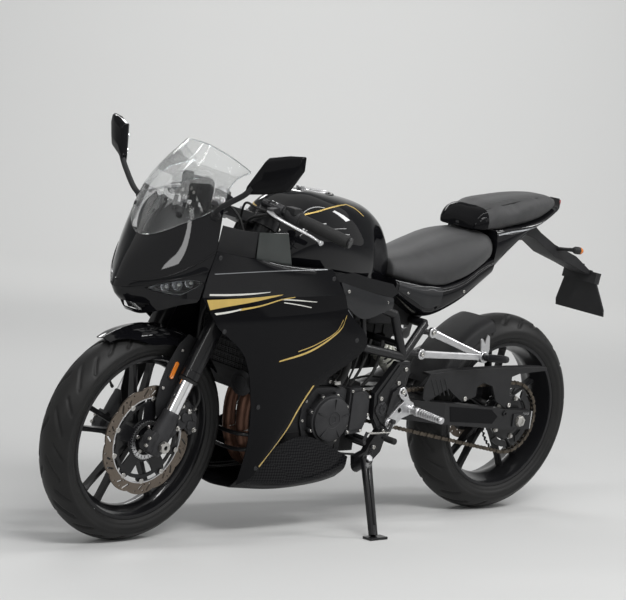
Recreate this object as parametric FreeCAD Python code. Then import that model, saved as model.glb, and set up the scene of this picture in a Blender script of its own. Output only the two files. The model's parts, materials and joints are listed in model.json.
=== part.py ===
import FreeCAD, Part
import math
import os

# Sport bike, parked on its side stand.  Millimetres.
# The bike is drawn upright and straight ahead in bike axes (x forward, y to its left, z up, origin on the
# ground under the rear axle).  At the end the steered pieces turn by STEER_REST about the steering axis
# and the whole bike leans by LEAN onto its stand.  The part's origin is the middle of its footprint box.

Vec = FreeCAD.Vector

# ---- driving dimensions ------------------------------------------------------------------------------
WHEELBASE = 1350.0
RAKE = 25.0
TRAIL = 95.0
STEER_REST = 6.0
LEAN = 5.0
LEAN_HEIGHT = 65.0

RIM_R = 226.0
BEAD_R = RIM_R - 7.0
RIM_WELL_R = RIM_R - 28.0
FRONT_R = RIM_R + 67.0
FRONT_HALF_WIDTH = 55.0
REAR_R = RIM_R + 80.0
REAR_HALF_WIDTH = 75.0
SHOULDER_DROP_FRONT = 30.0
SHOULDER_DROP_REAR = 43.0
FRONT_RIM_HALF = 44.0
REAR_RIM_HALF = 62.0
RIM_WALL = 7.0
SPOKE_PAIRS = 5
SPOKE_SPREAD = 9.0
SPOKE_WIDTH = 13.0
SPOKE_DEPTH = 34.0
HUB_R = 38.0
FRONT_HUB_HALF = 50.0
REAR_HUB_HALF = 70.0
AXLE_R = 10.0
AXLE_BORE_R = 6.0
RUNNING_FIT = 0.05
SEAT_GAP = 0.3

FRONT_DISC_R = 150.0
FRONT_DISC_INNER_R = 116.0
FRONT_DISC_Y = 62.0
FRONT_DISC_T = 4.5
SENSOR_RING_R = 54.0
REAR_DISC_R = 110.0
REAR_DISC_INNER_R = 78.0
REAR_DISC_Y = -86.0
REAR_DISC_T = 5.0
PAD_GAP = 5.0

FORK_SPACING = 200.0
FORK_TUBE_R = 26.0
STANCHION_R = 20.5
FORK_TUBE_LOW = 192.0
FORK_TUBE_TOP = 705.0
FORK_CLAMP_TOP = 94.0
FORK_CLAMP_R = 27.0
LOWER_YOKE_S = 425.0
UPPER_YOKE_S = 645.0
YOKE_T = 28.0
STEM_R = 15.0
HEAD_TUBE_R = 30.0
HEAD_GAP = 5.0

CHAIN_Y = 92.0
CHAIN_WIDTH = 16.0
CHAIN_PITCH_R_REAR = 108.7
CHAIN_PITCH_R_FRONT = 35.7
CHAIN_HALF_HEIGHT = 6.0
CHAIN_GAP = 5.0
DRIVE_X = 640.0
DRIVE_Z = 366.0

PIVOT_X = 580.0
PIVOT_Z = 364.0
PLATE_Y = 118.0
PLATE_T = 20.0
ARM_Y = 104.0
ARM_T = 30.0

PANEL_WALL = 3.5
SCREEN_WALL = 3.5
FRAME_TUBE_R = 13.0

STAND_PIVOT = Vec(640, 166, 222)
STAND_AXIS = Vec(0.065, 0.81, 0.582)
STAND_HALF = 12.0
STAND_FOOT_Y = 268.0
STAND_FOOT_X = 662.0

PARTS = {}


def add(body, node, shape):
    PARTS[node] = (body, shape)


# ---- shape helpers -----------------------------------------------------------------------------------
def rod(start, end, radius):
    """A round bar between two points."""
    run = end - start
    return Part.makeCylinder(radius, run.Length, start, run)


def bars(points, radius):
    """Round tube along straight runs, with a ball at each turn."""
    pieces = [rod(a, b, radius) for a, b in zip(points, points[1:])]
    pieces += [Part.makeSphere(radius, p) for p in points[1:-1]]
    return fuse(pieces)


def fuse(pieces):
    if len(pieces) == 1:
        return pieces[0]
    return pieces[0].fuse(pieces[1:]).removeSplitter()


def mirrored(shape):
    return shape.mirror(Vec(0, 0, 0), Vec(0, 1, 0))


def both_sides(shape):
    """A piece and its mirror image, apart from each other, as one node."""
    return Part.makeCompound([shape, mirrored(shape)])


def side_plate(outline, y_low, y_high):
    """A flat plate: an outline of (x, z) points between two y values."""
    points = [Vec(x, y_low, z) for x, z in outline]
    wire = Part.makePolygon(points + points[:1])
    return Part.Face(wire).extrude(Vec(0, y_high - y_low, 0))


def block(x0, x1, y0, y1, z0, z1):
    return Part.makeBox(x1 - x0, y1 - y0, z1 - z0, Vec(x0, y0, z0))


def cross_pin(x, z, radius, y0, y1):
    """A cylinder that lies across the bike."""
    return Part.makeCylinder(radius, y1 - y0, Vec(x, y0, z), Vec(0, 1, 0))


def triangle(a, b, c):
    return Part.Face(Part.makePolygon([a, b, c, a]))


def closed_solid(faces):
    solid = Part.makeSolid(Part.makeShell(faces))
    if solid.Volume < 0:
        solid.reverse()
    return solid


def vertex_normals(grid):
    rows = len(grid)
    cols = len(grid[0])
    normals = []
    for i in range(rows):
        line = []
        for j in range(cols):
            down = grid[min(i + 1, rows - 1)][j] - grid[max(i - 1, 0)][j]
            along = grid[i][min(j + 1, cols - 1)] - grid[i][max(j - 1, 0)]
            line.append(down.cross(along).normalize())
        normals.append(line)
    return normals


def panel(grid, wall, skip=(), middle=0):
    """A thin panel over a grid of points, its wall laid on the side away from the normals.

    skip names cells (row, column) that are left open.  Cells before the middle column are cut along the
    other diagonal, so that a mirrored grid gives a mirrored panel."""
    normals = vertex_normals(grid)
    inner = [[p - n * wall for p, n in zip(gr, nr)] for gr, nr in zip(grid, normals)]
    cells = {(i, j) for i in range(len(grid) - 1) for j in range(len(grid[0]) - 1)} - set(skip)
    faces = []
    for i, j in sorted(cells):
        corners = [(i, j), (i, j + 1), (i + 1, j + 1), (i + 1, j)]
        for side in (grid, inner):
            a, b, c, d = [side[r][s] for r, s in corners]
            if j < middle:
                a, b, c, d = b, c, d, a
            faces += [triangle(a, b, c), triangle(a, c, d)]
        neighbours = [(i - 1, j), (i, j + 1), (i + 1, j), (i, j - 1)]
        for k, cell in enumerate(neighbours):
            if cell in cells:
                continue
            (r0, s0), (r1, s1) = corners[k], corners[(k + 1) % 4]
            a, b = grid[r0][s0], grid[r1][s1]
            c, d = inner[r1][s1], inner[r0][s0]
            faces += [triangle(a, b, c), triangle(a, c, d)]
    return closed_solid(faces)


def behind_panel(grid, row, col, wall):
    """The point just inside a panel at one of its grid points, a seat gap away."""
    return grid[row][col] - vertex_normals(grid)[row][col] * (wall + SEAT_GAP)


def span(front_edge, rear_edge, columns, bulge):
    """A grid between two edges given as equal lists of (x, y, z), swelling outwards in y."""
    grid = []
    for front, rear in zip(front_edge, rear_edge):
        line = []
        for j in range(columns):
            t = j / (columns - 1)
            p = Vec(*front) * (1 - t) + Vec(*rear) * t
            line.append(p + Vec(0, bulge * 4 * t * (1 - t), 0))
        grid.append(line)
    return grid


def ring_solid(rings):
    """A closed solid through rings of equally many points, with flat ends."""
    faces = []
    count = len(rings[0])
    for a, b in zip(rings, rings[1:]):
        for k in range(count):
            m = (k + 1) % count
            faces += [triangle(a[k], b[k], b[m]), triangle(a[k], b[m], a[m])]
    for ring in (rings[0], rings[-1]):
        faces += [triangle(ring[0], ring[k], ring[k + 1]) for k in range(1, count - 1)]
    return closed_solid(faces)


def wheel_turn(profile, x, z):
    """Turns a closed profile of (radius, y) points about a wheel's axle line at (x, z)."""
    wire = Part.makePolygon([Vec(x, y, z + r) for r, y in profile + profile[:1]])
    return Part.Face(wire).revolve(Vec(x, 0, z), Vec(0, 1, 0), 360)


# ---- steering geometry -------------------------------------------------------------------------------
FRONT_AXLE = Vec(WHEELBASE, 0, FRONT_R)
REAR_AXLE = Vec(0, 0, REAR_R)
SIN_RAKE = math.sin(math.radians(RAKE))
COS_RAKE = math.cos(math.radians(RAKE))
STEER_AXIS = Vec(-SIN_RAKE, 0, COS_RAKE)
STEER_FORWARD = Vec(COS_RAKE, 0, SIN_RAKE)
FORK_OFFSET = FRONT_R * SIN_RAKE - TRAIL * COS_RAKE
LEG_Y = FORK_SPACING / 2


def on_leg(s, y=0.0, ahead=0.0):
    """A point s up the fork leg from the axle, ahead of its centre line by the given amount."""
    return FRONT_AXLE + STEER_AXIS * s + STEER_FORWARD * ahead + Vec(0, y, 0)


def on_stem(s, y=0.0):
    return on_leg(s, y, -FORK_OFFSET)


# ---- wheels ------------------------------------------------------------------------------------------
def tyre(x, z, outer_r, half_width, drop, rim_half):
    shoulder = outer_r - drop
    low = Vec(x, -half_width, z + shoulder)
    high = Vec(x, half_width, z + shoulder)
    crown = Part.Arc(low, Vec(x, 0, z + outer_r), high).toShape()
    foot = rim_half - RIM_WALL - SEAT_GAP
    side = [(shoulder, half_width), (RIM_R + 9, rim_half + 5), (RIM_R + SEAT_GAP, rim_half),
            (RIM_R + SEAT_GAP, foot), (BEAD_R, foot)]
    sides = side + [(r, -y) for r, y in reversed(side)]
    points = [Vec(x, y, z + r) for r, y in sides]
    edges = [Part.makeLine(a, b) for a, b in zip(points, points[1:])]
    face = Part.Face(Part.Wire([crown] + edges))
    return face.revolve(Vec(x, 0, z), Vec(0, 1, 0), 360)


def rim(x, z, half, hub_half, spoke_y):
    """A cast rim: barrel with two flanges, hub and pairs of straight spokes."""
    inside = half - RIM_WALL
    seat_r = BEAD_R - SEAT_GAP
    barrel = wheel_turn([(RIM_R, half), (RIM_R, inside), (seat_r, inside), (seat_r, inside - 14),
                         (RIM_WELL_R + RIM_WALL, 12), (RIM_WELL_R + RIM_WALL, -12),
                         (seat_r, -inside + 14), (seat_r, -inside), (RIM_R, -inside), (RIM_R, -half),
                         (seat_r - RIM_WALL, -half), (seat_r - RIM_WALL, -inside + 12),
                         (RIM_WELL_R, -10), (RIM_WELL_R, 10),
                         (seat_r - RIM_WALL, inside - 12), (seat_r - RIM_WALL, half)], x, z)
    hub = cross_pin(x, z, HUB_R, -hub_half, hub_half)
    spoke = block(x - SPOKE_WIDTH / 2, x + SPOKE_WIDTH / 2, spoke_y - SPOKE_DEPTH / 2,
                  spoke_y + SPOKE_DEPTH / 2, z + HUB_R - 8, z + RIM_WELL_R + 2)
    spokes = []
    for k in range(SPOKE_PAIRS):
        for turn in (-SPOKE_SPREAD, SPOKE_SPREAD):
            one = spoke.copy()
            one.rotate(Vec(x, 0, z), Vec(0, 1, 0), k * 360 / SPOKE_PAIRS + turn)
            spokes.append(one)
    bore = cross_pin(x, z, AXLE_R + RUNNING_FIT, -hub_half - 1, hub_half + 1)
    return fuse([barrel, hub] + spokes).cut(bore)


def ring(x, z, outer_r, inner_r, y0, y1):
    return cross_pin(x, z, outer_r, y0, y1).cut(cross_pin(x, z, inner_r, y0 - 1, y1 + 1))


def front_wheel():
    x, z = FRONT_AXLE.x, FRONT_AXLE.z
    add("front_wheel", "front_tyre",
        tyre(x, z, FRONT_R, FRONT_HALF_WIDTH, SHOULDER_DROP_FRONT, FRONT_RIM_HALF))
    add("front_wheel", "front_rim", rim(x, z, FRONT_RIM_HALF, FRONT_HUB_HALF, 0.0))
    y0 = FRONT_DISC_Y - FRONT_DISC_T / 2
    y1 = FRONT_DISC_Y + FRONT_DISC_T / 2
    carrier = ring(x, z, FRONT_DISC_INNER_R - SEAT_GAP, 26.0, FRONT_HUB_HALF, y0 + 1)
    windows = []
    for k in range(5):
        window = ring(x, z, FRONT_DISC_INNER_R - 14, SENSOR_RING_R + 3, FRONT_HUB_HALF - 1, y1)
        sector = block(x - 24, x + 24, FRONT_HUB_HALF - 2, y1 + 1, z, z + FRONT_DISC_R)
        sector.rotate(Vec(x, 0, z), Vec(0, 1, 0), k * 72 + 36)
        windows.append(window.common(sector))
    carrier = carrier.cut(windows)
    sensor = ring(x, z, SENSOR_RING_R, SENSOR_RING_R - 10, y0 + 1, y1 + 1)
    disc = ring(x, z, FRONT_DISC_R, FRONT_DISC_INNER_R - 6, y0, y1)
    add("front_wheel", "front_disc", fuse([disc, carrier, sensor]))


def rear_wheel():
    x, z = REAR_AXLE.x, REAR_AXLE.z
    add("rear_wheel", "rear_tyre",
        tyre(x, z, REAR_R, REAR_HALF_WIDTH, SHOULDER_DROP_REAR, REAR_RIM_HALF))
    add("rear_wheel", "rear_rim", rim(x, z, REAR_RIM_HALF, REAR_HUB_HALF, 0.0))
    sprocket_r = CHAIN_PITCH_R_REAR - CHAIN_HALF_HEIGHT - CHAIN_GAP
    sprocket = ring(x, z, sprocket_r, 62.0, CHAIN_Y - 3, CHAIN_Y + 3)
    spider = ring(x, z, 70.0, 24.0, REAR_HUB_HALF, CHAIN_Y + 3)
    add("rear_wheel", "rear_sprocket", fuse([sprocket, spider]))
    y0 = REAR_DISC_Y - REAR_DISC_T / 2
    disc = ring(x, z, REAR_DISC_R, REAR_DISC_INNER_R, y0, y0 + REAR_DISC_T)
    carrier = ring(x, z, REAR_DISC_INNER_R + 8, 24.0, y0 + 1, -REAR_HUB_HALF)
    add("rear_wheel", "rear_disc", fuse([disc, carrier]))


# ---- fork and steering -------------------------------------------------------------------------------
def fork():
    tube = rod(on_leg(FORK_TUBE_LOW, LEG_Y), on_leg(FORK_TUBE_TOP, LEG_Y), FORK_TUBE_R)
    bore = rod(on_leg(FORK_TUBE_LOW - 1, LEG_Y), on_leg(FORK_TUBE_LOW + 60, LEG_Y), STANCHION_R + RUNNING_FIT)
    add("steering", "fork_tubes", both_sides(tube.cut(bore)))
    stanchion = rod(on_leg(-6, LEG_Y), on_leg(FORK_TUBE_LOW + 58, LEG_Y), STANCHION_R)
    clamp = rod(on_leg(-32, LEG_Y), on_leg(FORK_CLAMP_TOP, LEG_Y), FORK_CLAMP_R)
    axle_bore = cross_pin(FRONT_AXLE.x, FRONT_AXLE.z, AXLE_R + RUNNING_FIT, LEG_Y - 40, LEG_Y + 40)
    foot = fuse([stanchion, clamp]).cut(axle_bore)
    # caliper lugs stand behind the left leg only
    lug = side_plate([(FRONT_AXLE.x - 10, FRONT_R + 20), (FRONT_AXLE.x - 22, FRONT_R + 86),
                      (FRONT_AXLE.x - 82, FRONT_R + 62), (FRONT_AXLE.x - 78, FRONT_R + 30)],
                     LEG_Y - 16, LEG_Y - 4)
    legs = Part.makeCompound([foot.fuse(lug).removeSplitter(), mirrored(foot)])
    add("steering", "fork_legs", legs)
    half = LEG_Y + FORK_CLAMP_R + 6
    axle = cross_pin(FRONT_AXLE.x, FRONT_AXLE.z, AXLE_R, -half, half)
    heads = [cross_pin(FRONT_AXLE.x, FRONT_AXLE.z, AXLE_R + 5, half - 6, half + 6),
             cross_pin(FRONT_AXLE.x, FRONT_AXLE.z, AXLE_R + 5, -half - 6, -half + 6)]
    spacers = [ring(FRONT_AXLE.x, FRONT_AXLE.z, AXLE_R + 8, AXLE_R - 1, FRONT_HUB_HALF + 15.5, LEG_Y - FORK_CLAMP_R),
               ring(FRONT_AXLE.x, FRONT_AXLE.z, AXLE_R + 8, AXLE_R - 1, -LEG_Y + FORK_CLAMP_R, -FRONT_HUB_HALF - 1)]
    hollow = cross_pin(FRONT_AXLE.x, FRONT_AXLE.z, AXLE_BORE_R, -half - 6, half + 6)
    add("steering", "front_axle", fuse([axle] + heads + spacers).cut(hollow))


def yokes():
    plates = []
    for s in (LOWER_YOKE_S, UPPER_YOKE_S):
        lugs = [rod(on_leg(s, y), on_leg(s + YOKE_T, y), FORK_TUBE_R + 11) for y in (-LEG_Y, LEG_Y)]
        middle = rod(on_stem(s), on_stem(s + YOKE_T), STEM_R + 18)
        web = Part.makePolygon([on_leg(s, -LEG_Y, 14), on_leg(s, LEG_Y, 14), on_stem(s, 42) - STEER_FORWARD * 10,
                                on_stem(s, -42) - STEER_FORWARD * 10, on_leg(s, -LEG_Y, 14)])
        plates += lugs + [middle, Part.Face(web).extrude(STEER_AXIS * YOKE_T)]
    stem = rod(on_stem(LOWER_YOKE_S), on_stem(UPPER_YOKE_S + YOKE_T + 8), STEM_R)
    holes = [rod(on_leg(LOWER_YOKE_S - 5, y), on_leg(UPPER_YOKE_S + YOKE_T + 5, y), FORK_TUBE_R + RUNNING_FIT)
             for y in (-LEG_Y, LEG_Y)]
    add("steering", "yokes", fuse(plates + [stem]).cut(holes))


def front_fender():
    gap = 10.0
    wall = PANEL_WALL
    x, z = FRONT_AXLE.x, FRONT_AXLE.z
    half = FRONT_HALF_WIDTH + gap
    side_y = half + 2.5
    profile = [(FRONT_R - 31, -side_y), (FRONT_R - 15, -half + 2), (FRONT_R + 1, -half + 18),
               (FRONT_R + gap, -22), (FRONT_R + gap + 2, 0)]
    inner = profile + [(r, -y) for r, y in reversed(profile[:-1])]
    outer = [(r + (wall if abs(y) < half else 0), y + math.copysign(wall, y) * (abs(y) >= 22))
             for r, y in inner]
    loop = inner + list(reversed(outer))
    wire = Part.makePolygon([Vec(x, y, z + r) for r, y in loop + loop[:1]])
    cover = Part.Face(wire)
    cover.rotate(Vec(x, 0, z), Vec(0, 1, 0), 26)
    cover = cover.revolve(Vec(x, 0, z), Vec(0, 1, 0), -78)
    plate_y = FRONT_DISC_Y + FRONT_DISC_T / 2 + PAD_GAP
    guard = [on_leg(s, 0, a) for s, a in ((FRONT_R - 18, 10), (FRONT_R - 18, 52), (FRONT_R - 103, 66), (95, 40),
                                          (64, 12), (64, -10))]
    plate = side_plate([(p.x, p.z) for p in guard], plate_y, LEG_Y - FORK_CLAMP_R - SEAT_GAP)
    add("steering", "front_fender", fuse([cover, plate, mirrored(plate)]))


def front_caliper():
    x, z = FRONT_AXLE.x, FRONT_AXLE.z
    # points behind and above the axle for a disc of 150 mm radius, grown with the disc
    grow = FRONT_DISC_R / 150.0
    outline = [(x - back * grow, z + up * grow)
               for back, up in ((86, 16), (84, 92), (108, 112), (148, 78), (158, 30), (132, 6))]
    body = side_plate(outline, FRONT_DISC_Y - 22, LEG_Y - 16 - SEAT_GAP)
    slot = cross_pin(x, z, FRONT_DISC_R + PAD_GAP, FRONT_DISC_Y - FRONT_DISC_T / 2 - PAD_GAP,
                     FRONT_DISC_Y + FRONT_DISC_T / 2 + PAD_GAP)
    inner_limit = cross_pin(x, z, FRONT_DISC_INNER_R + 6, FRONT_DISC_Y - 30,
                            FRONT_DISC_Y + FRONT_DISC_T / 2 + PAD_GAP)
    ear = side_plate([(x - 70, z + 34), (x - 72, z + 62), (x - 100, z + 84), (x - 112, z + 30)],
                     FRONT_DISC_Y + FRONT_DISC_T / 2 + PAD_GAP, LEG_Y - 16 - SEAT_GAP)
    add("steering", "front_caliper", body.cut([slot, inner_limit]).fuse(ear).removeSplitter())


# clip-on bar: where its tube starts and ends, and the lever's ends (x, y, z)
BAR_START = Vec(1104, 118, 948)
BAR_END = Vec(1010, 350, 893)
GRIP_START = 0.42
GRIP_R = 17.0
BAR_R = 11.0
LEVER_START = Vec(1138, 172, 937)
LEVER_END = Vec(1100, 345, 886)
RESERVOIR_FOOT = Vec(1122, -176, 946)


def handlebars():
    clamp = rod(on_leg(677, LEG_Y), on_leg(703, LEG_Y), FORK_TUBE_R + 8)
    lug = rod(on_leg(690, LEG_Y), BAR_START, 13)
    bar = rod(BAR_START, BAR_END, BAR_R)
    perch = rod(BAR_START + (BAR_END - BAR_START) * 0.3, LEVER_START, 9)
    lever = rod(LEVER_START, LEVER_END, 6)
    hole = rod(on_leg(660, LEG_Y), on_leg(720, LEG_Y), FORK_TUBE_R + RUNNING_FIT)
    half = fuse([clamp, lug, bar, perch, Part.makeSphere(9, LEVER_START), lever]).cut(hole)
    sleeve_start = BAR_START + (BAR_END - BAR_START) * GRIP_START
    sleeve_end = BAR_END + (BAR_END - BAR_START).normalize() * 6
    sleeve = rod(sleeve_start, sleeve_end, GRIP_R).cut(rod(BAR_START, BAR_END, BAR_R + SEAT_GAP))
    # the brake reservoir stays low enough to pass under the screen's edge as the bars turn
    reservoir = rod(RESERVOIR_FOOT, RESERVOIR_FOOT + Vec(0, 0, 30), 16)
    stalk = rod(RESERVOIR_FOOT - Vec(0, 0, 18), RESERVOIR_FOOT + Vec(0, 0, 1), 8)
    right = fuse([mirrored(half), reservoir, stalk])
    add("steering", "clip_on_bars", Part.makeCompound([half, right]))
    add("steering", "grips", both_sides(sleeve))


RADIATOR_TOP = 628.0

# ---- frame -------------------------------------------------------------------------------------------
UPPER_RUN = [Vec(517, 131, 514), Vec(572, 131, 640), Vec(700, 130, 676), Vec(960, 112, 728)]
LOWER_RUN = [Vec(517, 131, 514), Vec(676, 135, 545), Vec(900, 137, 600)]
SEAT_RUN = [Vec(517, 131, 514), Vec(434, 118, 608)]
UPPER_END = on_stem(LOWER_YOKE_S + YOKE_T + 88)
LOWER_END = on_stem(LOWER_YOKE_S + YOKE_T + 30)
NOSE_STAY = [on_stem(LOWER_YOKE_S + YOKE_T + 100), Vec(1190, 0, 806), Vec(1262, 0, 826)]
SHOCK_TOP = Vec(527, 0, 548)
SHOCK_BOLT_R = 10.0
CROSS_X = (700, 960)
CROSS_R = 12.0
PAD_R = 9.0


def pads(tank_bottom):
    """Rubber-tipped posts on the frame's cross tubes that carry the tank."""
    posts = []
    for x, z in zip(CROSS_X, (676, 728)):
        top = min(tank_bottom(x - PAD_R), tank_bottom(x + PAD_R)) - SEAT_GAP
        posts.append(Part.makeCylinder(PAD_R, top - z, Vec(x, 0, z)))
    return posts


def stay_ends():
    """Where each stay leaves the frame, where it meets what it carries, and its radius; left side only."""
    fairing = fairing_grid()
    nose = nose_grid()
    middle = len(nose[0]) // 2
    fork_side = LOWER_RUN[2] + (LOWER_END - LOWER_RUN[2]) * 0.6
    tank_side = UPPER_RUN[2]
    seat_side = [SEAT_RUN[0] + (SEAT_RUN[1] - SEAT_RUN[0]) * t for t in (0.78, 0.12)]
    radiator_top = Vec(fork_side.x, fork_side.y, RADIATOR_TOP + SEAT_GAP)
    ends = [(LOWER_RUN[2], behind_panel(fairing, 4, 4, PANEL_WALL), 7),
            (fork_side, behind_panel(fairing, 3, 3, PANEL_WALL), 7),
            (fork_side, radiator_top, 8),
            (tank_side, Vec(tank_side.x, 160 - PANEL_WALL - SEAT_GAP, tank_side.z - 4), 6),
            (NOSE_STAY[-1], behind_panel(nose, 1, middle + 3, PANEL_WALL), 7)]
    for start, front in zip(seat_side, PASSENGER_FRONTS):
        ends.append((start, front + (start - front).normalize() * (PASSENGER_BALL_R + SEAT_GAP), 8))
    return ends


def main_frame(tank_bottom):
    head_low = on_stem(LOWER_YOKE_S + YOKE_T + HEAD_GAP)
    head_high = on_stem(UPPER_YOKE_S - HEAD_GAP)
    pieces = [rod(head_low, head_high, HEAD_TUBE_R)]
    for side in (1, -1):
        flip = [[Vec(p.x, p.y * side, p.z) for p in run] for run in (UPPER_RUN, LOWER_RUN, SEAT_RUN)]
        upper = flip[0] + [UPPER_END]
        lower = flip[1] + [LOWER_END]
        pieces += [bars(upper, FRAME_TUBE_R), bars(lower, FRAME_TUBE_R), bars(flip[2], FRAME_TUBE_R)]
        pieces.append(rod(flip[0][2], flip[1][1], 9))
        pieces.append(rod(flip[0][2], flip[1][2], 9))
        pieces.append(rod(flip[0][3], flip[1][2], 9))
        pieces.append(Part.makeSphere(FRAME_TUBE_R, flip[0][0]))
        for start, end, radius in stay_ends():
            pieces.append(rod(Vec(start.x, start.y * side, start.z), Vec(end.x, end.y * side, end.z), radius))
    for x, z, y in zip(CROSS_X, (676, 728), (130, 112)):
        pieces.append(cross_pin(x, z, CROSS_R, -y, y))
    pieces.append(cross_pin(SHOCK_TOP.x, SHOCK_TOP.z, SHOCK_BOLT_R, -131, 131))
    pieces += pads(tank_bottom)
    pieces.append(bars(NOSE_STAY, 11))
    pieces.append(Part.makeSphere(11, NOSE_STAY[-1]))
    pieces.append(rod(NOSE_STAY[-1], Vec(DASH_X, 0, DASH_LOW - SEAT_GAP - 2.5), 8))
    pieces.append(cross_pin(SEAT_RUN[1].x, SEAT_RUN[1].z, FRAME_TUBE_R, -SEAT_RUN[1].y, SEAT_RUN[1].y))
    tail_low = min(low for _, _, low, _ in TAIL_LOW)
    pieces.append(block(TAIL_LOW_X - 8, TAIL_LOW_X + 8, -60, 60, SEAT_RUN[1].z, tail_low - SEAT_GAP))
    bore = rod(on_stem(LOWER_YOKE_S), on_stem(UPPER_YOKE_S + YOKE_T), STEM_R + RUNNING_FIT)
    skins = [PARTS[node][1] for node in ("nose_cowl", "side_fairings", "side_covers")]
    # the stays' ends are trimmed to the skins they carry, and what pokes through a skin is dropped
    trimmed = fuse(pieces).cut([bore] + skins)
    add("chassis", "main_frame", max(trimmed.Solids, key=lambda solid: solid.Volume))


PLATE_OUTLINE = [(490, 501), (536, 501), (562, 470), (612, 410), (606, 340), (580, 300), (606, 262), (618, 240),
                 (560, 238), (545, 290), (528, 330), (500, 400), (486, 470)]


def pivot_plates():
    plate = side_plate(PLATE_OUTLINE, PLATE_Y, PLATE_Y + PLATE_T)
    lug = side_plate([(560, 238), (618, 240), (655, 226), (650, 196), (622, 192), (585, 215)],
                     PLATE_Y, PLATE_Y + PLATE_T)
    axis = Vec(STAND_AXIS).normalize()
    boss = rod(STAND_PIVOT - axis * 52, STAND_PIVOT - axis * (STAND_HALF + SEAT_GAP), 15)
    pin = rod(STAND_PIVOT - axis * 52, STAND_PIVOT + axis * (STAND_HALF + 2), 7)
    nut = rod(STAND_PIVOT + axis * (STAND_HALF + SEAT_GAP), STAND_PIVOT + axis * (STAND_HALF + 6), 11)
    shaft = cross_pin(PIVOT_X, PIVOT_Z, 12, -PLATE_Y - PLATE_T - 4, PLATE_Y + PLATE_T + 4)
    left = fuse([plate, lug, boss, pin, nut, shaft, mirrored(plate)])
    add("chassis", "pivot_plates", left)


# ---- engine and exhaust ------------------------------------------------------------------------------
def engine():
    case = block(700, 905, -112, 112, 218, 430)
    gearbox = block(611, 700, -112, 76, 226, 430)
    drive = cross_pin(DRIVE_X, DRIVE_Z, CHAIN_PITCH_R_FRONT - CHAIN_HALF_HEIGHT - 0.5, 76, CHAIN_Y + 7)
    lug = block(590, 613, -PLATE_Y, PLATE_Y, 250, 274)
    post = Part.makeCylinder(8, 80, Vec(880, -60, 140))
    add("chassis", "engine_block", fuse([case, gearbox, drive, lug, post]).cut(PARTS["belly_pan"][1]))
    cylinders = block(738, 905, -104, 104, 430, 556)
    head = block(745, HEAD_FRONT, -104, 104, 556, 640)
    cover = block(762, 908, -84, 84, 640, 664)
    add("chassis", "cylinder_head", fuse([cylinders, head, cover]))
    dome = [(0, 112), (60, 112), (60, 138), (52, 150), (24, 154), (0, 154)]
    clutch = [(0, -112), (78, -112), (78, -136), (66, -146), (0, -146)]
    sprocket = side_plate([(700 - SEAT_GAP, 290), (700 - SEAT_GAP, 425), (655, 428), (622, 405), (618, 345), (640, 296)],
                       104, 137)
    covers = [wheel_turn(dome, 770, 342), wheel_turn(clutch, 742, 326), sprocket]
    add("chassis", "engine_covers", Part.makeCompound(covers))


def radiator():
    top = RADIATOR_TOP
    core = block(1014, 1040, -138, 138, 470, top - 8)
    tanks = [block(1010, 1046, y, y + 18, 462, top) for y in (-156, 138)]
    rails = [block(1012, 1044, -138, 138, z, z + 8) for z in (462, top - 8)]
    add("chassis", "radiator", fuse([core] + tanks + rails))


HEAD_FRONT = 922.0
HEADER_RUN = [(HEAD_FRONT + SEAT_GAP, 598), (956, 598), (974, 560), (976, 500), (990, 448), (1016, 398), (1022, 340), (1010, 272),
              (976, 218), (920, 196), (860, 192)]


def exhaust():
    pipes = []
    for y in (0.0, 60.0):
        run = [Vec(x, y, z) for x, z in HEADER_RUN]
        run[-1] = Vec(run[-1].x, 30 + (y - 30) * 0.4, run[-1].z)
        pipes.append(bars(run, 18))
    start = Vec(430, -192, 287)
    end = Vec(80, -196, 428)
    along = (end - start).normalize()
    collector = bars([Vec(868, 30, 192), Vec(820, 15, 192), Vec(700, -62, 194), Vec(610, -96, 190),
                      Vec(540, -160, 204), Vec(480, -188, 250), start - along * 22, start - along * SEAT_GAP], 20)
    add("chassis", "exhaust_pipes", fuse(pipes + [collector]))
    can = rod(start + along * 40, end, 50)
    cone = Part.makeCone(24, 50, 40, start, along)
    tip = rod(end, end + along * 22, 34).cut(rod(end - along * 20, end + along * 30, 24))
    add("chassis", "silencer", fuse([cone, can, tip]))


# ---- swingarm, chain and rear end --------------------------------------------------------------------
# swingarm sections: x, inner y, outer y, bottom z, top z
ARM_SECTIONS = [(600, 62, 108, 338, 388), (440, 66, 118, 320, 381), (318, 104, 134, 306, 372),
                (60, 104, 134, REAR_R - 25, REAR_R + 37), (-56, 104, 134, REAR_R - 30, REAR_R + 28)]


# threaded bosses that take a paddock stand's bobbins
BOBBIN_X = 62.0
BOBBIN_Z = REAR_R + 24.0
BOBBIN_BOSS = 4.0
BOBBIN_BOSS_R = 9.0
BOBBIN_HOLE_R = 4.0
BOBBIN_DEPTH = 14.0


def arm_top(x):
    for (x0, _, _, _, z0), (x1, _, _, _, z1) in zip(ARM_SECTIONS, ARM_SECTIONS[1:]):
        if x0 >= x >= x1:
            return z0 + (z1 - z0) * (x0 - x) / (x0 - x1)


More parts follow.
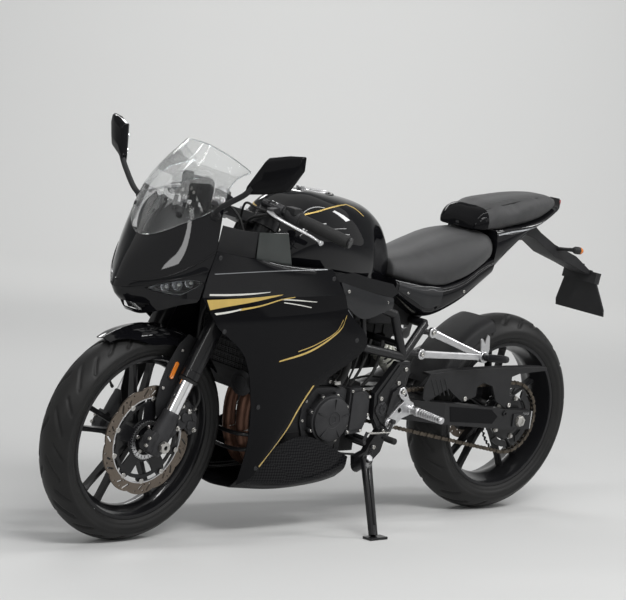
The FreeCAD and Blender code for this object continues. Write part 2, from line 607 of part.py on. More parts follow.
def swingarm():
    rings = []
    for x, y0, y1, z0, z1 in ARM_SECTIONS:
        rings.append([Vec(x, y0, z0), Vec(x, y1, z0), Vec(x, y1, z1), Vec(x, y0, z1)])
    left = ring_solid(rings)
    tube = cross_pin(PIVOT_X, PIVOT_Z, 25, -PLATE_Y + SEAT_GAP, PLATE_Y - SEAT_GAP)
    cross = block(336, 440, -100, 100, 326, 378)
    brace = block(440, 560, -70, 70, 345, 378)
    tab = block(372, 400, -12, 12, 378, 412)
    axle_bore = cross_pin(REAR_AXLE.x, REAR_AXLE.z, AXLE_R + RUNNING_FIT, -150, 150)
    pivot_bore = cross_pin(PIVOT_X, PIVOT_Z, 12 + RUNNING_FIT, -150, 150)
    face = ARM_Y + ARM_T + BOBBIN_BOSS
    boss = cross_pin(BOBBIN_X, BOBBIN_Z, BOBBIN_BOSS_R, ARM_Y + 5, face)
    hole = cross_pin(BOBBIN_X, BOBBIN_Z, BOBBIN_HOLE_R, face - BOBBIN_DEPTH, face)
    arm = fuse([left, mirrored(left), tube, cross, brace, tab, boss, mirrored(boss)])
    add("chassis", "swingarm", arm.cut([axle_bore, pivot_bore, hole, mirrored(hole)]))
    end = ARM_Y + ARM_T
    axle = cross_pin(REAR_AXLE.x, REAR_AXLE.z, AXLE_R, -end - 10, end + 10)
    nuts = [cross_pin(REAR_AXLE.x, REAR_AXLE.z, 17, end, end + 10), cross_pin(REAR_AXLE.x, REAR_AXLE.z, 17, -end - 10, -end)]
    left_spacer = ring(REAR_AXLE.x, REAR_AXLE.z, 17, AXLE_R - 1, CHAIN_Y + 4, ARM_Y)
    right_spacer = ring(REAR_AXLE.x, REAR_AXLE.z, 17, AXLE_R - 1, -ARM_Y, REAR_DISC_Y - 4)
    add("chassis", "rear_axle", fuse([axle, left_spacer, right_spacer] + nuts))


def shock():
    low = Vec(386, 0, 424)
    high = SHOCK_TOP
    along = (high - low).normalize()
    length = (high - low).Length
    body = rod(low, high, 17)
    spring = rod(low + along * 24, low + along * (length - 34), 31)
    collars = [rod(low + along * 18, low + along * 24, 34), rod(low + along * (length - 34), low + along * (length - 26), 34)]
    eye_low = cross_pin(386, 424, 12 - SEAT_GAP, -12, 12)
    clear = cross_pin(SHOCK_TOP.x, SHOCK_TOP.z, SHOCK_BOLT_R + SEAT_GAP, -20, 20)
    shape = fuse([body, spring, eye_low] + collars).cut([clear, block(372, 400, -12, 12, 378, 412 + SEAT_GAP)])
    add("chassis", "shock_absorber", shape)


def chain():
    """One closed loop round both sprockets, standing clear of the rear one's teeth."""
    def loop(grow):
        big = CHAIN_PITCH_R_REAR + grow
        small = CHAIN_PITCH_R_FRONT + grow
        reach = math.hypot(DRIVE_X, DRIVE_Z - REAR_R)
        tilt = math.atan2(DRIVE_Z - REAR_R, DRIVE_X)
        spread = math.acos((big - small) / reach)
        def at(cx, cz, r, angle):
            return Vec(cx + r * math.cos(angle), CHAIN_Y - CHAIN_WIDTH / 2, cz + r * math.sin(angle))
        top = [at(0, REAR_R, big, tilt + spread), at(DRIVE_X, DRIVE_Z, small, tilt + spread)]
        low = [at(0, REAR_R, big, tilt - spread), at(DRIVE_X, DRIVE_Z, small, tilt - spread)]
        edges = [Part.makeLine(top[0], top[1]),
                 Part.Arc(top[1], at(DRIVE_X, DRIVE_Z, small, tilt), low[1]).toShape(),
                 Part.makeLine(low[1], low[0]),
                 Part.Arc(low[0], at(0, REAR_R, big, tilt + math.pi), top[0]).toShape()]
        return Part.Face(Part.Wire(edges)).extrude(Vec(0, CHAIN_WIDTH, 0))
    add("chassis", "drive_chain", loop(CHAIN_HALF_HEIGHT).cut(loop(-CHAIN_HALF_HEIGHT)))


def chain_guard():
    # x, and height above the rear axle
    top = [(350, 130), (344, 156), (200, 160), (40, 156), (-60, 140), (-128, 114), (-150, 74), (-140, 72),
           (-118, 108), (-56, 132), (40, 146), (200, 150), (330, 146), (338, 126)]
    web = side_plate([(x, REAR_R + height) for x, height in top], CHAIN_Y - CHAIN_WIDTH / 2, 124)
    legs = []
    for x_top, x_foot in ((236, 228), (40, 30)):
        feet = [(x_foot + d, arm_top(x_foot + d) + SEAT_GAP) for d in (10, -10)]
        outline = [(x_top - 16, REAR_R + 150), (x_top + 16, REAR_R + 150)] + feet
        legs.append(side_plate(outline, 116, 124))
    add("chassis", "chain_guard", fuse([web] + legs))


def rear_hugger():
    x, z = REAR_AXLE.x, REAR_AXLE.z
    r0 = REAR_R + 14
    profile = [(r0 - 34, 79), (r0 - 8, 74), (r0, 40), (r0, -40), (r0 - 8, -74), (r0 - 34, -79), (r0 - 34, -83),
               (r0 - 4, -77), (r0 + 4, -42), (r0 + 4, 42), (r0 - 4, 77), (r0 - 34, 83)]
    face = Part.Face(Part.makePolygon([Vec(x, y, z + r) for r, y in profile + profile[:1]]))
    face.rotate(Vec(x, 0, z), Vec(0, 1, 0), 20)
    cover = face.revolve(Vec(x, 0, z), Vec(0, 1, 0), 52)
    foot_x = REAR_R + 35
    foot = block(foot_x - 11, foot_x + 11, -60, 60, 378, 384)
    strut = bars([Vec(foot_x, 40, 380), Vec(foot_x - 8, 40, 400), Vec(REAR_R, 40, REAR_R + 114)], 6)
    strut2 = mirrored(strut)
    inner = wheel_turn([(0, -90), (r0, -90), (r0, 90), (0, 90)], x, z)
    add("chassis", "rear_hugger", fuse([cover, foot, strut, strut2]).cut(inner.common(block(250, foot_x + 4, -41, 41, 386, REAR_R + 134))))


def rear_caliper():
    x, z = REAR_AXLE.x, REAR_AXLE.z
    body = side_plate([(60, z + 72), (72, z + 112), (116, z + 98), (132, z + 36), (106, z + 36)],
                      -ARM_Y + SEAT_GAP, -70)
    hub_room = cross_pin(x, z, REAR_DISC_INNER_R + 14, -ARM_Y, -60)
    slot = cross_pin(x, z, REAR_DISC_R + PAD_GAP, REAR_DISC_Y - REAR_DISC_T / 2 - PAD_GAP,
                     REAR_DISC_Y + REAR_DISC_T / 2 + PAD_GAP)
    add("chassis", "rear_caliper", body.cut([slot, hub_room]))


PASSENGER_FRONTS = (Vec(414, 134, 584), Vec(452, 138, 522))
PASSENGER_BALL_R = 13.0


# ---- footrests and gear lever ------------------------------------------------------------------------
def footrests():
    y0 = PLATE_Y + PLATE_T
    plate = side_plate([(498, 420), (538, 404), (556, 322), (528, 306), (462, 346), (462, 378)], y0, y0 + 9)
    peg = rod(Vec(474, y0 + 4, 362), Vec(452, 262, 354), 12)
    left = fuse([plate, peg])
    pedal = fuse([mirrored(left), bars([Vec(500, -y0 - 14, 335), Vec(580, -y0 - 30, 300), Vec(640, -y0 - 34, 296)], 7),
                  rod(Vec(500, -y0 - 4, 335), Vec(500, -y0 - 14, 335), 9),
                  cross_pin(640, 296, 9, -y0 - 62, -y0 - 26)])
    lever = [rod(Vec(545, y0 + 9, 330), Vec(545, y0 + 24, 330), 9),
             bars([Vec(545, y0 + 18, 330), Vec(572, y0 + 22, 284)], 6),
             cross_pin(572, 284, 9, y0 + 16, y0 + 66),
             bars([Vec(572, y0 + 22, 284), Vec(640, y0 + 12, 270)], 5),
             cross_pin(640, 270, 7, 76, y0 + 16)]
    add("chassis", "rider_footrests", Part.makeCompound([fuse([left] + lever), pedal]))
    apex = Vec(232, 172, 517)
    arms = [rod(f, apex, 9) for f in PASSENGER_FRONTS]
    ends = [Part.makeSphere(PASSENGER_BALL_R, p) for p in PASSENGER_FRONTS] + [Part.makeSphere(15, apex)]
    heel = side_plate([(246, 510), (214, 510), (212, 574), (232, 574)], 168, 172)
    peg = rod(apex, Vec(214, 262, 528), 11)
    add("chassis", "passenger_footrests", both_sides(fuse(arms + ends + [heel, peg])))


# ---- tank, seats and tail ----------------------------------------------------------------------------
def half_section(x, half, low, high, shape, tilt=0.0):
    """A closed section: shape lists (share of the half width, share of the height) up the left side."""
    left = [Vec(x - tilt * (low + (high - low) * v - low), half * u, low + (high - low) * v) for u, v in shape]
    right = [Vec(p.x, -p.y, p.z) for p in reversed(left) if p.y > 0.01]
    return left + right


TANK_REAR_X = 568.0
TANK_SHAPE = [(0.0, 0.0), (0.66, 0.0), (0.93, 0.10), (1.0, 0.38), (0.93, 0.64), (0.72, 0.87), (0.38, 0.98), (0.0, 1.0)]
# x, half width, low z, high z, backward tilt
TANK = [(1022, 96, 776, 920, 0.48), (1004, 132, 768, 950, 0.44), (940, 156, 758, 966, 0.25),
        (860, 162, 748, 968, 0.08), (770, 152, 735, 960, 0.0), (690, 130, 716, 944, 0.0),
        (640, 108, 704, 924, 0.0), (600, 90, 702, 894, 0.0), (TANK_REAR_X, 72, 702, 850, 0.0)]
SEAT_SHAPE = [(0.0, 0.0), (0.86, 0.0), (1.0, 0.22), (0.97, 0.62), (0.78, 0.9), (0.4, 1.0), (0.0, 1.0)]
SEAT_FRONT_X = TANK_REAR_X - SEAT_GAP
RIDER_SEAT = [(SEAT_FRONT_X, 100, 737.5, 790), (470, 122, 723, 806), (380, 134, 720, 834), (300, 138, 742, 858),
              (230, 130, 778, 870), (178, 106, 800, 876)]
PASSENGER_SEAT = [(242, 74, 880, 908), (222, 88, 880, 934), (180, 94, 882.3, 954), (150, 96, 884.3, 964),
                  (40, 90, 900.3, 980), (-40, 74, 917.3, 987), (-100, 54, 936.3, 987), (-144, 32, 952.3, 981)]
# tail behind the rider's seat, and below it: x, half width, low z, high z
TAIL_HIGH = [(-166, 22, 948, 976), (-146, 42, 942, 952), (-100, 64, 926, 936.3 - SEAT_GAP),
             (-40, 86, 904, 917.3 - SEAT_GAP), (40, 102, 866, 900.3 - SEAT_GAP), (100, 106, 815, 891.2 - SEAT_GAP),
             (150, 108, 766, 884.3 - SEAT_GAP), (174, 110, 744, 882.5 - SEAT_GAP)]
TAIL_LOW_X = 430.0
TAIL_LOW = [(176, 112, 743, 799 - SEAT_GAP), (230, 118, 706, 778 - SEAT_GAP), (300, 126, 664, 742 - SEAT_GAP),
            (380, 128, 629, 720 - SEAT_GAP), (TAIL_LOW_X, 128, 622, 721.3 - SEAT_GAP), (470, 128, 636, 723 - SEAT_GAP),
            (SEAT_FRONT_X, 119, 692, 737.5 - SEAT_GAP)]
TAIL_SHAPE = [(0.0, 0.0), (0.62, 0.0), (0.9, 0.2), (1.0, 0.62), (0.96, 0.92), (0.9, 1.0), (0.0, 1.0)]


def tank_bottom(x):
    for (x0, _, z0, _, _), (x1, _, z1, _, _) in zip(TANK, TANK[1:]):
        if x0 >= x >= x1:
            return z0 + (z1 - z0) * (x0 - x) / (x0 - x1)


CAP_X = TANK[3][0] - 38.0
CAP_R = 43.0
CAP_T = 11.0
CAP_GAP = 5.0
CAP_NECK_R = 40.0
CAP_SEAT_Z = 957.5
HINGE_AHEAD = 4.0
HINGE_ABOVE = 5.0
HINGE_PIN_R = 2.0


def tank():
    rings = [half_section(x, half, low, high, TANK_SHAPE, tilt) for x, half, low, high, tilt in TANK]
    body = ring_solid(rings)
    recess = Part.makeCylinder(CAP_R + CAP_GAP, 60, Vec(CAP_X, 0, CAP_SEAT_Z - 0.5))
    neck = Part.makeCylinder(CAP_NECK_R, 27.5, Vec(CAP_X, 0, CAP_SEAT_Z - 27.5))
    hinge_x = CAP_X + CAP_R + HINGE_AHEAD
    hinge_z = CAP_SEAT_Z + CAP_T + HINGE_ABOVE
    ears = [block(hinge_x - 3, hinge_x + 5, y, y + 6, CAP_SEAT_Z + 4, hinge_z + 4) for y in (7, -13)]
    hinge_pin = cross_pin(hinge_x, hinge_z, HINGE_PIN_R, -13, 13)
    add("chassis", "fuel_tank", fuse([body.cut(recess), neck, hinge_pin] + ears))
    lid = Part.makeCylinder(CAP_R, CAP_T, Vec(CAP_X, 0, CAP_SEAT_Z + SEAT_GAP))
    knuckle = cross_pin(hinge_x, hinge_z, HINGE_PIN_R + 2.2, -6, 6)
    tongue = block(hinge_x - 16, hinge_x, -6, 6, CAP_SEAT_Z + CAP_T - 2, CAP_SEAT_Z + CAP_T + HINGE_ABOVE)
    hole = cross_pin(hinge_x, hinge_z, HINGE_PIN_R + RUNNING_FIT, -8, 8)
    add("fuel_cap", "fuel_cap", fuse([lid, knuckle, tongue]).cut(hole))


def seats():
    for node, table in (("rider_seat", RIDER_SEAT), ("passenger_seat", PASSENGER_SEAT)):
        add("chassis", node, ring_solid([half_section(x, half, low, high, SEAT_SHAPE) for x, half, low, high in table]))


def tail():
    upper = ring_solid([half_section(x, half, a, b, TAIL_SHAPE) for x, half, a, b in TAIL_HIGH])
    lower = ring_solid([half_section(x, half, a, b, TAIL_SHAPE) for x, half, a, b in TAIL_LOW])
    link = block(170, 180, -66, 66, 754, 796)
    add("chassis", "tail_cowl", fuse([upper, lower, link]))
    lamp = half_section(-166 - SEAT_GAP, 20, 950, 974, TAIL_SHAPE)
    back = half_section(-178, 16, 952, 970, TAIL_SHAPE)
    add("chassis", "tail_light", ring_solid([back, lamp]))
    # the arm's top edge lies against the tail's underside between these two rings
    rear_x, rear_low = TAIL_HIGH[3][0], TAIL_HIGH[3][2]
    fore_x, fore_low = TAIL_HIGH[4][0], TAIL_HIGH[4][2]
    foot = [(x, rear_low + (fore_low - rear_low) * (x - rear_x) / (fore_x - rear_x) - SEAT_GAP) for x in (-36, 0)]
    arm = foot + [(-14, 864), (-60, 852), (-150, 800), (-250, 768), (-330, 740), (-338, 750), (-256, 800),
           (-150, 836), (-80, 872)]
    beam = side_plate(arm, -42, 42)
    # the blank plate widens downwards: height, x of its rear face, half width
    rings = [[Vec(x, -half, z), Vec(x + 8, -half, z), Vec(x + 8, half, z), Vec(x, half, z)]
             for z, x, half in ((758, -338, 50), (738, -341, 62), (640, -356.5, 104), (618, -360, 104))]
    lamps = [rod(Vec(-165, y, 822), Vec(-166, y + math.copysign(78, y), 832), 7) for y in (-38, 38)]
    heads = [rod(Vec(-146, y, 834), Vec(-190, y, 830), 12) for y in (-124, 124)]
    add("chassis", "plate_hanger", fuse([beam, ring_solid(rings)] + lamps + heads))


# ---- fairings ----------------------------------------------------------------------------------------
# nose cowl, left half: rows from the screen's foot down to the chin, each from the middle outwards
NOSE = [[(1398, 0, 832), (1383, 60, 846), (1348, 115, 880), (1308, 152, 910), (1264, 170, 938)],
        [(1430, 0, 776), (1410, 64, 782), (1368, 126, 798), (1330, 168, 814), (1290, 194, 828)],
        [(1452, 0, 722), (1422, 70, 726), (1380, 128, 738), (1342, 168, 752), (1308, 193, 764)],
        [(1462, 0, 694), (1424, 66, 700), (1384, 116, 714), (1346, 157, 729), (1312, 188, 738)],
        [(1450, 0, 672), (1412, 62, 674), (1374, 112, 680), (1348, 158, 690), (1322, 188, 694)],
        [(1402, 0, 628), (1392, 40, 628), (1366, 88, 646), (1346, 136, 668), (1322, 178, 684)]]
HEADLIGHT_CELLS = ((3, 1), (3, 2))
HEADLIGHT_DEPTH = 24.0
# windscreen, left half: its top edge from the middle outwards; its foot stands on the nose cowl's top edge
SCREEN_SEAT = 1.4
SCREEN_FOOT = [(x, y, z + SCREEN_SEAT) for x, y, z in NOSE[0]]
SCREEN_TOP = [(1254, 0, 1087), (1247, 48, 1083), (1218, 88, 1066), (1184, 110, 1045), (1146, 120, 1022)]
SCREEN_ROWS = 5
SCREEN_BULGE = 26.0
# side fairing edges: (x, y, z) from the top down
FAIRING_FRONT = [(1290, 196, 822), (1307, 196, 762), (1316, 192, 700), (1262, 204, 622), (1160, 200, 545),
                 (1108, 186, 430), (1090, 176, 300), (1082, 138, 170)]
FAIRING_REAR = [(1035, 188, 786), (880, 190, 778), (820, 190, 706), (808, 195, 664), (716, 190, 562),
                (880, 192, 450), (972, 192, 330), (1036, 172, 222)]
FAIRING_BULGE = 12.0
BELLY = [(1066, 136, 140, 206), (950, 150, 132, 282), (860, 156, 134, 300), (760, 154, 142, 262), (692, 146, 152, 232)]


def mirror_columns(rows):
    grid = []
    for row in rows:
        left = [Vec(*p) for p in row]
        right = [Vec(p.x, -p.y, p.z) for p in reversed(left[1:])]
        grid.append(right + left)
    return grid


def nose_grid():
    return mirror_columns(NOSE)


def screen_grid():
    rows = []
    for i in range(SCREEN_ROWS):
        t = i / (SCREEN_ROWS - 1)
        row = []
        for foot, top in zip(SCREEN_FOOT, SCREEN_TOP):
            p = Vec(*top) * (1 - t) + Vec(*foot) * t
            p = p + Vec(SCREEN_BULGE * 4 * t * (1 - t) * 0.8, 0, SCREEN_BULGE * 4 * t * (1 - t) * 0.5)
            row.append((p.x, p.y, p.z))
        rows.append(row)
    return mirror_columns(rows)


def fairing_grid():
    return span(FAIRING_FRONT, FAIRING_REAR, 7, FAIRING_BULGE)


def front_panels():
    grid = nose_grid()
    middle = len(grid[0]) // 2
    open_cells = []
    for i, j in HEADLIGHT_CELLS:
        open_cells += [(i, middle + j), (i, middle - 1 - j)]
    add("chassis", "nose_cowl", panel(grid, PANEL_WALL, open_cells, middle))
    i, j = HEADLIGHT_CELLS[0]
    lens = [row[middle + j:middle + j + len(HEADLIGHT_CELLS) + 1] for row in grid[i:i + 2]]
    centre = sum((p for row in lens for p in row), Vec()) * (1 / (len(lens) * len(lens[0])))
    lens = [[p + (centre - p) * 0.06 for p in row] for row in lens]
    add("chassis", "headlights", both_sides(panel(lens, HEADLIGHT_DEPTH)))
    grid = screen_grid()
    add("chassis", "windscreen", panel(grid, SCREEN_WALL, (), middle))


def side_panels():
    add("chassis", "side_fairings", both_sides(panel(fairing_grid(), PANEL_WALL)))
    rows = []
    for x, half, low, high in BELLY:
        ring_points = [(half, high), (half - 8, low + 44), (half - 44, low + 10), (0, low)]
        rows.append([Vec(x, y, z) for y, z in ring_points] + [Vec(x, -y, z) for y, z in reversed(ring_points[:-1])])
    add("chassis", "belly_pan", panel(rows, -PANEL_WALL, (), 3))
    grid = [[Vec(822, 168, 738), Vec(690, 160, 706), Vec(604, 153, 690)],
            [Vec(790, 168, 668), Vec(712, 160, 632), Vec(602, 153, 660)]]
    add("chassis", "side_covers", both_sides(panel(grid, PANEL_WALL)))


DASH_X = 1230.0
DASH_LOW = 925.0


def cockpit():
    add("chassis", "instrument_panel", block(DASH_X - 12, DASH_X + 12, -76, 76, DASH_LOW, DASH_LOW + 75))
    grid = nose_grid()
    middle = len(grid[0]) // 2
    front, rear, low = grid[0][middle + 3], grid[0][middle + 4], grid[1][middle + 4]
    normal = (low - front).cross(rear - front).normalize()
    foot = front * 0.4 + rear * 0.45 + low * 0.15 + normal * SEAT_GAP
    pad = rod(foot, foot + normal * 7, 12)
    stem = fuse([pad, bars([foot + normal * 4, foot + normal * 26 + Vec(0, 6, 18), Vec(1280, 279, 995)], 8)])
    # x, y, low z, high z and thickness of the mirror's head from its inner to its outer end
    table = [(1278, 274, 984, 1006, 18), (1258, 318, 992, 1086, 32), (1240, 378, 1010, 1100, 32),
             (1226, 418, 1068, 1104, 16)]
    rings = []
    for x, y, low, high, deep in table:
        edge = (high - low) * 0.12
        rings.append([Vec(x - deep / 2, y, low), Vec(x + deep / 2, y, low + edge), Vec(x + deep / 2, y, high - edge),
                      Vec(x - deep / 2, y, high)])
    add("chassis", "mirrors", both_sides(fuse([stem, ring_solid(rings)])).cut(PARTS["nose_cowl"][1]))


# ---- side stand --------------------------------------------------------------------------------------
def ground_height(y):
    """Height in bike axes of the floor under the leaning bike."""
    lean = math.radians(LEAN)
    return LEAN_HEIGHT + (y * math.sin(lean) - LEAN_HEIGHT) / math.cos(lean)


def side_stand():
    axis = Vec(STAND_AXIS).normalize()
    knuckle = rod(STAND_PIVOT - axis * STAND_HALF, STAND_PIVOT + axis * STAND_HALF, 17)
    bore = rod(STAND_PIVOT - axis * 30, STAND_PIVOT + axis * 30, 7 + RUNNING_FIT)
    foot_z = ground_height(STAND_FOOT_Y)
    ankle = Vec(STAND_FOOT_X, STAND_FOOT_Y - 4, foot_z + 9)
    leg = rod(STAND_PIVOT + axis * 1.5, ankle, 9)
    slope = math.degrees(math.atan2(ground_height(300) - ground_height(200), 100))
    foot = Part.makeBox(64, 34, 7, Vec(STAND_FOOT_X - 36, STAND_FOOT_Y - 17, foot_z))
    foot.rotate(Vec(STAND_FOOT_X, STAND_FOOT_Y, foot_z), Vec(1, 0, 0), slope)
    add("side_stand", "side_stand", fuse([knuckle, leg, foot]).cut(bore))


# ---- build, place and write --------------------------------------------------------------------------
def build():
    front_wheel()
    rear_wheel()
    fork()
    yokes()
    front_fender()
    front_caliper()
    handlebars()
    front_panels()
    side_panels()
    main_frame(tank_bottom)
    pivot_plates()
    engine()
    radiator()
    exhaust()
    swingarm()
    shock()
    chain()
    chain_guard()
    rear_hugger()
    rear_caliper()
    footrests()
    tank()
    seats()
    tail()
    cockpit()
    side_stand()


def rest_placement():
    """Lean onto the stand, then the middle of the footprint box to the origin."""
    lean = FreeCAD.Placement(Vec(), FreeCAD.Rotation(Vec(1, 0, 0), -LEAN), Vec(0, 0, LEAN_HEIGHT))
    return lean


def steer_placement():
    return FreeCAD.Placement(Vec(), FreeCAD.Rotation(STEER_AXIS, STEER_REST), on_stem(0))


def placed():
    lean = rest_placement()
    steer = steer_placement()
    shapes = {}
    for node, (body, shape) in PARTS.items():
        place = lean.multiply(steer) if body in ("steering", "front_wheel") else lean
        copy = shape.copy()
        copy.transformShape(place.toMatrix(), True)
        shapes[node] = copy
    low_front = shapes["front_tyre"].optimalBoundingBox(False, False).ZMin
    low_rear = shapes["rear_tyre"].optimalBoundingBox(False, False).ZMin
    level = FreeCAD.Placement(Vec(0, 0, -low_rear), FreeCAD.Rotation(
        Vec(0, 1, 0), math.degrees(math.atan2(low_front - low_rear, WHEELBASE))), Vec(0, 0, 0))
    for shape in shapes.values():
        shape.transformShape(level.toMatrix(), True)
    box = Part.makeCompound(list(shapes.values())).optimalBoundingBox(True, False)
    shift = FreeCAD.Matrix()
    shift.move(Vec(-(box.XMin + box.XMax) / 2, -(box.YMin + box.YMax) / 2, -box.ZMin))
    for shape in shapes.values():
        shape.transformShape(shift, True)
    frame = shift * level.toMatrix() * lean.toMatrix()
    return shapes, frame


def main():
    build()
    os.makedirs("parts", exist_ok=True)
    shapes, frame = placed()
    for node, shape in shapes.items():
        shape.exportStep(os.path.join("parts", node + ".step"))
    print("nodes", len(shapes))
    for node, shape in shapes.items():
        print(node, len(shape.Solids), round(shape.Volume / 1000.0, 1), shape.isValid())
    print("frame", [[round(v, 9) for v in frame.A[i:i + 4]] for i in range(0, 16, 4)])


main()
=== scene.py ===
"""Looks of a light faired sport bike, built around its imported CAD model.

Shapes are given in bike axes, in millimetres: x forwards, y to the rider's left, z up from the floor under
the rear axle, with the bike upright and steered straight.  BIKE and STEER take them to the frame's axes."""
import json
import math

import bmesh
import bpy
from mathutils import Matrix, Vector
from mathutils.bvhtree import BVHTree

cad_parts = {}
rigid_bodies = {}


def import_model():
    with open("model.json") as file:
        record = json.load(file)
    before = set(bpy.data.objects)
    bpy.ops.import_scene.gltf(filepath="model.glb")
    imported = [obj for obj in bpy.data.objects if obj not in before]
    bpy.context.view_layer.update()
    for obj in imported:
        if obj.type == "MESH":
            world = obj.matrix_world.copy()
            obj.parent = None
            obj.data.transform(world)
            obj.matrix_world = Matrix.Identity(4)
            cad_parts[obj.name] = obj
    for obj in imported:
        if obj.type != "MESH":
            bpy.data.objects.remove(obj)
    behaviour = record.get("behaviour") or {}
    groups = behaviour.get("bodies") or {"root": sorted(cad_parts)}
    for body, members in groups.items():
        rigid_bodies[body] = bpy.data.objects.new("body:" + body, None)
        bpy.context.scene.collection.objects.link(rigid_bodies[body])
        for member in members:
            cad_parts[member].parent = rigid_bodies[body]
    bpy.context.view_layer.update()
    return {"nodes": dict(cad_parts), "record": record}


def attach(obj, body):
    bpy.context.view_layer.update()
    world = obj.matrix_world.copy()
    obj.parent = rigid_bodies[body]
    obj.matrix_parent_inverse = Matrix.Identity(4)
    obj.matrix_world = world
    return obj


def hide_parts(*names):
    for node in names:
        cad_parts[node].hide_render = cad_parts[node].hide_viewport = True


for thing in list(bpy.data.objects):
    bpy.data.objects.remove(thing)
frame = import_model()
NODES = frame["nodes"]
JOINTS = {joint["name"]: joint for joint in frame["record"]["behaviour"]["joints"]}
MM = 0.001

# ---- driving dimensions, as in the CAD model -----------------------------------------------------------
WHEELBASE = 1350.0
FRONT_R = 293.0
REAR_R = 306.0
STEER_REST = math.radians(6.0)
RAKE = math.radians(25.0)
TRAIL = 95.0
LEG_Y = 100.0
CHAIN_Y = 92.0
DRIVE_X, DRIVE_Z = 640.0, 366.0
PITCH_R_REAR, PITCH_R_FRONT = 108.7, 35.7
FORK_OFFSET = FRONT_R * math.sin(RAKE) - TRAIL * math.cos(RAKE)
STEER_AXIS = Vector((-math.sin(RAKE), 0, math.cos(RAKE)))
STEER_FORWARD = Vector((math.cos(RAKE), 0, math.sin(RAKE)))


def V(x, y, z):
    return Vector((x, y, z))


FRONT_AXLE = V(WHEELBASE, 0, FRONT_R)
REAR_AXLE = V(0, 0, REAR_R)


def on_stem(s, y=0.0, ahead=0.0):
    return FRONT_AXLE + STEER_AXIS * s + STEER_FORWARD * (ahead - FORK_OFFSET) + V(0, y, 0)


def on_leg(s, y=LEG_Y, ahead=0.0):
    return FRONT_AXLE + STEER_AXIS * s + STEER_FORWARD * ahead + V(0, y, 0)


def leg_outline(pairs):
    """(x, z) points of an outline from (height up the leg, distance ahead of it) pairs."""
    return [(p.x, p.z) for p in (on_leg(s, 0, ahead) for s, ahead in pairs)]


def axle_outline(pairs):
    """(x, z) points from (distance behind, distance above) pairs counted from the front axle."""
    return [(FRONT_AXLE.x - back, FRONT_AXLE.z + up) for back, up in pairs]


def bike_matrix():
    """Bike axes in millimetres to the frame's axes in metres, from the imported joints."""
    rear = JOINTS["rear_wheel_spin"]
    left = Vector(rear["axis"]).normalized()
    forward = Vector(JOINTS["steering"]["axis"]).cross(-left).normalized()
    forward = Matrix.Rotation(RAKE, 3, left) @ forward
    up = forward.cross(left)
    turn = Matrix((forward, left, up)).transposed()
    scale = Matrix.Scale(MM, 4)
    return Matrix.Translation(Vector(rear["pos_m"])) @ turn.to_4x4() @ scale @ Matrix.Translation(-REAR_AXLE)


BIKE = bike_matrix()
STEER = BIKE @ (Matrix.Translation(on_stem(0)) @ Matrix.Rotation(STEER_REST, 4, STEER_AXIS)
                @ Matrix.Translation(-on_stem(0)))
PLACES = {"steering": STEER, "front_wheel": STEER}


# ---- materials -----------------------------------------------------------------------------------------
def two_tone(nodes, first, second, low, high):
    """A colour ramp from the first colour to the second, with its two stops at low and high."""
    ramp = nodes.new("ShaderNodeValToRGB")
    ramp.color_ramp.elements[0].position = low
    ramp.color_ramp.elements[0].color = (*first, 1)
    ramp.color_ramp.elements[1].position = high
    ramp.color_ramp.elements[1].color = (*second, 1)
    return ramp


def material(name, colour, roughness, metallic=0.0, coat=0.0, grain=None, mottle=None, **extra):
    """A Principled material.  grain is (scale, bump height in metres, kind); mottle is (scale, second colour,
    share) and varies the colour and the roughness a little."""
    mat = bpy.data.materials.new(name)
    mat.use_nodes = True
    nodes, links = mat.node_tree.nodes, mat.node_tree.links
    shader = nodes["Principled BSDF"]
    shader.inputs["Base Color"].default_value = (*colour, 1)
    shader.inputs["Roughness"].default_value = roughness
    shader.inputs["Metallic"].default_value = metallic
    shader.inputs["Coat Weight"].default_value = coat
    shader.inputs["Coat Roughness"].default_value = 0.03
    for key, value in extra.items():
        shader.inputs[key.replace("_", " ")].default_value = value
    place = nodes.new("ShaderNodeTexCoord")
    if mottle:
        scale, second, share = mottle
        noise = nodes.new("ShaderNodeTexNoise")
        noise.inputs["Scale"].default_value = scale
        noise.inputs["Detail"].default_value = 6
        links.new(place.outputs["Object"], noise.inputs["Vector"])
        ramp = two_tone(nodes, colour, second, 0.5 - share / 2, 0.5 + share / 2)
        links.new(noise.outputs["Fac"], ramp.inputs["Fac"])
        links.new(ramp.outputs["Color"], shader.inputs["Base Color"])
        rough = nodes.new("ShaderNodeMapRange")
        rough.inputs["To Min"].default_value = max(roughness - 0.06, 0.0)
        rough.inputs["To Max"].default_value = min(roughness + 0.10, 1.0)
        links.new(noise.outputs["Fac"], rough.inputs["Value"])
        links.new(rough.outputs["Result"], shader.inputs["Roughness"])
    if grain:
        scale, height, kind = grain
        if kind == "cells":
            source = nodes.new("ShaderNodeTexVoronoi")
            out = source.outputs["Distance"]
        else:
            source = nodes.new("ShaderNodeTexNoise")
            source.inputs["Detail"].default_value = 5
            out = source.outputs["Fac"]
        source.inputs["Scale"].default_value = scale
        links.new(place.outputs["Object"], source.inputs["Vector"])
        bump = nodes.new("ShaderNodeBump")
        bump.inputs["Distance"].default_value = height
        bump.inputs["Strength"].default_value = 1.0
        links.new(out, bump.inputs["Height"])
        links.new(bump.outputs["Normal"], shader.inputs["Normal"])
    return mat


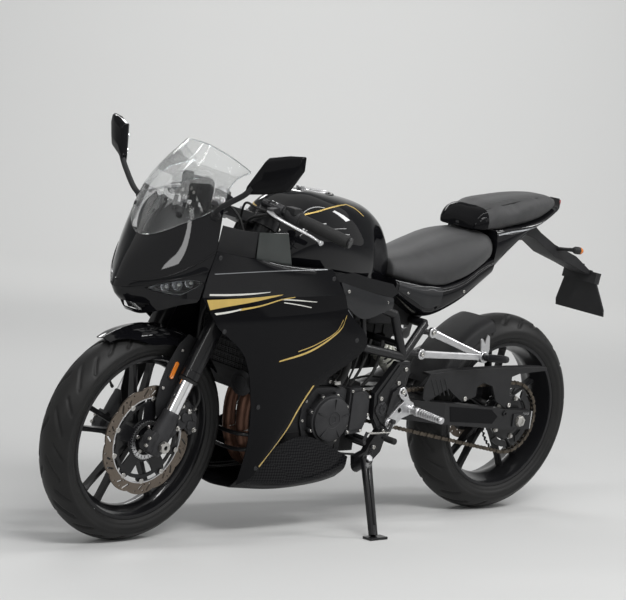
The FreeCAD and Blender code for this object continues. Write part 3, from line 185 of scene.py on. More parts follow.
def turned_metal(name, colour, second, centre, axis_matrix, roughness):
    """Metal with fine rings round a wheel's axle: centre and axes come from a bike-to-frame matrix."""
    mat = material(name, colour, roughness, 1.0)
    nodes, links = mat.node_tree.nodes, mat.node_tree.links
    shader = nodes["Principled BSDF"]
    place = nodes.new("ShaderNodeTexCoord")
    across = axis_matrix.to_3x3() @ V(0, 1, 0)
    offset = nodes.new("ShaderNodeVectorMath")
    offset.operation = "SUBTRACT"
    offset.inputs[1].default_value = axis_matrix @ centre
    flat = nodes.new("ShaderNodeVectorMath")
    flat.operation = "CROSS_PRODUCT"
    flat.inputs[1].default_value = across.normalized()
    length = nodes.new("ShaderNodeVectorMath")
    length.operation = "LENGTH"
    noise = nodes.new("ShaderNodeTexNoise")
    noise.noise_dimensions = "1D"
    noise.inputs["Scale"].default_value = 900
    noise.inputs["Detail"].default_value = 4
    ramp = two_tone(nodes, colour, second, 0.35, 0.7)
    bump = nodes.new("ShaderNodeBump")
    bump.inputs["Distance"].default_value = 0.00015
    links.new(place.outputs["Object"], offset.inputs[0])
    links.new(offset.outputs["Vector"], flat.inputs[0])
    links.new(flat.outputs["Vector"], length.inputs[0])
    links.new(length.outputs["Value"], noise.inputs["W"])
    links.new(noise.outputs["Fac"], ramp.inputs["Fac"])
    links.new(ramp.outputs["Color"], shader.inputs["Base Color"])
    links.new(noise.outputs["Fac"], bump.inputs["Height"])
    links.new(bump.outputs["Normal"], shader.inputs["Normal"])
    return mat


def glass_material(name, tint, opacity, roughness):
    """Clear sheet plastic or glass: mostly see-through, with a clear gloss."""
    mat = material(name, tint, roughness, Transmission_Weight=1.0, IOR=1.3)
    mat.node_tree.nodes["Principled BSDF"].inputs["Alpha"].default_value = opacity
    return mat


M = {
    "gloss": material("gloss_black", (0.0045, 0.0045, 0.0055), 0.16, 0.0, 1.0, grain=(6, 0.0007, "noise"),
                      Specular_IOR_Level=0.0, Coat_IOR=1.35),
    "tank": material("tank_black", (0.0045, 0.0045, 0.0055), 0.12, 0.0, 1.0, grain=(5, 0.0006, "noise"),
                     Specular_IOR_Level=0.0, Coat_IOR=1.37),
    "lower": material("satin_black", (0.0050, 0.0050, 0.0058), 0.30, 0.0, 0.45,
                      grain=(420, 0.00005, "noise"), Specular_IOR_Level=0.0, Coat_IOR=1.32),
    "matt": material("matt_plastic", (0.012, 0.012, 0.013), 0.58, grain=(1500, 0.00016, "cells"),
                     mottle=(30, (0.020, 0.020, 0.021), 0.5), Specular_IOR_Level=0.3),
    "rubber": material("soft_rubber", (0.011, 0.011, 0.011), 0.66, grain=(900, 0.00015, "noise"),
                       mottle=(50, (0.019, 0.019, 0.019), 0.6), Specular_IOR_Level=0.3),
    "tyre": material("tyre_rubber", (0.0070, 0.0070, 0.0073), 0.46, grain=(700, 0.00020, "noise"),
                     mottle=(14, (0.014, 0.0138, 0.0135), 0.5), Specular_IOR_Level=0.26),
    "rim": material("rim_black", (0.008, 0.008, 0.009), 0.34, 0.0, 0.35, grain=(300, 0.00012, "noise"),
                    Specular_IOR_Level=0.15),
    "frame": material("frame_black", (0.010, 0.010, 0.011), 0.38, 0.0, 0.25, grain=(260, 0.00015, "noise"),
                      Specular_IOR_Level=0.2),
    "cast": material("cast_dark", (0.030, 0.030, 0.032), 0.46, 0.45, grain=(650, 0.00026, "noise"),
                     mottle=(25, (0.048, 0.048, 0.050), 0.5), Specular_IOR_Level=0.3),
    "engine": material("engine_black", (0.014, 0.014, 0.015), 0.48, 0.25, grain=(650, 0.00028, "noise"),
                       mottle=(25, (0.026, 0.026, 0.027), 0.5), Specular_IOR_Level=0.3),
    "alloy": material("bare_alloy", (0.66, 0.66, 0.67), 0.30, 1.0, grain=(500, 0.00015, "noise"),
                      mottle=(40, (0.50, 0.50, 0.51), 0.6)),
    "steel": material("plain_steel", (0.56, 0.55, 0.53), 0.28, 1.0, grain=(400, 0.00010, "noise"),
                      mottle=(60, (0.40, 0.39, 0.37), 0.5)),
    "chrome": material("hard_chrome", (0.80, 0.80, 0.81), 0.07, 1.0, mottle=(20, (0.72, 0.72, 0.74), 0.4)),
    "header": material("hot_steel", (0.20, 0.105, 0.070), 0.44, 0.80, grain=(180, 0.0002, "noise"),
                       mottle=(9, (0.095, 0.048, 0.034), 0.55)),
    "silencer": material("silencer_black", (0.018, 0.018, 0.019), 0.40, 0.5, grain=(300, 0.0001, "noise"),
                         mottle=(16, (0.03, 0.03, 0.031), 0.5), Specular_IOR_Level=0.3),
    "chain": material("oiled_chain", (0.13, 0.11, 0.085), 0.38, 0.9, grain=(400, 0.0001, "noise"),
                      mottle=(80, (0.06, 0.05, 0.042), 0.5)),
    "satin": material("satin_grey", (0.016, 0.0165, 0.018), 0.34, 0.1, 0.25, grain=(900, 0.0001, "noise"),
                      Specular_IOR_Level=0.2),
    "panel": material("inner_panel", (0.026, 0.031, 0.029), 0.30, 0.0, 0.5, grain=(300, 0.0001, "noise"),
                      mottle=(12, (0.040, 0.047, 0.044), 0.6)),
    "gold": material("gold_stripe", (0.66, 0.47, 0.13), 0.32, 0.35, 0.5,
                     mottle=(30, (0.56, 0.39, 0.11), 0.6)),
    "white": material("white_stripe", (0.72, 0.71, 0.66), 0.35, 0.0, 0.5,
                      mottle=(30, (0.62, 0.61, 0.57), 0.6)),
    "edge_clear": glass_material("clear_edge", (0.70, 0.76, 0.78), 0.55, 0.05),
    # pale lines: the own colour of the lamp trims and gussets, and also painted highlights along the
    # fairing's and the tail's edges
    "edge": material("pale_edge_and_highlight", (0.34, 0.35, 0.36), 0.30, 0.5, mottle=(30, (0.26, 0.27, 0.28), 0.6)),
    "amber": material("amber_lens", (0.80, 0.22, 0.015), 0.12, 0.0, 1.0, grain=(500, 0.0008, "cells")),
    "red": material("red_lens", (0.42, 0.012, 0.012), 0.12, 0.0, 1.0, grain=(500, 0.0008, "cells")),
    "plate": material("blank_plate", (0.55, 0.56, 0.57), 0.40, 0.2, 0.2,
                      mottle=(14, (0.46, 0.47, 0.48), 0.6)),
    "spring": material("spring_pale", (0.74, 0.74, 0.66), 0.35, 0.0, 0.6,
                       mottle=(40, (0.62, 0.62, 0.54), 0.5)),
    "mirror": material("mirror_glass", (0.85, 0.87, 0.88), 0.02, 1.0, mottle=(5, (0.80, 0.82, 0.83), 0.4)),
    "display": material("display_dark", (0.010, 0.012, 0.016), 0.08, 0.0, 1.0,
                        mottle=(40, (0.02, 0.024, 0.03), 0.5)),
    "reflector": material("lamp_bowl", (0.60, 0.61, 0.63), 0.14, 1.0, grain=(260, 0.0012, "cells")),
    "screen": glass_material("clear_screen", (0.93, 0.95, 0.95), 0.55, 0.01),
    "lens": glass_material("clear_lens", (0.92, 0.94, 0.96), 0.8, 0.02),
}


def leather(name, colour, second):
    mat = material(name, colour, 0.55, grain=(620, 0.00030, "cells"), mottle=(22, second, 0.6),
                   Specular_IOR_Level=0.4)
    mat.node_tree.nodes["Principled BSDF"].inputs["Sheen Weight"].default_value = 0.12
    return mat


def weave(name, colour, second, cell):
    """Black composite cloth under clear coat: two sets of slanting threads that cross in squares."""
    mat = material(name, colour, 0.34, 0.0, 0.4, Specular_IOR_Level=0.0, Coat_IOR=1.32)
    nodes, links = mat.node_tree.nodes, mat.node_tree.links
    shader = nodes["Principled BSDF"]
    place = nodes.new("ShaderNodeTexCoord")
    turn = nodes.new("ShaderNodeMapping")
    turn.inputs["Rotation"].default_value = (0.4, math.radians(45), 0.2)
    check = nodes.new("ShaderNodeTexChecker")
    check.inputs["Scale"].default_value = 1 / cell
    check.inputs["Color1"].default_value = (*colour, 1)
    check.inputs["Color2"].default_value = (*second, 1)
    bump = nodes.new("ShaderNodeBump")
    bump.inputs["Distance"].default_value = 0.0004
    links.new(place.outputs["Object"], turn.inputs["Vector"])
    links.new(turn.outputs["Vector"], check.inputs["Vector"])
    links.new(check.outputs["Color"], shader.inputs["Base Color"])
    links.new(check.outputs["Fac"], bump.inputs["Height"])
    links.new(bump.outputs["Normal"], shader.inputs["Normal"])
    return mat


M["weave"] = weave("composite_weave", (0.006, 0.006, 0.007), (0.018, 0.018, 0.019), 0.006)
M["seat"] = leather("seat_grain", (0.026, 0.026, 0.027), (0.040, 0.040, 0.041))
BRONZE = ((0.215, 0.180, 0.148), (0.120, 0.100, 0.085))
M["front_disc"] = turned_metal("front_disc_face", *BRONZE, FRONT_AXLE, STEER, 0.36)
M["rear_disc"] = turned_metal("rear_disc_face", *BRONZE, REAR_AXLE, BIKE, 0.36)


# ---- helpers that make meshes, in bike axes -------------------------------------------------------------
def mesh_of(points, faces):
    mesh = bpy.data.meshes.new("part")
    mesh.from_pydata([tuple(p) for p in points], [], faces)
    mesh.validate()
    mesh.shade_smooth()
    return mesh


def joined(meshes):
    """One mesh of several; the ones handed in are used up."""
    bm = bmesh.new()
    for mesh in meshes:
        bm.from_mesh(mesh)
        bpy.data.meshes.remove(mesh)
    out = bpy.data.meshes.new("joined")
    bm.to_mesh(out)
    bm.free()
    out.shade_smooth()
    return out


def moved(mesh, matrix):
    mesh.transform(matrix)
    return mesh


def flipped(mesh):
    """A copy mirrored to the bike's other side."""
    copy = mesh.copy()
    copy.transform(Matrix.Scale(-1, 4, V(0, 1, 0)))
    copy.flip_normals()
    return copy


def both_sides(mesh):
    return joined([flipped(mesh), mesh])


def piece(name, mesh, body, mat, replaces=(), bevel=0.0, levels=0, angle=35.0, segments=2):
    """A mesh in bike axes becomes a piece that rides on a body, and may stand for CAD nodes."""
    mesh.transform(PLACES.get(body, BIKE))
    mesh.materials.clear()
    mesh.materials.append(M[mat])
    obj = bpy.data.objects.new(name, mesh)
    bpy.context.scene.collection.objects.link(obj)
    if bevel:
        mod = obj.modifiers.new("edges", "BEVEL")
        mod.width = bevel * MM
        mod.segments = segments
        mod.limit_method = "ANGLE"
        mod.angle_limit = math.radians(angle)
        mod.harden_normals = False
    if levels:
        mod = obj.modifiers.new("smooth", "SUBSURF")
        mod.levels = mod.render_levels = levels
    sharpen(mesh, angle)
    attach(obj, body)
    if replaces:
        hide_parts(*replaces)
    return obj


def sharpen(mesh, angle):
    """Edges that turn more than the angle stay sharp in smooth shading."""
    mesh.shade_smooth()
    mesh.set_sharp_from_angle(angle=math.radians(angle))


def lathe(profile, centre, segments=96, closed=False, shape=None):
    """Turns (radius, y) pairs round a wheel's axle; shape(radius, y, angle, k) may move a point."""
    points, faces = [], []
    count = len(profile)
    for i in range(segments):
        angle = 2 * math.pi * i / segments
        for k, (r, y) in enumerate(profile):
            if shape:
                r, y = shape(r, y, angle, k)
            points.append(V(centre.x + r * math.sin(angle), y, centre.z + r * math.cos(angle)))
    for i in range(segments):
        j = (i + 1) % segments
        for k in range(count if closed else count - 1):
            m = (k + 1) % count
            faces.append((i * count + k, j * count + k, j * count + m, i * count + m))
    mesh = mesh_of(points, faces)
    fix_normals(mesh)
    return mesh


def fix_normals(mesh):
    bm = bmesh.new()
    bm.from_mesh(mesh)
    bmesh.ops.remove_doubles(bm, verts=bm.verts, dist=0.001)
    bmesh.ops.recalc_face_normals(bm, faces=bm.faces)
    bm.to_mesh(mesh)
    bm.free()


def turned(profile, start, end, segments=40, closed=False):
    """Turns (distance along start-end, radius) pairs round that line: with closed ends, or as a ring."""
    axis = (end - start).normalized()
    side = axis.orthogonal().normalized()
    other = axis.cross(side)
    points, faces = [], []
    count = len(profile)
    for i in range(segments):
        a = 2 * math.pi * i / segments
        out = side * math.cos(a) + other * math.sin(a)
        points += [start + axis * along + out * radius for along, radius in profile]
    for i in range(segments):
        j = (i + 1) % segments
        for k in range(count if closed else count - 1):
            m = (k + 1) % count
            faces.append((i * count + k, i * count + m, j * count + m, j * count + k))
    if not closed:
        faces.append(tuple(i * count for i in range(segments)))
        faces.append(tuple(i * count + count - 1 for i in reversed(range(segments))))
    mesh = mesh_of(points, faces)
    fix_normals(mesh)
    return mesh


def rod(start, end, radius, segments=28, chamfer=1.0):
    length = (end - start).length
    return turned([(0, radius - chamfer), (chamfer, radius), (length - chamfer, radius),
                   (length, radius - chamfer)],
                  start, end, segments)


def pin(x, z, radius, y0, y1, segments=28, chamfer=1.0):
    return rod(V(x, y0, z), V(x, y1, z), radius, segments, chamfer)


def box(x0, x1, y0, y1, z0, z1):
    points = [V(x, y, z) for x in (x0, x1) for y in (y0, y1) for z in (z0, z1)]
    faces = [(0, 1, 3, 2), (4, 6, 7, 5), (0, 4, 5, 1), (2, 3, 7, 6), (0, 2, 6, 4), (1, 5, 7, 3)]
    return mesh_of(points, faces)


def curve_mesh(points, radius, order=3, cyclic=False, resolution=6, sides=6):
    """A round tube along a smooth line that has the points as its control points."""
    data = bpy.data.curves.new("line", "CURVE")
    data.dimensions = "3D"
    data.bevel_depth = radius
    data.bevel_resolution = sides
    data.use_fill_caps = True
    data.resolution_u = resolution
    spline = data.splines.new("NURBS")
    spline.points.add(len(points) - 1)
    for slot, p in zip(spline.points, points):
        slot.co = (*p, 1)
    spline.order_u = order
    spline.use_endpoint_u = True
    spline.use_cyclic_u = cyclic
    holder = bpy.data.objects.new("line", data)
    mesh = bpy.data.meshes.new_from_object(holder)
    bpy.data.objects.remove(holder)
    bpy.data.curves.remove(data)
    return mesh


def plate(outline, y0, y1, holes=(), edge=0.6, smooth_outline=False):
    """A flat plate across the bike from (x, z) points, with holes as point lists and rounded edges."""
    data = bpy.data.curves.new("plate", "CURVE")
    data.dimensions = "2D"
    data.fill_mode = "BOTH"
    data.extrude = abs(y1 - y0) / 2 - edge
    data.bevel_depth = edge
    data.bevel_resolution = 1
    data.offset = -edge
    data.resolution_u = 5
    for loop in [outline] + list(holes):
        spline = data.splines.new("NURBS" if smooth_outline and loop is outline else "POLY")
        spline.points.add(len(loop) - 1)
        for slot, (x, z) in zip(spline.points, loop):
            slot.co = (x, z, 0, 1)
        spline.use_cyclic_u = True
        if smooth_outline and loop is outline:
            spline.order_u = 3
    holder = bpy.data.objects.new("plate", data)
    mesh = bpy.data.meshes.new_from_object(holder)
    bpy.data.objects.remove(holder)
    bpy.data.curves.remove(data)
    middle = (y0 + y1) / 2
    mesh.transform(Matrix(((1, 0, 0, 0), (0, 0, -1, middle), (0, 1, 0, 0), (0, 0, 0, 1))))
    return mesh


def cut(mesh, cutter):
    """The mesh without what the cutter covers; both are used up."""
    body = bpy.data.objects.new("body", mesh)
    tool = bpy.data.objects.new("tool", cutter)
    for obj in (body, tool):
        bpy.context.scene.collection.objects.link(obj)
    mod = body.modifiers.new("cut", "BOOLEAN")
    mod.operation = "DIFFERENCE"
    mod.solver = "EXACT"
    mod.object = tool
    graph = bpy.context.evaluated_depsgraph_get()
    out = bpy.data.meshes.new_from_object(body.evaluated_get(graph))
    bpy.data.objects.remove(body)
    bpy.data.objects.remove(tool)
    return out


def angles(count, shift=0.0):
    """The angles of equal steps round a circle, the first one moved on by a share of a step."""
    return [2 * math.pi * (k + shift) / count for k in range(count)]


def polar(centre, radius, angle):
    """The (x, z) point at a radius and an angle from a wheel's centre."""
    return centre.x + radius * math.cos(angle), centre.z + radius * math.sin(angle)


def circle(x, z, radius, count=24):
    return [polar(V(x, 0, z), radius, a) for a in angles(count)]


def ring_of(centre, side, other, count):
    """Points round a centre: an ellipse with the two vectors as its half axes."""
    return [centre + side * math.cos(a) + other * math.sin(a) for a in angles(count)]


def heading(line, i):
    """The direction of a line of points at its i-th point."""
    return (line[min(i + 1, len(line) - 1)] - line[max(i - 1, 0)]).normalized()


def helix(start, end, side, radius, turns, steps, first, last):
    """A coil round the line from start to end, kept off the two ends; side is where it begins."""
    ahead = (end - start).normalized()
    other = ahead.cross(side)
    span_length = (end - start).length - first - last
    count = int(turns * steps)
    return [start + ahead * (first + span_length * k / count)
            + (side * math.cos(a) + other * math.sin(a)) * radius
            for k, a in ((k, 2 * math.pi * turns * k / count) for k in range(count + 1))]


def at_angle(centre, angle):
    """Turns something round the left-right axis and puts it at a centre."""
    return Matrix.Translation(centre) @ Matrix.Rotation(angle, 4, V(0, 1, 0))


def toothed(centre, teeth, tip_r, root_r):
    """The outline of a sensor ring with square teeth."""
    return [polar(centre, tip_r if part in (0, 1) else root_r, 2 * math.pi * (k + part / 4) / teeth)
            for k in range(teeth) for part in range(4)]


def bolt(at, out, radius=4.0, head=4.0, kind="socket"):
    """A screw head standing on a face: a socket head with its hexagon, or a plain hexagon."""
    out = out.normalized()
    if kind == "hex":
        side = out.orthogonal().normalized()
        other = out.cross(side)
        points, faces = [], []
        for along, r in ((0, radius), (head - 0.6, radius), (head, radius - 0.6)):
            points += [at + out * along
                       + (side * math.cos(math.pi * k / 3) + other * math.sin(math.pi * k / 3)) * r
                       for k in range(6)]
        for row in (0, 6):
            faces += [(row + k, row + (k + 1) % 6, row + 6 + (k + 1) % 6, row + 6 + k) for k in range(6)]
        faces.append(tuple(range(12, 18)))
        washer = turned([(0, radius + 1.2), (0.8, radius + 1.6), (1.2, radius + 1.4)], at, at + out, 24)
        mesh = mesh_of(points, faces)
        fix_normals(mesh)
        return joined([mesh, washer])
    inner = radius * 0.52
    return turned([(0, radius), (head - 0.7, radius), (head, radius - 0.7), (head, inner),
                   (head - 2, inner - 0.2)],
                  at, at + out, 18)


def bolts(name, body, spots, mat="steel", slot="steel", radius=4.0, head=4.0, kind="socket"):
    """Screws at (point, outward direction) pairs, joined into one piece."""
    meshes = [bolt(V(*at), V(*out), radius, head, kind) for at, out in spots]
    return piece(name, joined(meshes), body, mat, angle=40)


def bolts_each_side(name, spots, **look):
    """Screws on the left and the same mirrored on the right, as two pieces of the chassis."""
    bolts(name + "_left", "chassis", spots, **look)
    bolts(name + "_right", "chassis", [((x, -y, z), (a, -b, c)) for (x, y, z), (a, b, c) in spots], **look)


# ---- smooth skins over coarse grids ---------------------------------------------------------------------
def through(points, steps, breaks=()):
    """A smooth line through points with steps pieces between each two; it may turn sharply at the breaks."""
    out = []
    last = len(points) - 1
    for i in range(last):
        a, b = points[i], points[i + 1]
        before = points[i - 1] if i > 0 and i not in breaks else a * 2 - b
        after = points[i + 2] if i + 2 <= last and i + 1 not in breaks else b * 2 - a
        for k in range(steps):
            t = k / steps
            out.append(a * (1 + t * t * (2 * t - 3)) + b * (t * t * (3 - 2 * t))
                       + (b - before) * (0.5 * t * (t * (t - 2) + 1)) + (after - a) * (0.5 * t * t * (t - 1)))
    out.append(points[last])
    return out


def smooth_grid(grid, steps, row_breaks=(), column_breaks=()):
    """A fine grid through the points of a coarse one, steps pieces a cell both ways."""
    columns = [through(list(column), steps, row_breaks) for column in zip(*grid)]
    return [through(list(row), steps, column_breaks) for row in zip(*columns)]


def grid_normals(grid):
    rows, cols = len(grid), len(grid[0])
    out = []
    for i in range(rows):
        line = []
        for j in range(cols):
            down = grid[min(i + 1, rows - 1)][j] - grid[max(i - 1, 0)][j]
            along = grid[i][min(j + 1, cols - 1)] - grid[i][max(j - 1, 0)]
            line.append(down.cross(along).normalized())
        out.append(line)
    return out


def skin(grid, wall, skip=()):
    """A sheet over a fine grid with a real wall, laid on the side away from the grid's normals."""
    rows, cols = len(grid), len(grid[0])
    normals = grid_normals(grid)
    outer = [p for row in grid for p in row]
    inner = [p - n * wall for row, line in zip(grid, normals) for p, n in zip(row, line)]
    count = len(outer)
    cells = {(i, j) for i in range(rows - 1) for j in range(cols - 1)} - set(skip)
    faces = []
    for i, j in sorted(cells):
        corner = [i * cols + j, i * cols + j + 1, (i + 1) * cols + j + 1, (i + 1) * cols + j]
        faces.append(tuple(reversed(corner)))
        faces.append(tuple(count + c for c in corner))
        for k, cell in enumerate(((i - 1, j), (i, j + 1), (i + 1, j), (i, j - 1))):
            if cell not in cells:
                a, b = corner[k], corner[(k + 1) % 4]
                faces.append((a, b, b + count, a + count))
    mesh = mesh_of(outer + inner, faces)
    bm = bmesh.new()
    bm.from_mesh(mesh)
    bmesh.ops.delete(bm, geom=[v for v in bm.verts if not v.link_faces], context="VERTS")
    bmesh.ops.remove_doubles(bm, verts=bm.verts, dist=0.01)
    bmesh.ops.recalc_face_normals(bm, faces=bm.faces)
    bm.to_mesh(mesh)
    bm.free()
    return mesh


def mirrored_rows(rows):
    """Rows given from the middle outwards become whole rows, right to left."""
    out = []
    for row in rows:
        left = [V(*p) for p in row]
        out.append([V(p.x, -p.y, p.z) for p in reversed(left[1:])] + left)
    return out


def span(front, rear, columns, bulge):
    out = []
    for a, b in zip(front, rear):
        line = []
        for j in range(columns):
            t = j / (columns - 1)
            line.append(V(*a) * (1 - t) + V(*b) * t + V(0, bulge * 4 * t * (1 - t), 0))
        out.append(line)
    return out


def loft(rings, cap=True):
    """A closed skin through rings of equally many points."""
    points = [p for ring in rings for p in ring]
    count = len(rings[0])
    faces = []
    for i in range(len(rings) - 1):
        for k in range(count):
            m = (k + 1) % count
            faces.append((i * count + k, (i + 1) * count + k, (i + 1) * count + m, i * count + m))
    if cap:
        faces.append(tuple(range(count)))
        faces.append(tuple(reversed(range((len(rings) - 1) * count, len(rings) * count))))
    mesh = mesh_of(points, faces)
    fix_normals(mesh)
    return mesh


def smooth_loft(rings, steps, around=4, breaks=(), corners=()):
    """A loft through few rings, made fine along its length and round each ring."""
    count = len(rings[0])
    lines = [through([ring[k] for ring in rings], steps, breaks) for k in range(count)]
    fine = []
    for i in range(len(lines[0])):
        ring = [line[i] for line in lines]
        pad = ring[-2:] + ring + ring[:3]
        shifted = tuple(c + 2 for c in corners) + tuple(c + 2 + count for c in corners)
        fine.append(through(pad, around, shifted)[2 * around:(2 + count) * around])
    return loft(fine)


def half_section(x, half, low, high, shape, tilt=0.0):
    left = [V(x - tilt * (high - low) * v, half * u, low + (high - low) * v) for u, v in shape]
    return left + [V(p.x, -p.y, p.z) for p in reversed(left) if p.y > 0.01]


def surface_of(mesh):
    """A search tree over a mesh that is still in bike axes."""
    return BVHTree.FromPolygons([v.co.copy() for v in mesh.vertices],
                                [tuple(p.vertices) for p in mesh.polygons])


def onto(tree, x, z, side=1, lift=0.4):
    """The point of a skin seen from the bike's side at (x, z), lifted off it a little."""
    hit, normal, _, _ = tree.ray_cast(V(x, 500 * side, z), V(0, -side, 0))
    if hit is None:
        return None
    if normal.y * side < 0:
        normal = -normal
    return hit + normal * lift


def band(tree, upper, lower, side=1, steps=14, across=3, lift=0.5):
    """A thin stripe laid on a skin between two (x, z) lines."""
    top = through([V(x, 0, z) for x, z in upper], steps)
    low = through([V(x, 0, z) for x, z in lower], steps)
    rows = []
    for t in range(across + 1):
        row = [a.lerp(b, t / across) for a, b in zip(top, low)]
        rows.append([onto(tree, p.x, p.z, side, lift) for p in row])
    rows = [list(line) for line in zip(*rows) if all(line)]
    points = [p for line in rows for p in line]
    width = across + 1
    faces = [(i * width + k, i * width + k + 1, (i + 1) * width + k + 1, (i + 1) * width + k)
             for i in range(len(rows) - 1) for k in range(across)]
    mesh = mesh_of(points, faces)
    bm = bmesh.new()
    bm.from_mesh(mesh)
    bmesh.ops.recalc_face_normals(bm, faces=bm.faces)
    bmesh.ops.solidify(bm, geom=bm.faces[:], thickness=0.25)
    bm.to_mesh(mesh)
    bm.free()
    return mesh


# ---- wheels ----------------------------------------------------------------------------------------------
RIM_R, BEAD_R, WELL_R = 226.0, 219.0, 198.0
HUB_R = 38.0
SPOKE_PAIRS = 5
SPOKE_SPREAD = math.radians(9.0)
FRONT_TYRE_HALF, FRONT_TYRE_DROP, FRONT_RIM_HALF, FRONT_HUB_HALF = 55, 30, 44, 50
REAR_TYRE_HALF, REAR_TYRE_DROP, REAR_RIM_HALF, REAR_HUB_HALF = 75, 43, 62, 70
TREAD_PERIODS, GROOVE_DEPTH = 14, 4.2
TREAD_STEPS, TYRE_SEGMENTS = 34, 640
SENSOR_TEETH = 48
# brake discs: outer and inner radius, and the waves round the edge
FRONT_DISC_R, FRONT_DISC_HOLE_R, FRONT_WAVES = 150, 116, 10
REAR_DISC_R, REAR_DISC_HOLE_R, REAR_WAVES = 110, 79, 12


def tyre(name, body, node, centre, outer_r, half, drop, rim_half, periods):
    """A road tyre: round crown, ribbed side walls, and slanting tread grooves cut into the mesh."""
    shoulder = outer_r - drop
    sag = (half * half + drop * drop) / (2 * drop)
    crown = []
    reach = math.asin(min(half / sag, 1.0)) if drop < half else math.pi - math.asin(min(half / sag, 1.0))
    for k in range(TREAD_STEPS + 1):
        a = -reach + 2 * reach * k / TREAD_STEPS
        crown.append((outer_r - sag + sag * math.cos(a), sag * math.sin(a)))
    wall = [(shoulder - 6, half - 0.4), (shoulder - 9, half - 1.6), (shoulder - 12, half - 0.8),
            (shoulder - (shoulder - RIM_R) * 0.5, half - 2.0), (RIM_R + 15, half - 4.5),
            (RIM_R + 12, rim_half + 5.4),
            (RIM_R + 8, rim_half + 5.6), (RIM_R + 6, rim_half + 3.2), (RIM_R + 0.8, rim_half + 0.4)]
    profile = [(r, -y) for r, y in reversed(wall)] + crown + wall
    first = len(wall)
    last = first + TREAD_STEPS

    def groove(r, y, angle, k):
        if not first < k < last:
            return r, y
        u = angle * periods / (2 * math.pi) + (0.25 if y > 0 else 0.0)
        a = abs(y / half)
        depth = 0.0
        for shift, slant, low, high, width in ((0.0, 0.55, 0.10, 0.78, 0.075),
                                               (0.45, 0.38, 0.42, 0.93, 0.055)):
            if low < a < high:
                t = (u + shift - slant * a - 0.25 * a * a) % 1.0
                off = min(t, 1 - t) / width
                ends = min((a - low) / 0.06, (high - a) / 0.06, 1.0)
                depth = max(depth, max(0.0, 1 - off * off) ** 0.5 * ends if off < 1 else 0.0)
        sunk = GROOVE_DEPTH * depth
        lean = math.asin(max(-1.0, min(1.0, y / sag)))
        return r - sunk * math.cos(lean), y - sunk * math.sin(lean)
    mesh = lathe(profile, centre, TYRE_SEGMENTS, False, groove)
    piece(name, mesh, body, "tyre", (node,), angle=60)


def rounded_ring(x, y, z, wide, deep, corner=0.35):
    """A spoke's section across z: eight points of a rounded rectangle, wide in x and deep in y."""
    a, b = wide / 2, deep / 2
    c = corner * min(a, b)
    return [V(x + a, y - b + c, z), V(x + a, y + b - c, z), V(x + a - c, y + b, z), V(x - a + c, y + b, z),
            V(x - a, y + b - c, z), V(x - a, y - b + c, z), V(x - a + c, y - b, z), V(x + a - c, y - b, z)]


def wheel_rim(name, body, node, centre, half, hub_half):
    """A cast rim with its hub, its pairs of spokes, the webs between them and a valve."""
    inside = half - 7
    barrel = [(RIM_R - 0.3, half), (RIM_R - 1, half - 4), (RIM_R - 6, half - 7.2),
              (BEAD_R - 1, inside - 1), (BEAD_R - 1, inside - 14), (WELL_R + 8, 13), (WELL_R + 7, 0),
              (WELL_R + 8, -13), (BEAD_R - 1, -inside + 14), (BEAD_R - 1, -inside + 1),
              (RIM_R - 6, -half + 7.2), (RIM_R - 1, -half + 4), (RIM_R - 0.3, -half),
              (RIM_R - 3, -half - 0.8), (RIM_R - 10, -half + 0.5), (BEAD_R - 8, -inside + 5),
              (BEAD_R - 9, -inside + 14), (WELL_R + 1, -13), (WELL_R - 1, -8), (WELL_R - 1, 8),
              (WELL_R + 1, 13), (BEAD_R - 9, inside - 14), (BEAD_R - 8, inside - 5),
              (RIM_R - 10, half - 0.5), (RIM_R - 3, half + 0.8)]
    meshes = [lathe(barrel, centre, 180, True)]
    hub = [(12, hub_half), (30, hub_half), (34, hub_half - 3), (34, hub_half - 14), (HUB_R, hub_half - 20),
           (HUB_R, -hub_half + 20),
           (34, -hub_half + 14), (34, -hub_half + 3), (30, -hub_half), (12, -hub_half)]
    meshes.append(lathe(hub, centre, 64, True))
    sections = [(30, 22, 46), (52, 17, 40), (95, 13, 33), (150, 12, 28), (185, 14, 26), (203, 22, 28)]
    for k in range(SPOKE_PAIRS):
        for turn in (-SPOKE_SPREAD, SPOKE_SPREAD):
            rings = [rounded_ring(0, 0, z, wide, deep, 0.7) for z, wide, deep in sections]
            spoke = loft(rings)
            angle = 2 * math.pi * k / SPOKE_PAIRS + turn
            spoke.transform(at_angle(centre, angle))
            meshes.append(spoke)
        angle = 2 * math.pi * k / SPOKE_PAIRS
        web = loft([rounded_ring(0, 0, z, wide, 20, 0.6) for z, wide in ((30, 22), (60, 16), (84, 7))])
        web.transform(at_angle(centre, angle))
        meshes.append(web)
    piece(name, joined(meshes), body, "rim", (node,), angle=38)
    stem = rod(centre + V(0, 8, WELL_R - 22), centre + V(0, 8, WELL_R + 2), 3.2)
    cap = rod(centre + V(0, 8, WELL_R - 30), centre + V(0, 8, WELL_R - 21), 4.4)
    spin = at_angle(centre, math.pi / SPOKE_PAIRS) @ Matrix.Translation(-centre)
    piece(name + "_valve", moved(joined([stem, cap]), spin), body, "rubber")


def disc_outline(centre, radius, waves, height, count=240):
    """A disc's edge with shallow dips between its waves."""
    return [polar(centre, radius - height * (1 - abs(math.sin(a * waves / 2)) ** 0.6), a)
            for a in angles(count)]


def slot_hole(centre, r, angle, long, wide, slant):
    """A round-ended slot in a disc, its middle at (r, angle), slanting from the radius."""
    cx, cz = polar(centre, r, angle)
    along = angle + slant
    out = []
    for end, base in ((1, -math.pi / 2), (-1, math.pi / 2)):
        ex, ez = cx + end * long / 2 * math.cos(along), cz + end * long / 2 * math.sin(along)
        out += [(ex + wide / 2 * math.cos(along + base + math.pi * k / 5),
                 ez + wide / 2 * math.sin(along + base + math.pi * k / 5)) for k in range(6)]
    return out


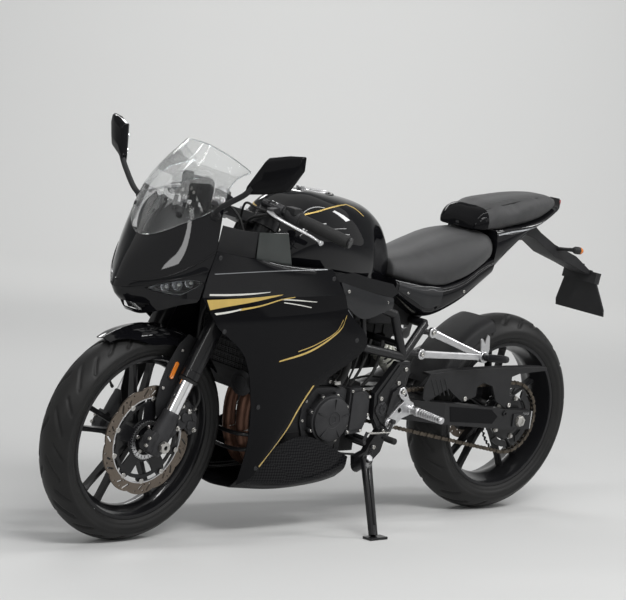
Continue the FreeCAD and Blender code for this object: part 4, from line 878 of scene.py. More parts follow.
def front_disc():
    """Wave disc on its spider, with buttons, screws and the speed sensor's toothed ring."""
    c = FRONT_AXLE
    holes = [circle(c.x, c.z, FRONT_DISC_HOLE_R, 120)]
    for base in angles(10):
        holes.append(slot_hole(c, 134, base + 0.10, 20, 5.5, 0.75))
        holes.append(slot_hole(c, 131, base + 0.31, 13, 5.0, 0.75))
        holes += [circle(*polar(c, r, base + on), size, 12)
                  for r, on, size in ((141, 0.24, 2.9), (124, 0.21, 2.6), (142, 0.44, 2.6))]
    rotor = plate(disc_outline(c, FRONT_DISC_R, FRONT_WAVES, 7), 59.8, 64.2, holes, 0.4)
    piece("front_disc_rotor", rotor, "front_wheel", "front_disc", ("front_disc",), angle=30)
    inner_edge = lathe([(115.6, 59.6), (118.8, 59.6), (118.8, 64.5), (115.6, 64.5)], c, 120, True)
    piece("front_disc_edge", inner_edge, "front_wheel", "alloy")
    windows = []
    for mid in (math.pi / 2 + a for a in angles(5, 0.5)):
        arc = [(96, mid + 0.40 * (t / 4 - 1)) for t in range(9)]
        arc += [(60, mid + 0.30 * (1 - t / 4)) for t in range(9)]
        windows.append([polar(c, r, a) for r, a in arc])
    outline = []
    for a in angles(200):
        lobe = max(0.0, math.cos(10 * (a - math.pi / 2))) ** 0.5
        outline.append(polar(c, 106 + 12 * lobe, a))
    spider = plate(outline, 55.5, 60.5, windows + [circle(c.x, c.z, 27, 40)], 0.8)
    boss = lathe([(27, 50.2), (40, 50.2), (44, 55.5), (44, 60.5), (27, 60.5)], c, 64, True)
    piece("front_disc_spider", joined([spider, boss]), "front_wheel", "rim", angle=35)
    buttons, screws = [], []
    for a in angles(10):
        x, z = polar(c, 114, math.pi / 2 + a)
        buttons.append(turned([(0, 7), (1.2, 7.6), (2.0, 7.0), (2.0, 3.6), (0.8, 3.2)], V(x, 63.4, z),
                              V(x, 66.2, z), 20))
    for a in angles(5):
        x, z = polar(c, 36, math.pi / 2 + a)
        screws.append(bolt(V(x, 60.5, z), V(0, 1, 0), 5.5, 5.0))
    piece("front_disc_buttons", joined(buttons + screws), "front_wheel", "steel")
    slots = [slot_hole(c, 46.5, a, 5, 3.0, 0.0) for a in angles(24)]
    ring = plate(toothed(c, SENSOR_TEETH, 54, 50.5), 61.0, 64.0, [circle(c.x, c.z, 41.5, 60)] + slots, 0.2)
    piece("front_sensor_ring", ring, "front_wheel", "alloy", angle=30)


def rear_disc():
    """Wave disc on a dished carrier, with its sensor ring."""
    c = REAR_AXLE
    holes = [circle(c.x, c.z, REAR_DISC_HOLE_R, 96)]
    # the outer holes stay clear of the dips in the disc's edge, or the plate would not fill
    holes += [circle(*polar(c, r, a + on), 3.6, 12)
              for a in angles(12) for r, on in ((100, 0.0), (94, 0.17), (87, 0.34))]
    rotor = plate(disc_outline(c, REAR_DISC_R, REAR_WAVES, 4), -88.4, -83.6, holes, 0.4)
    piece("rear_disc_rotor", rotor, "rear_wheel", "rear_disc", ("rear_disc",), angle=30)
    carrier = [(24, -70.2), (44, -70.2), (60, -78), (84, -83.2), (86, -86), (60, -84), (40, -80), (24, -80)]
    piece("rear_disc_carrier", lathe(carrier, c, 72, True), "rear_wheel", "rim")
    ring = plate(toothed(c, SENSOR_TEETH, 62, 58), -88.2, -86.0, [circle(c.x, c.z, 49, 60)], 0.2)
    piece("rear_sensor_ring", ring, "rear_wheel", "alloy", angle=30)


CHAIN_TEETH = 44
CHAIN_PITCH = 2 * PITCH_R_REAR * math.sin(math.pi / CHAIN_TEETH)


def chain_path():
    """Roller centres round both sprockets, evenly spaced, starting in the rear sprocket's front gap."""
    reach = math.hypot(DRIVE_X, DRIVE_Z - REAR_R)
    tilt = math.atan2(DRIVE_Z - REAR_R, DRIVE_X)
    spread = math.acos((PITCH_R_REAR - PITCH_R_FRONT) / reach)
    straight = math.sqrt(reach ** 2 - (PITCH_R_REAR - PITCH_R_FRONT) ** 2)
    rear_arc = (2 * math.pi - 2 * spread) * PITCH_R_REAR
    front_arc = 2 * spread * PITCH_R_FRONT
    total = 2 * straight + rear_arc + front_arc
    count = 2 * round(total / CHAIN_PITCH / 2)
    spots = []
    for n in range(count):
        d = total * n / count
        if d < rear_arc:
            a = tilt + spread + d / PITCH_R_REAR
            spots.append((PITCH_R_REAR * math.cos(a), REAR_R + PITCH_R_REAR * math.sin(a)))
            continue
        d -= rear_arc
        low = tilt - spread
        if d < straight:
            t = d / straight
            spots.append(((1 - t) * PITCH_R_REAR * math.cos(low)
                          + t * (DRIVE_X + PITCH_R_FRONT * math.cos(low)),
                          (1 - t) * (REAR_R + PITCH_R_REAR * math.sin(low))
                          + t * (DRIVE_Z + PITCH_R_FRONT * math.sin(low))))
            continue
        d -= straight
        if d < front_arc:
            a = low + d / PITCH_R_FRONT
            spots.append((DRIVE_X + PITCH_R_FRONT * math.cos(a), DRIVE_Z + PITCH_R_FRONT * math.sin(a)))
            continue
        d -= front_arc
        high = tilt + spread
        t = d / straight
        spots.append(((1 - t) * (DRIVE_X + PITCH_R_FRONT * math.cos(high))
                      + t * PITCH_R_REAR * math.cos(high),
                      (1 - t) * (DRIVE_Z + PITCH_R_FRONT * math.sin(high))
                      + t * (REAR_R + PITCH_R_REAR * math.sin(high))))
    return spots, tilt + spread


def link_plate(a, b, y0, y1, radius):
    """A figure-of-eight chain plate between two rollers."""
    angle = math.atan2(b[1] - a[1], b[0] - a[0])
    out = []
    for (x, z), start in ((a, angle + math.pi / 2), (b, angle - math.pi / 2)):
        out += [(x + radius * math.cos(start + math.pi * k / 6),
                 z + radius * math.sin(start + math.pi * k / 6))
                for k in range(7)]
        if (x, z) == a:
            out.append(((a[0] + b[0]) / 2 + radius * 0.66 * math.cos(angle - math.pi / 2),
                        (a[1] + b[1]) / 2 + radius * 0.66 * math.sin(angle - math.pi / 2)))
    out.append(((a[0] + b[0]) / 2 + radius * 0.66 * math.cos(angle + math.pi / 2),
                (a[1] + b[1]) / 2 + radius * 0.66 * math.sin(angle + math.pi / 2)))
    count = len(out)
    points = [V(x, y, z) for y in (y0, y1) for x, z in out]
    faces = [tuple(range(count)), tuple(reversed(range(count, 2 * count)))]
    faces += [(k, (k + 1) % count, count + (k + 1) % count, count + k) for k in range(count)]
    mesh = mesh_of(points, faces)
    fix_normals(mesh)
    return mesh


def chain():
    """The links round both sprockets."""
    spots, _ = chain_path()
    meshes = []
    for n, a in enumerate(spots):
        b = spots[(n + 1) % len(spots)]
        levels = ((-7.6, -6.2), (6.2, 7.6)) if n % 2 else ((-5.4, -4.2), (4.2, 5.4))
        meshes += [link_plate(a, b, CHAIN_Y + y0, CHAIN_Y + y1, 5.8) for y0, y1 in levels]
        meshes.append(pin(a[0], a[1], 4.4, CHAIN_Y - 4.1, CHAIN_Y + 4.1, 12, 0.3))
        meshes.append(pin(a[0], a[1], 2.1, CHAIN_Y - 8.0, CHAIN_Y + 8.0, 10, 0.3))
    piece("chain_links", joined(meshes), "chassis", "chain", ("drive_chain",), angle=30)


def sprocket_outline(c, pitch_r, teeth, phase, roller=4.9, tip=4.2):
    """Tooth flanks as arcs round the rollers' places and short rounded tips between them."""
    out = []
    for k in range(teeth):
        a = phase + 2 * math.pi * k / teeth
        gx, gz = polar(c, pitch_r, a)
        for t in range(7):
            b = a + math.pi + (t / 6 - 0.5) * 2.2
            out.append((gx + roller * math.cos(b), gz + roller * math.sin(b)))
        out.append(polar(c, pitch_r + tip, a + math.pi / teeth))
    return out


def sprockets():
    """The rear sprocket's toothed plate and its nuts."""
    _, phase = chain_path()
    c = REAR_AXLE
    windows = []
    for mid in angles(5):
        arc = [(92, mid + 0.42 * (t / 5 - 1)) for t in range(11)] + [(74, mid + 0.34 * (1 - t / 5))
                for t in range(11)]
        windows.append([polar(c, r, a) for r, a in arc])
    outline = sprocket_outline(c, PITCH_R_REAR, CHAIN_TEETH, phase)
    big = plate(outline, CHAIN_Y - 3, CHAIN_Y + 3, windows + [circle(c.x, c.z, 50, 60)], 0.5)
    spider = lathe([(24, 70.2), (50, 70.2), (66, 80), (70, 89), (66, 91), (54, 94.5), (24, 94.8)], c, 72,
                   True)
    piece("rear_sprocket_teeth", joined([big, spider]), "rear_wheel", "frame",
          ("rear_sprocket",))
    spots = [((x, CHAIN_Y + 2.4, z), (0, 1, 0)) for x, z in (polar(c, 62, a) for a in angles(5, 0.5))]
    bolts("rear_sprocket_nuts", "rear_wheel", spots, radius=6.5, head=6, kind="hex")


# ---- fork and steering -------------------------------------------------------------------------------------
FORK_TUBE_LOW, FORK_TUBE_TOP = 192.0, 705.0


def fork():
    """Both legs: outer tubes, caps, seals, sliders and the clamps at the axle."""
    tube = [(0, 20.8), (0, 25), (2, 27.5), (22, 27.5), (24, 26), (512, 26), (513, 24)]
    base, top = on_leg(FORK_TUBE_LOW), on_leg(FORK_TUBE_TOP)
    piece("fork_outer_tubes", both_sides(turned(tube, base, top, 48)), "steering", "rim",
          ("fork_tubes",))
    cap = [(0, 22), (3, 22), (4, 20), (8, 20), (9, 13), (14, 13), (15, 12)]
    caps = turned(cap, on_leg(FORK_TUBE_TOP + 0.5), on_leg(FORK_TUBE_TOP + 5), 36)
    piece("fork_caps", both_sides(caps), "steering", "alloy")
    seal = turned([(0, 21), (0, 25.8), (7, 26.4), (9, 24), (9, 21)], on_leg(FORK_TUBE_LOW - 9),
                  on_leg(FORK_TUBE_LOW), 48)
    piece("fork_seals", both_sides(seal), "steering", "rubber")
    slider = turned([(0, 20.4), (118, 20.4)], on_leg(80), on_leg(FORK_TUBE_LOW + 6), 48)
    piece("fork_sliders", both_sides(slider), "steering", "chrome", ("fork_legs",))
    clamp = turned([(0, 16), (3, 21), (20, 26.5), (66, 27), (98, 25.6), (112, 24), (122, 24), (126, 22)],
                   on_leg(-32), on_leg(94), 48)
    ear = plate(leg_outline(((24, 22), (26, 36), (12, 42), (-16, 42), (-28, 34), (-28, 18))),
                LEG_Y - 17, LEG_Y + 17, (), 2.0)
    lug = plate(axle_outline(((8, 16), (22, 84), (58, 76), (62, 62), (46, 50), (50, 36), (76, 42),
                              (80, 30), (40, -4))),
                LEG_Y - 17, LEG_Y - 5, (), 1.6)
    right = joined([flipped(clamp), flipped(ear)])
    piece("axle_clamps", joined([clamp, ear, lug, right]), "steering", "cast",
          ("fork_legs",), angle=45)
    spots = []
    for side in (1, -1):
        for s in (4, -16):
            at = on_leg(s, (LEG_Y + 12) * side, 42)
            spots.append((at, STEER_FORWARD))
    bolts("axle_pinch_bolts", "steering", spots, radius=5, head=5)


def axle_ends():
    """The front axle's head and nut."""
    half = LEG_Y + 27
    for side in (1, -1):
        ring = [(11, half * side), (17, half * side), (17, (half + 9) * side), (15.5, (half + 11) * side),
                (11, (half + 11) * side)]
        nut = lathe(ring, FRONT_AXLE, 6, True)
        piece("front_axle_nut" if side > 0 else "front_axle_head", nut, "steering", "steel",
              angle=25)


def yoke_detail():
    """The top yoke's bolts, the steering nut and the ignition lock."""
    spots = []
    for side in (1, -1):
        for s in (433, 446, 659):
            at = on_leg(s, (LEG_Y + 18) * side, -33)
            spots.append((at, -STEER_FORWARD + V(0, 0.1 * side, 0)))
    bolts("yoke_bolts", "steering", spots, radius=5, head=5)
    nut = turned([(0, 17), (4, 17), (5, 15), (10, 15), (11, 8), (6, 7)], on_stem(673), on_stem(680), 6)
    piece("steering_nut", nut, "steering", "steel", angle=25)
    key = turned([(0, 14), (8, 14), (9, 13), (9, 4), (6, 3)], on_stem(673, 0, 34), on_stem(680, 0, 34), 32)
    piece("ignition_lock", key, "steering", "alloy")


def front_fender():
    """A shell over the tyre, drawn out to a pointed beak, with side skirts at the fork."""
    rows = []
    count = 40
    for i in range(count + 1):
        t = i / count
        angle = math.radians(29 - 82 * t)
        beak = min(1.0, t / 0.30)
        ease = beak * beak * (3 - 2 * beak)
        # side edge: how far down the shell reaches, as a share of the full section
        reach = 0.34 + 0.66 * ease
        if t > 0.86:
            reach -= 0.30 * (t - 0.86) / 0.14
        section = [(303.5, 0.0), (302.6, 14), (299.8, 28), (295, 40.5), (287.5, 52), (277, 61), (263, 68.5)]
        fine = through([V(r, y, 0) for r, y in section], 3)
        limit = reach * (len(fine) - 1)
        half = []
        for k in range(10):
            pos = limit * k / 9
            j = min(int(pos), len(fine) - 2)
            p = fine[j].lerp(fine[j + 1], pos - j)
            peak = 2.5 * math.exp(-(p.y / 7.0) ** 2)
            half.append((p.x + peak + 3.0 * (1 - ease), p.y))
        ring = [(r, -y) for r, y in reversed(half[1:])] + half
        rows.append([V(WHEELBASE + r * math.sin(angle), y, FRONT_R + r * math.cos(angle)) for r, y in ring])
    shell = skin([list(reversed(row)) for row in rows], 3.0)
    piece("fender_shell", shell, "steering", "gloss", ("front_fender",))
    guard = leg_outline(((300, 6), (298, 44), (262, 60), (196, 66), (150, 60), (96, 42), (66, 18), (62, -8),
                         (84, -12), (170, -6), (230, -14)))
    skirt = plate(guard, 69.4, 72.6, (), 0.8)
    piece("fork_guards", both_sides(skirt), "steering", "matt", ("front_fender",))
    lens = leg_outline(((216, 33), (219, 38), (219, 43), (216, 47), (174, 44), (171, 40), (171, 34),
                        (174, 30)))
    border = leg_outline(((222, 30), (224, 38), (223, 46), (218, 51), (172, 48), (167, 42), (167, 32),
                          (172, 27)))
    lift = plate(border, 72.4, 75.0, (), 0.8)
    glow = plate(lens, 74.8, 78.0, (), 1.4)
    piece("reflector_frames", both_sides(lift), "steering", "matt")
    piece("fork_reflectors", both_sides(glow), "steering", "amber")
    spots = []
    for side in (1, -1):
        for s, a in ((252, 40), (140, 44)):
            spots.append((on_leg(s, 72.6 * side, a), V(0, side, 0)))
    bolts("fender_screws", "steering", spots, radius=4.5, head=2.6)


def caliper_body():
    """Two halves on either side of the front disc, the bridge over it, pistons, pads and screws."""
    x, z = FRONT_AXLE.x, FRONT_AXLE.z
    outline = axle_outline(((84, 22), (80, 60), (84, 92), (96, 106), (112, 104), (138, 84), (152, 58),
                            (154, 32), (146, 14), (130, 10), (122, 22), (110, 30)))
    outer = plate(outline, 70.8, 83.4, (), 2.6)
    inner = plate(outline, 40.5, 53.2, (), 2.6)
    bridge = plate(axle_outline(((112, 105), (140, 86), (155, 56), (156, 34), (149, 38), (147, 56), (134, 80),
                                 (117, 102))), 45, 80, (), 1.6)
    window = plate(axle_outline(((118, 92), (140, 68), (146, 48), (136, 48), (128, 66), (112, 82))),
                   83.0, 85.4, (), 1.0)
    pistons = [pin(x - dx, z + dz, 13.5, 83.2, 87.0, 32, 1.6) for dx, dz in ((104, 62), (128, 38))]
    piece("caliper_body", joined([outer, inner, bridge, window] + pistons), "steering",
          "cast", ("front_caliper",), angle=45)
    pads = plate(axle_outline(((96, 84), (112, 92), (140, 60), (144, 34), (126, 30), (112, 50))),
                 64.8, 70.0, (), 0.6)
    piece("brake_pads", pads, "steering", "steel")
    spots = [((x - 68, 94.6, z + 68), (0, 1, 0)), ((x - 74, 94.6, z + 36), (0, 1, 0)),
             ((x - 90, 83.4, z + 94), (0, 1, 0)), ((x - 144, 83.4, z + 24), (0, 1, 0))]
    bolts("caliper_bolts", "steering", spots, radius=5.5, head=6, kind="hex")


BAR_START, BAR_END = V(1104, 118, 948), V(1010, 350, 893)
LEVER_START = V(1138, 172, 937)
RESERVOIR_FOOT = V(1122, -176, 946)


def lever_blade(start, bend, end, tip):
    """A brake or clutch lever: flat oval sections that sweep out to a ball."""
    line = through([start, bend, end, tip], 8)
    rings = []
    for i, p in enumerate(line):
        t = i / (len(line) - 1)
        ahead = heading(line, i)
        up = V(0, 0, 1)
        out = ahead.cross(up).normalized()
        up = out.cross(ahead)
        wide = 9.5 - 3.5 * min(1.0, t * 1.6) + (3.2 if t > 0.93 else 0)
        thick = 4.6 + (3.0 if t > 0.93 else 0) - 0.8 * t
        rings.append(ring_of(p, out * wide, up * thick, 12))
    return loft(rings)


def half_bar():
    along = (BAR_END - BAR_START).normalized()
    clamp = turned([(0, 26.2), (0, 33), (2, 35), (24, 35), (26, 33), (26, 26.2)], on_leg(677), on_leg(703),
                   48)
    lug = loft([[on_leg(690, LEG_Y + 6, 0) + q for q in ring]
                for ring in ([V(16, 8, -10), V(16, 8, 10), V(-16, 20, 10), V(-16, 20, -10)],)]
               + [[BAR_START + along * 14 + q
                   for q in (V(11, 3, -12), V(11, 3, 12), V(-11, 7, 12), V(-11, 7, -12))]])
    return [clamp, lug, rod(BAR_START - along * 8, BAR_END + along * 2, 11)]


def handlebars():
    """Clip-ons, switch housings, levers with their perches, the master cylinder and its reservoir."""
    along = (BAR_END - BAR_START).normalized()
    piece("clip_ons", both_sides(joined(half_bar())), "steering", "frame", ("clip_on_bars",),
          angle=40)
    switch = []
    at = BAR_START + along * 66
    switch.append(turned([(0, 15), (2, 20), (14, 22), (30, 22), (42, 19), (44, 15)], at, at + along * 10, 36))
    switch.append(moved(box(-14, 14, -18, 18, -9, 9), Matrix.Translation(at + along * 22 + V(6, 2, 16))))
    switch.append(moved(box(-7, 7, -5, 5, -4, 4), Matrix.Translation(at + along * 14 + V(-13, 2, 16))))
    switch.append(moved(box(-6, 6, -5, 5, -4, 4), Matrix.Translation(at + along * 30 + V(-13, 2, 14))))
    piece("switch_housings", both_sides(joined(switch)), "steering", "matt", bevel=2.0,
          segments=3)
    perch = [turned([(0, 13), (2, 16), (20, 16), (22, 13)], BAR_START + along * 34, BAR_START + along * 60,
                    32)]
    perch.append(loft([[BAR_START + along * 45 + q
                        for q in (V(6, -10, -8), V(6, -10, 8), V(8, 10, 8), V(8, 10, -8))],
                       [LEVER_START + q for q in (V(2, -9, -7), V(2, -9, 7), V(4, 9, 7), V(4, 9, -7))]]))
    perch.append(rod(LEVER_START - V(2, 0, 9), LEVER_START + V(-2, 0, 9), 9))
    piece("lever_perches", both_sides(joined(perch)), "steering", "cast", angle=45)
    blade = lever_blade(LEVER_START, LEVER_START + V(6, 40, -10), V(1112, 300, 902), V(1104, 342, 889))
    piece("levers", both_sides(blade), "steering", "alloy", angle=50)
    foot = RESERVOIR_FOOT
    cup = turned([(-8, 9), (0, 13), (3, 15.5), (22, 15.8), (22.5, 15.8), (23, 16), (29, 16), (30, 14.5)],
                 foot, foot + V(0, 0, 30), 36)
    piece("brake_reservoir", cup, "steering", "matt", angle=40)
    cylinder = rod(V(1128, -140, 934), V(1112, -196, 924), 10)
    piece("master_cylinder", cylinder, "steering", "cast")
    sleeve_start = BAR_START + (BAR_END - BAR_START) * 0.42
    length = (BAR_END - sleeve_start).length
    profile = [(0, 12), (0, 19), (3, 19.5), (5, 17)]
    ribs = int((length - 16) / 5)
    for k in range(ribs):
        base = 7 + k * 5
        profile += [(base, 16.4), (base + 1.4, 16.9), (base + 3.0, 16.9), (base + 4.2, 16.4)]
    profile += [(length - 6, 17), (length - 2, 17.2), (length, 15), (length, 11.3)]
    grip = turned(profile, sleeve_start, BAR_END, 36)
    piece("grip_sleeves", both_sides(grip), "steering", "rubber", ("grips",), angle=28)
    weight = turned([(0, 10), (2, 15.5), (4, 14), (6, 14)], BAR_END + along * 0.5, BAR_END + along * 6, 32)
    piece("bar_weights", both_sides(weight), "steering", "frame")


def controls_lines():
    """Cables and hoses that stay on the steered group, from the levers down behind the yokes."""
    clutch = [LEVER_START + V(4, -6, 0), LEVER_START + V(20, -34, 2), V(1150, 96, 948), V(1128, 60, 930),
              V(1104, 34, 880), V(1120, 28, 806)]
    throttle = [V(1092, -150, 938), V(1128, -120, 946), V(1136, -70, 940), V(1118, -40, 900),
                V(1122, -30, 806)]
    throttle_b = [V(1088, -152, 926), V(1120, -128, 930), V(1126, -78, 930), V(1106, -48, 894),
                  V(1112, -38, 806)]
    switch_wire = [BAR_START + V(-8, 48, -10), BAR_START + V(10, 10, -30), V(1120, 78, 900),
                   V(1112, 52, 850), V(1126, 44, 800)]
    lines = [curve_mesh(route, r) for route, r in ((clutch, 3.2), (throttle, 2.8), (throttle_b, 2.8),
                                                   (switch_wire, 3.6))]
    piece("control_cables", joined(lines), "steering", "rubber")
    brake = [V(1126, -138, 934), V(1146, -108, 944), V(1152, -50, 938), V(1150, 0, 928), V(1146, 52, 916),
             V(1146, 92, 880), on_leg(560, 112, 40), on_leg(500, 110, 44), on_leg(430, 88, 46),
             on_leg(380, 76, 44), on_leg(330, 74, 28), on_leg(260, 72, -24), on_leg(180, 70, -58),
             V(1212, 66, 452), V(1196, 76, 420), V(1206, 88, 386), V(1232, 90, 372)]
    piece("brake_hose", curve_mesh(brake, 3.6), "steering", "rubber")
    banjo = joined([pin(1236, 372, 7, 82, 92, 24, 1), rod(V(1232, 88, 372), V(1212, 87, 378), 4.4)])
    piece("brake_banjo", banjo, "steering", "steel")
    sensor = [V(WHEELBASE - 20, 74, FRONT_R + 44), V(WHEELBASE - 36, 80, FRONT_R + 96),
              on_leg(150, 78, -36), on_leg(230, 76, -34), on_leg(300, 70, -30)]
    piece("speed_sensor_wire", curve_mesh(sensor, 2.4), "steering", "rubber")


# ---- frame, engine and exhaust -----------------------------------------------------------------------------
def engine_faces():
    """Ribbed and bolted covers over the engine's left and right sides."""
    cx, cz = 770, 342
    clutch_at = V(742, 0, 326)
    dome = [(0, 112), (70, 112), (70, 134), (68, 139), (64, 140), (62, 147), (56, 150.5), (34, 152.5),
            (24, 153.5), (23, 152), (16, 152), (15, 153.8), (9, 154), (8, 152.5), (0, 152.5)]
    cover = lathe(list(reversed(dome)), V(cx, 0, cz), 96)
    ribs = []
    for a in angles(5, 0.3):
        mid = V(cx + 42 * math.cos(a), 151.0, cz + 42 * math.sin(a))
        bar = box(-17.5, 17.5, -2.8, 2.8, -1.3, 1.3)
        bar.transform(at_angle(mid, -a) @ Matrix.Rotation(math.radians(3), 4, V(0, 0, 1)))
        ribs.append(bar)
    ears = []
    spots = []
    for a in angles(8, 0.4):
        x, z = polar(V(cx, 0, cz), 70, a)
        ears.append(pin(x, z, 7.5, 112, 133, 24, 1.2))
        spots.append(((x, 133, z), (0, 1, 0)))
    scut = plate([(704, 288), (702, 420), (722, 428), (840, 428), (860, 400), (864, 330), (846, 276),
                  (812, 246), (744, 240)],
                 112, 118, (), 1.2)
    clutch = lathe([(0, -146), (60, -146), (66, -144), (74, -137), (78, -133), (78, -112), (0, -112)],
                   clutch_at, 96)
    clutch_inner = lathe([(0, -148), (34, -148), (37, -146), (37, -145), (0, -145)], clutch_at, 72)
    outline = [(699, 290), (699, 425), (655, 428), (622, 405), (618, 345), (640, 296)]
    sprocket = plate(outline, 104, 131, (), 3.0)
    raised = plate([(692, 306), (692, 414), (660, 418), (632, 399), (628, 350), (648, 308)], 130, 137, (),
                   2.6)
    meshes = [cover, scut, clutch, clutch_inner, sprocket, raised] + ribs + ears
    piece("engine_cover_shells", joined(meshes), "chassis", "cast", ("engine_covers",),
          angle=32)
    for x, z in ((692, 300), (692, 418), (652, 422), (625, 400), (624, 348), (645, 302)):
        spots.append(((x, 131, z), (0, 1, 0)))
    for x, z in ((850, 392), (856, 336), (838, 276), (716, 300)):
        spots.append(((x, 118, z), (0, 1, 0)))
    spots += [((x, -137.5, z), (0, -1, 0)) for x, z in (polar(clutch_at, 72, a) for a in angles(9))]
    bolts("engine_screws", "chassis", spots, radius=4.2)


def engine_body():
    """Cases, cylinders and head, with their screws, water hoses and clips."""
    case = [box(700, 905, -112, 112, 218, 430), box(612, 702, -110, 74, 228, 428)]
    for x in range(716, 900, 22):
        case.append(box(x, x + 4, -116, 114, 226, 286))
    for z in (300, 330, 360, 390):
        case.append(box(700, 908, -114, 113.4, z, z + 3))
    sump = box(720, 880, -80, 80, 196, 220)
    plug = pin(700, 252, 12, 76, 84)
    case += [sump, plug, box(590, 613, -118, 118, 250, 274)]
    post = turned([(0, 8), (76, 8)], V(880, -60, 144), V(880, -60, 220), 20)
    case.append(post)
    piece("engine_cases", joined(case), "chassis", "engine", ("engine_block",), bevel=2.5,
          segments=2)
    head = [box(738, 905, -104, 104, 430, 452), box(742, 901, -100, 100, 452, 548),
            box(738, 905, -104, 104, 546, 558),
            box(745, 921, -104, 104, 558, 640), box(762, 908, -84, 84, 640, 664)]
    for k in range(5):
        z = 462 + k * 17
        head.append(box(739, 904, -103, 103, z, z + 4))
    piece("cylinders_and_head", joined(head), "chassis", "engine", ("cylinder_head",),
          bevel=2.5, segments=2)
    spots = [((x, 104, z), (0, 1, 0)) for x in (760, 800, 850, 895) for z in (442, 600)]
    bolts("cylinder_screws", "chassis", spots, radius=5, head=5)
    water = [V(760, 96, 600), V(742, 124, 590), V(720, 128, 540), V(716, 122, 470), V(742, 116, 430)]
    upper = [V(900, 60, 640), V(950, 80, 660), V(1000, 110, 640), V(1022, 147, 612)]
    hoses = joined([curve_mesh(water, 11), curve_mesh(upper, 12)])
    piece("water_hoses", hoses, "chassis", "rubber")
    clips = [rod(V(741, 116, 436), V(743, 115, 446), 13), rod(V(1012, 130, 628), V(1018, 140, 620), 14)]
    piece("hose_clips", joined(clips), "chassis", "steel")


# ---- nose, screen and fairings ---------------------------------------------------------------------------
# nose cowl: rows from the screen's foot down to the chin, (x, y, z) from the middle to the left edge
NOSE = [[(1398, 0, 832), (1383, 60, 846), (1348, 115, 880), (1308, 152, 910), (1264, 170, 938)],
        [(1430, 0, 776), (1410, 64, 782), (1368, 126, 798), (1330, 168, 814), (1290, 194, 828)],
        [(1452, 0, 722), (1422, 70, 726), (1380, 128, 738), (1342, 168, 752), (1308, 193, 764)],
        [(1462, 0, 694), (1424, 66, 700), (1384, 116, 714), (1346, 157, 729), (1312, 188, 738)],
        [(1450, 0, 672), (1412, 62, 674), (1374, 112, 680), (1348, 158, 690), (1322, 188, 694)],
        [(1402, 0, 628), (1392, 40, 628), (1366, 88, 646), (1346, 136, 668), (1322, 178, 684)]]
# windscreen: foot on the nose, and top edge, (x, y, z) from the middle outwards
SCREEN_FOOT = [(x, y, z + 1.4) for x, y, z in NOSE[0]]
SCREEN_TOP = [(1254, 0, 1087), (1247, 48, 1083), (1218, 88, 1066), (1184, 110, 1045), (1146, 120, 1022)]
SCREEN_BULGE = 26.0
# left fairing: front and rear edge, (x, y, z) from the top down
FAIRING_FRONT = [(1290, 196, 822), (1307, 196, 762), (1316, 192, 700), (1262, 204, 622), (1160, 200, 545),
                 (1108, 186, 430), (1090, 176, 300), (1082, 138, 170)]
FAIRING_REAR = [(1035, 188, 786), (880, 190, 778), (820, 190, 706), (808, 195, 664), (716, 190, 562),
                (880, 192, 450), (972, 192, 330), (1036, 172, 222)]
# cells that each cell of the coarse tables is cut into, and the nose table's middle column
FINE, FAIRING_FINE = 6, 5
NOSE_MIDDLE = 4


def sub_grid(grid, rows, cols):
    return [row[cols[0]:cols[1] + 1] for row in grid[rows[0]:rows[1] + 1]]


def shrunk(grid, share):
    """The grid drawn a little towards its middle."""
    centre = sum((p for row in grid for p in row), V(0, 0, 0)) / (len(grid) * len(grid[0]))
    return [[p.lerp(centre, share) for p in row] for row in grid]


def mesh_screen(name, grid, mat, thick):
    """A woven guard: the grid's cells cut cross-wise and kept as wires only."""
    cols = len(grid[0])
    points = [p for row in grid for p in row]
    faces = []
    for i in range(len(grid) - 1):
        for j in range(cols - 1):
            a = i * cols + j
            faces += [(a, a + 1, a + cols + 1), (a, a + cols + 1, a + cols)] if (i + j) % 2 else \
                     [(a, a + 1, a + cols), (a + 1, a + cols + 1, a + cols)]
    obj = piece(name, mesh_of(points, faces), "chassis", mat)
    wire = obj.modifiers.new("wires", "WIREFRAME")
    wire.thickness = thick * MM


# headlight: (row, column) places on the nose table, round the leaf; LAMP_OUT is the way it looks
LAMP_OUTLINE = [(2.95, 1.15), (2.6, 1.55), (2.36, 2.05), (2.32, 2.6), (2.42, 3.1), (2.65, 3.55), (2.95, 3.9),
                (3.2, 3.68), (3.45, 3.3), (3.72, 2.85), (3.74, 2.4), (3.55, 1.9), (3.25, 1.45)]
LAMP_OUT = V(0.86, 0.50, 0.06).normalized()


def nose_at(grid, row, col):
    """The point of the fine nose grid at a place counted in the coarse table's rows and columns."""
    i, j = row * FINE, (NOSE_MIDDLE + col) * FINE
    a, b = min(int(i), len(grid) - 2), min(int(j), len(grid[0]) - 2)
    s, t = i - a, j - b
    upper = grid[a][b].lerp(grid[a][b + 1], t)
    lower = grid[a + 1][b].lerp(grid[a + 1][b + 1], t)
    return upper.lerp(lower, s)


def lamp_ring(grid, size, depth):
    """The lamp's leaf outline on the nose, drawn in to a size and sunk by a depth."""
    count = len(LAMP_OUTLINE)
    middle = (sum(r for r, _ in LAMP_OUTLINE) / count, sum(c for _, c in LAMP_OUTLINE) / count)
    ring = through([V(middle[0] + (r - middle[0]) * size, middle[1] + (c - middle[1]) * size, 0)
                    for r, c in LAMP_OUTLINE + LAMP_OUTLINE[:1]], 4)
    return [nose_at(grid, p.x, p.y) - LAMP_OUT * depth for p in ring]


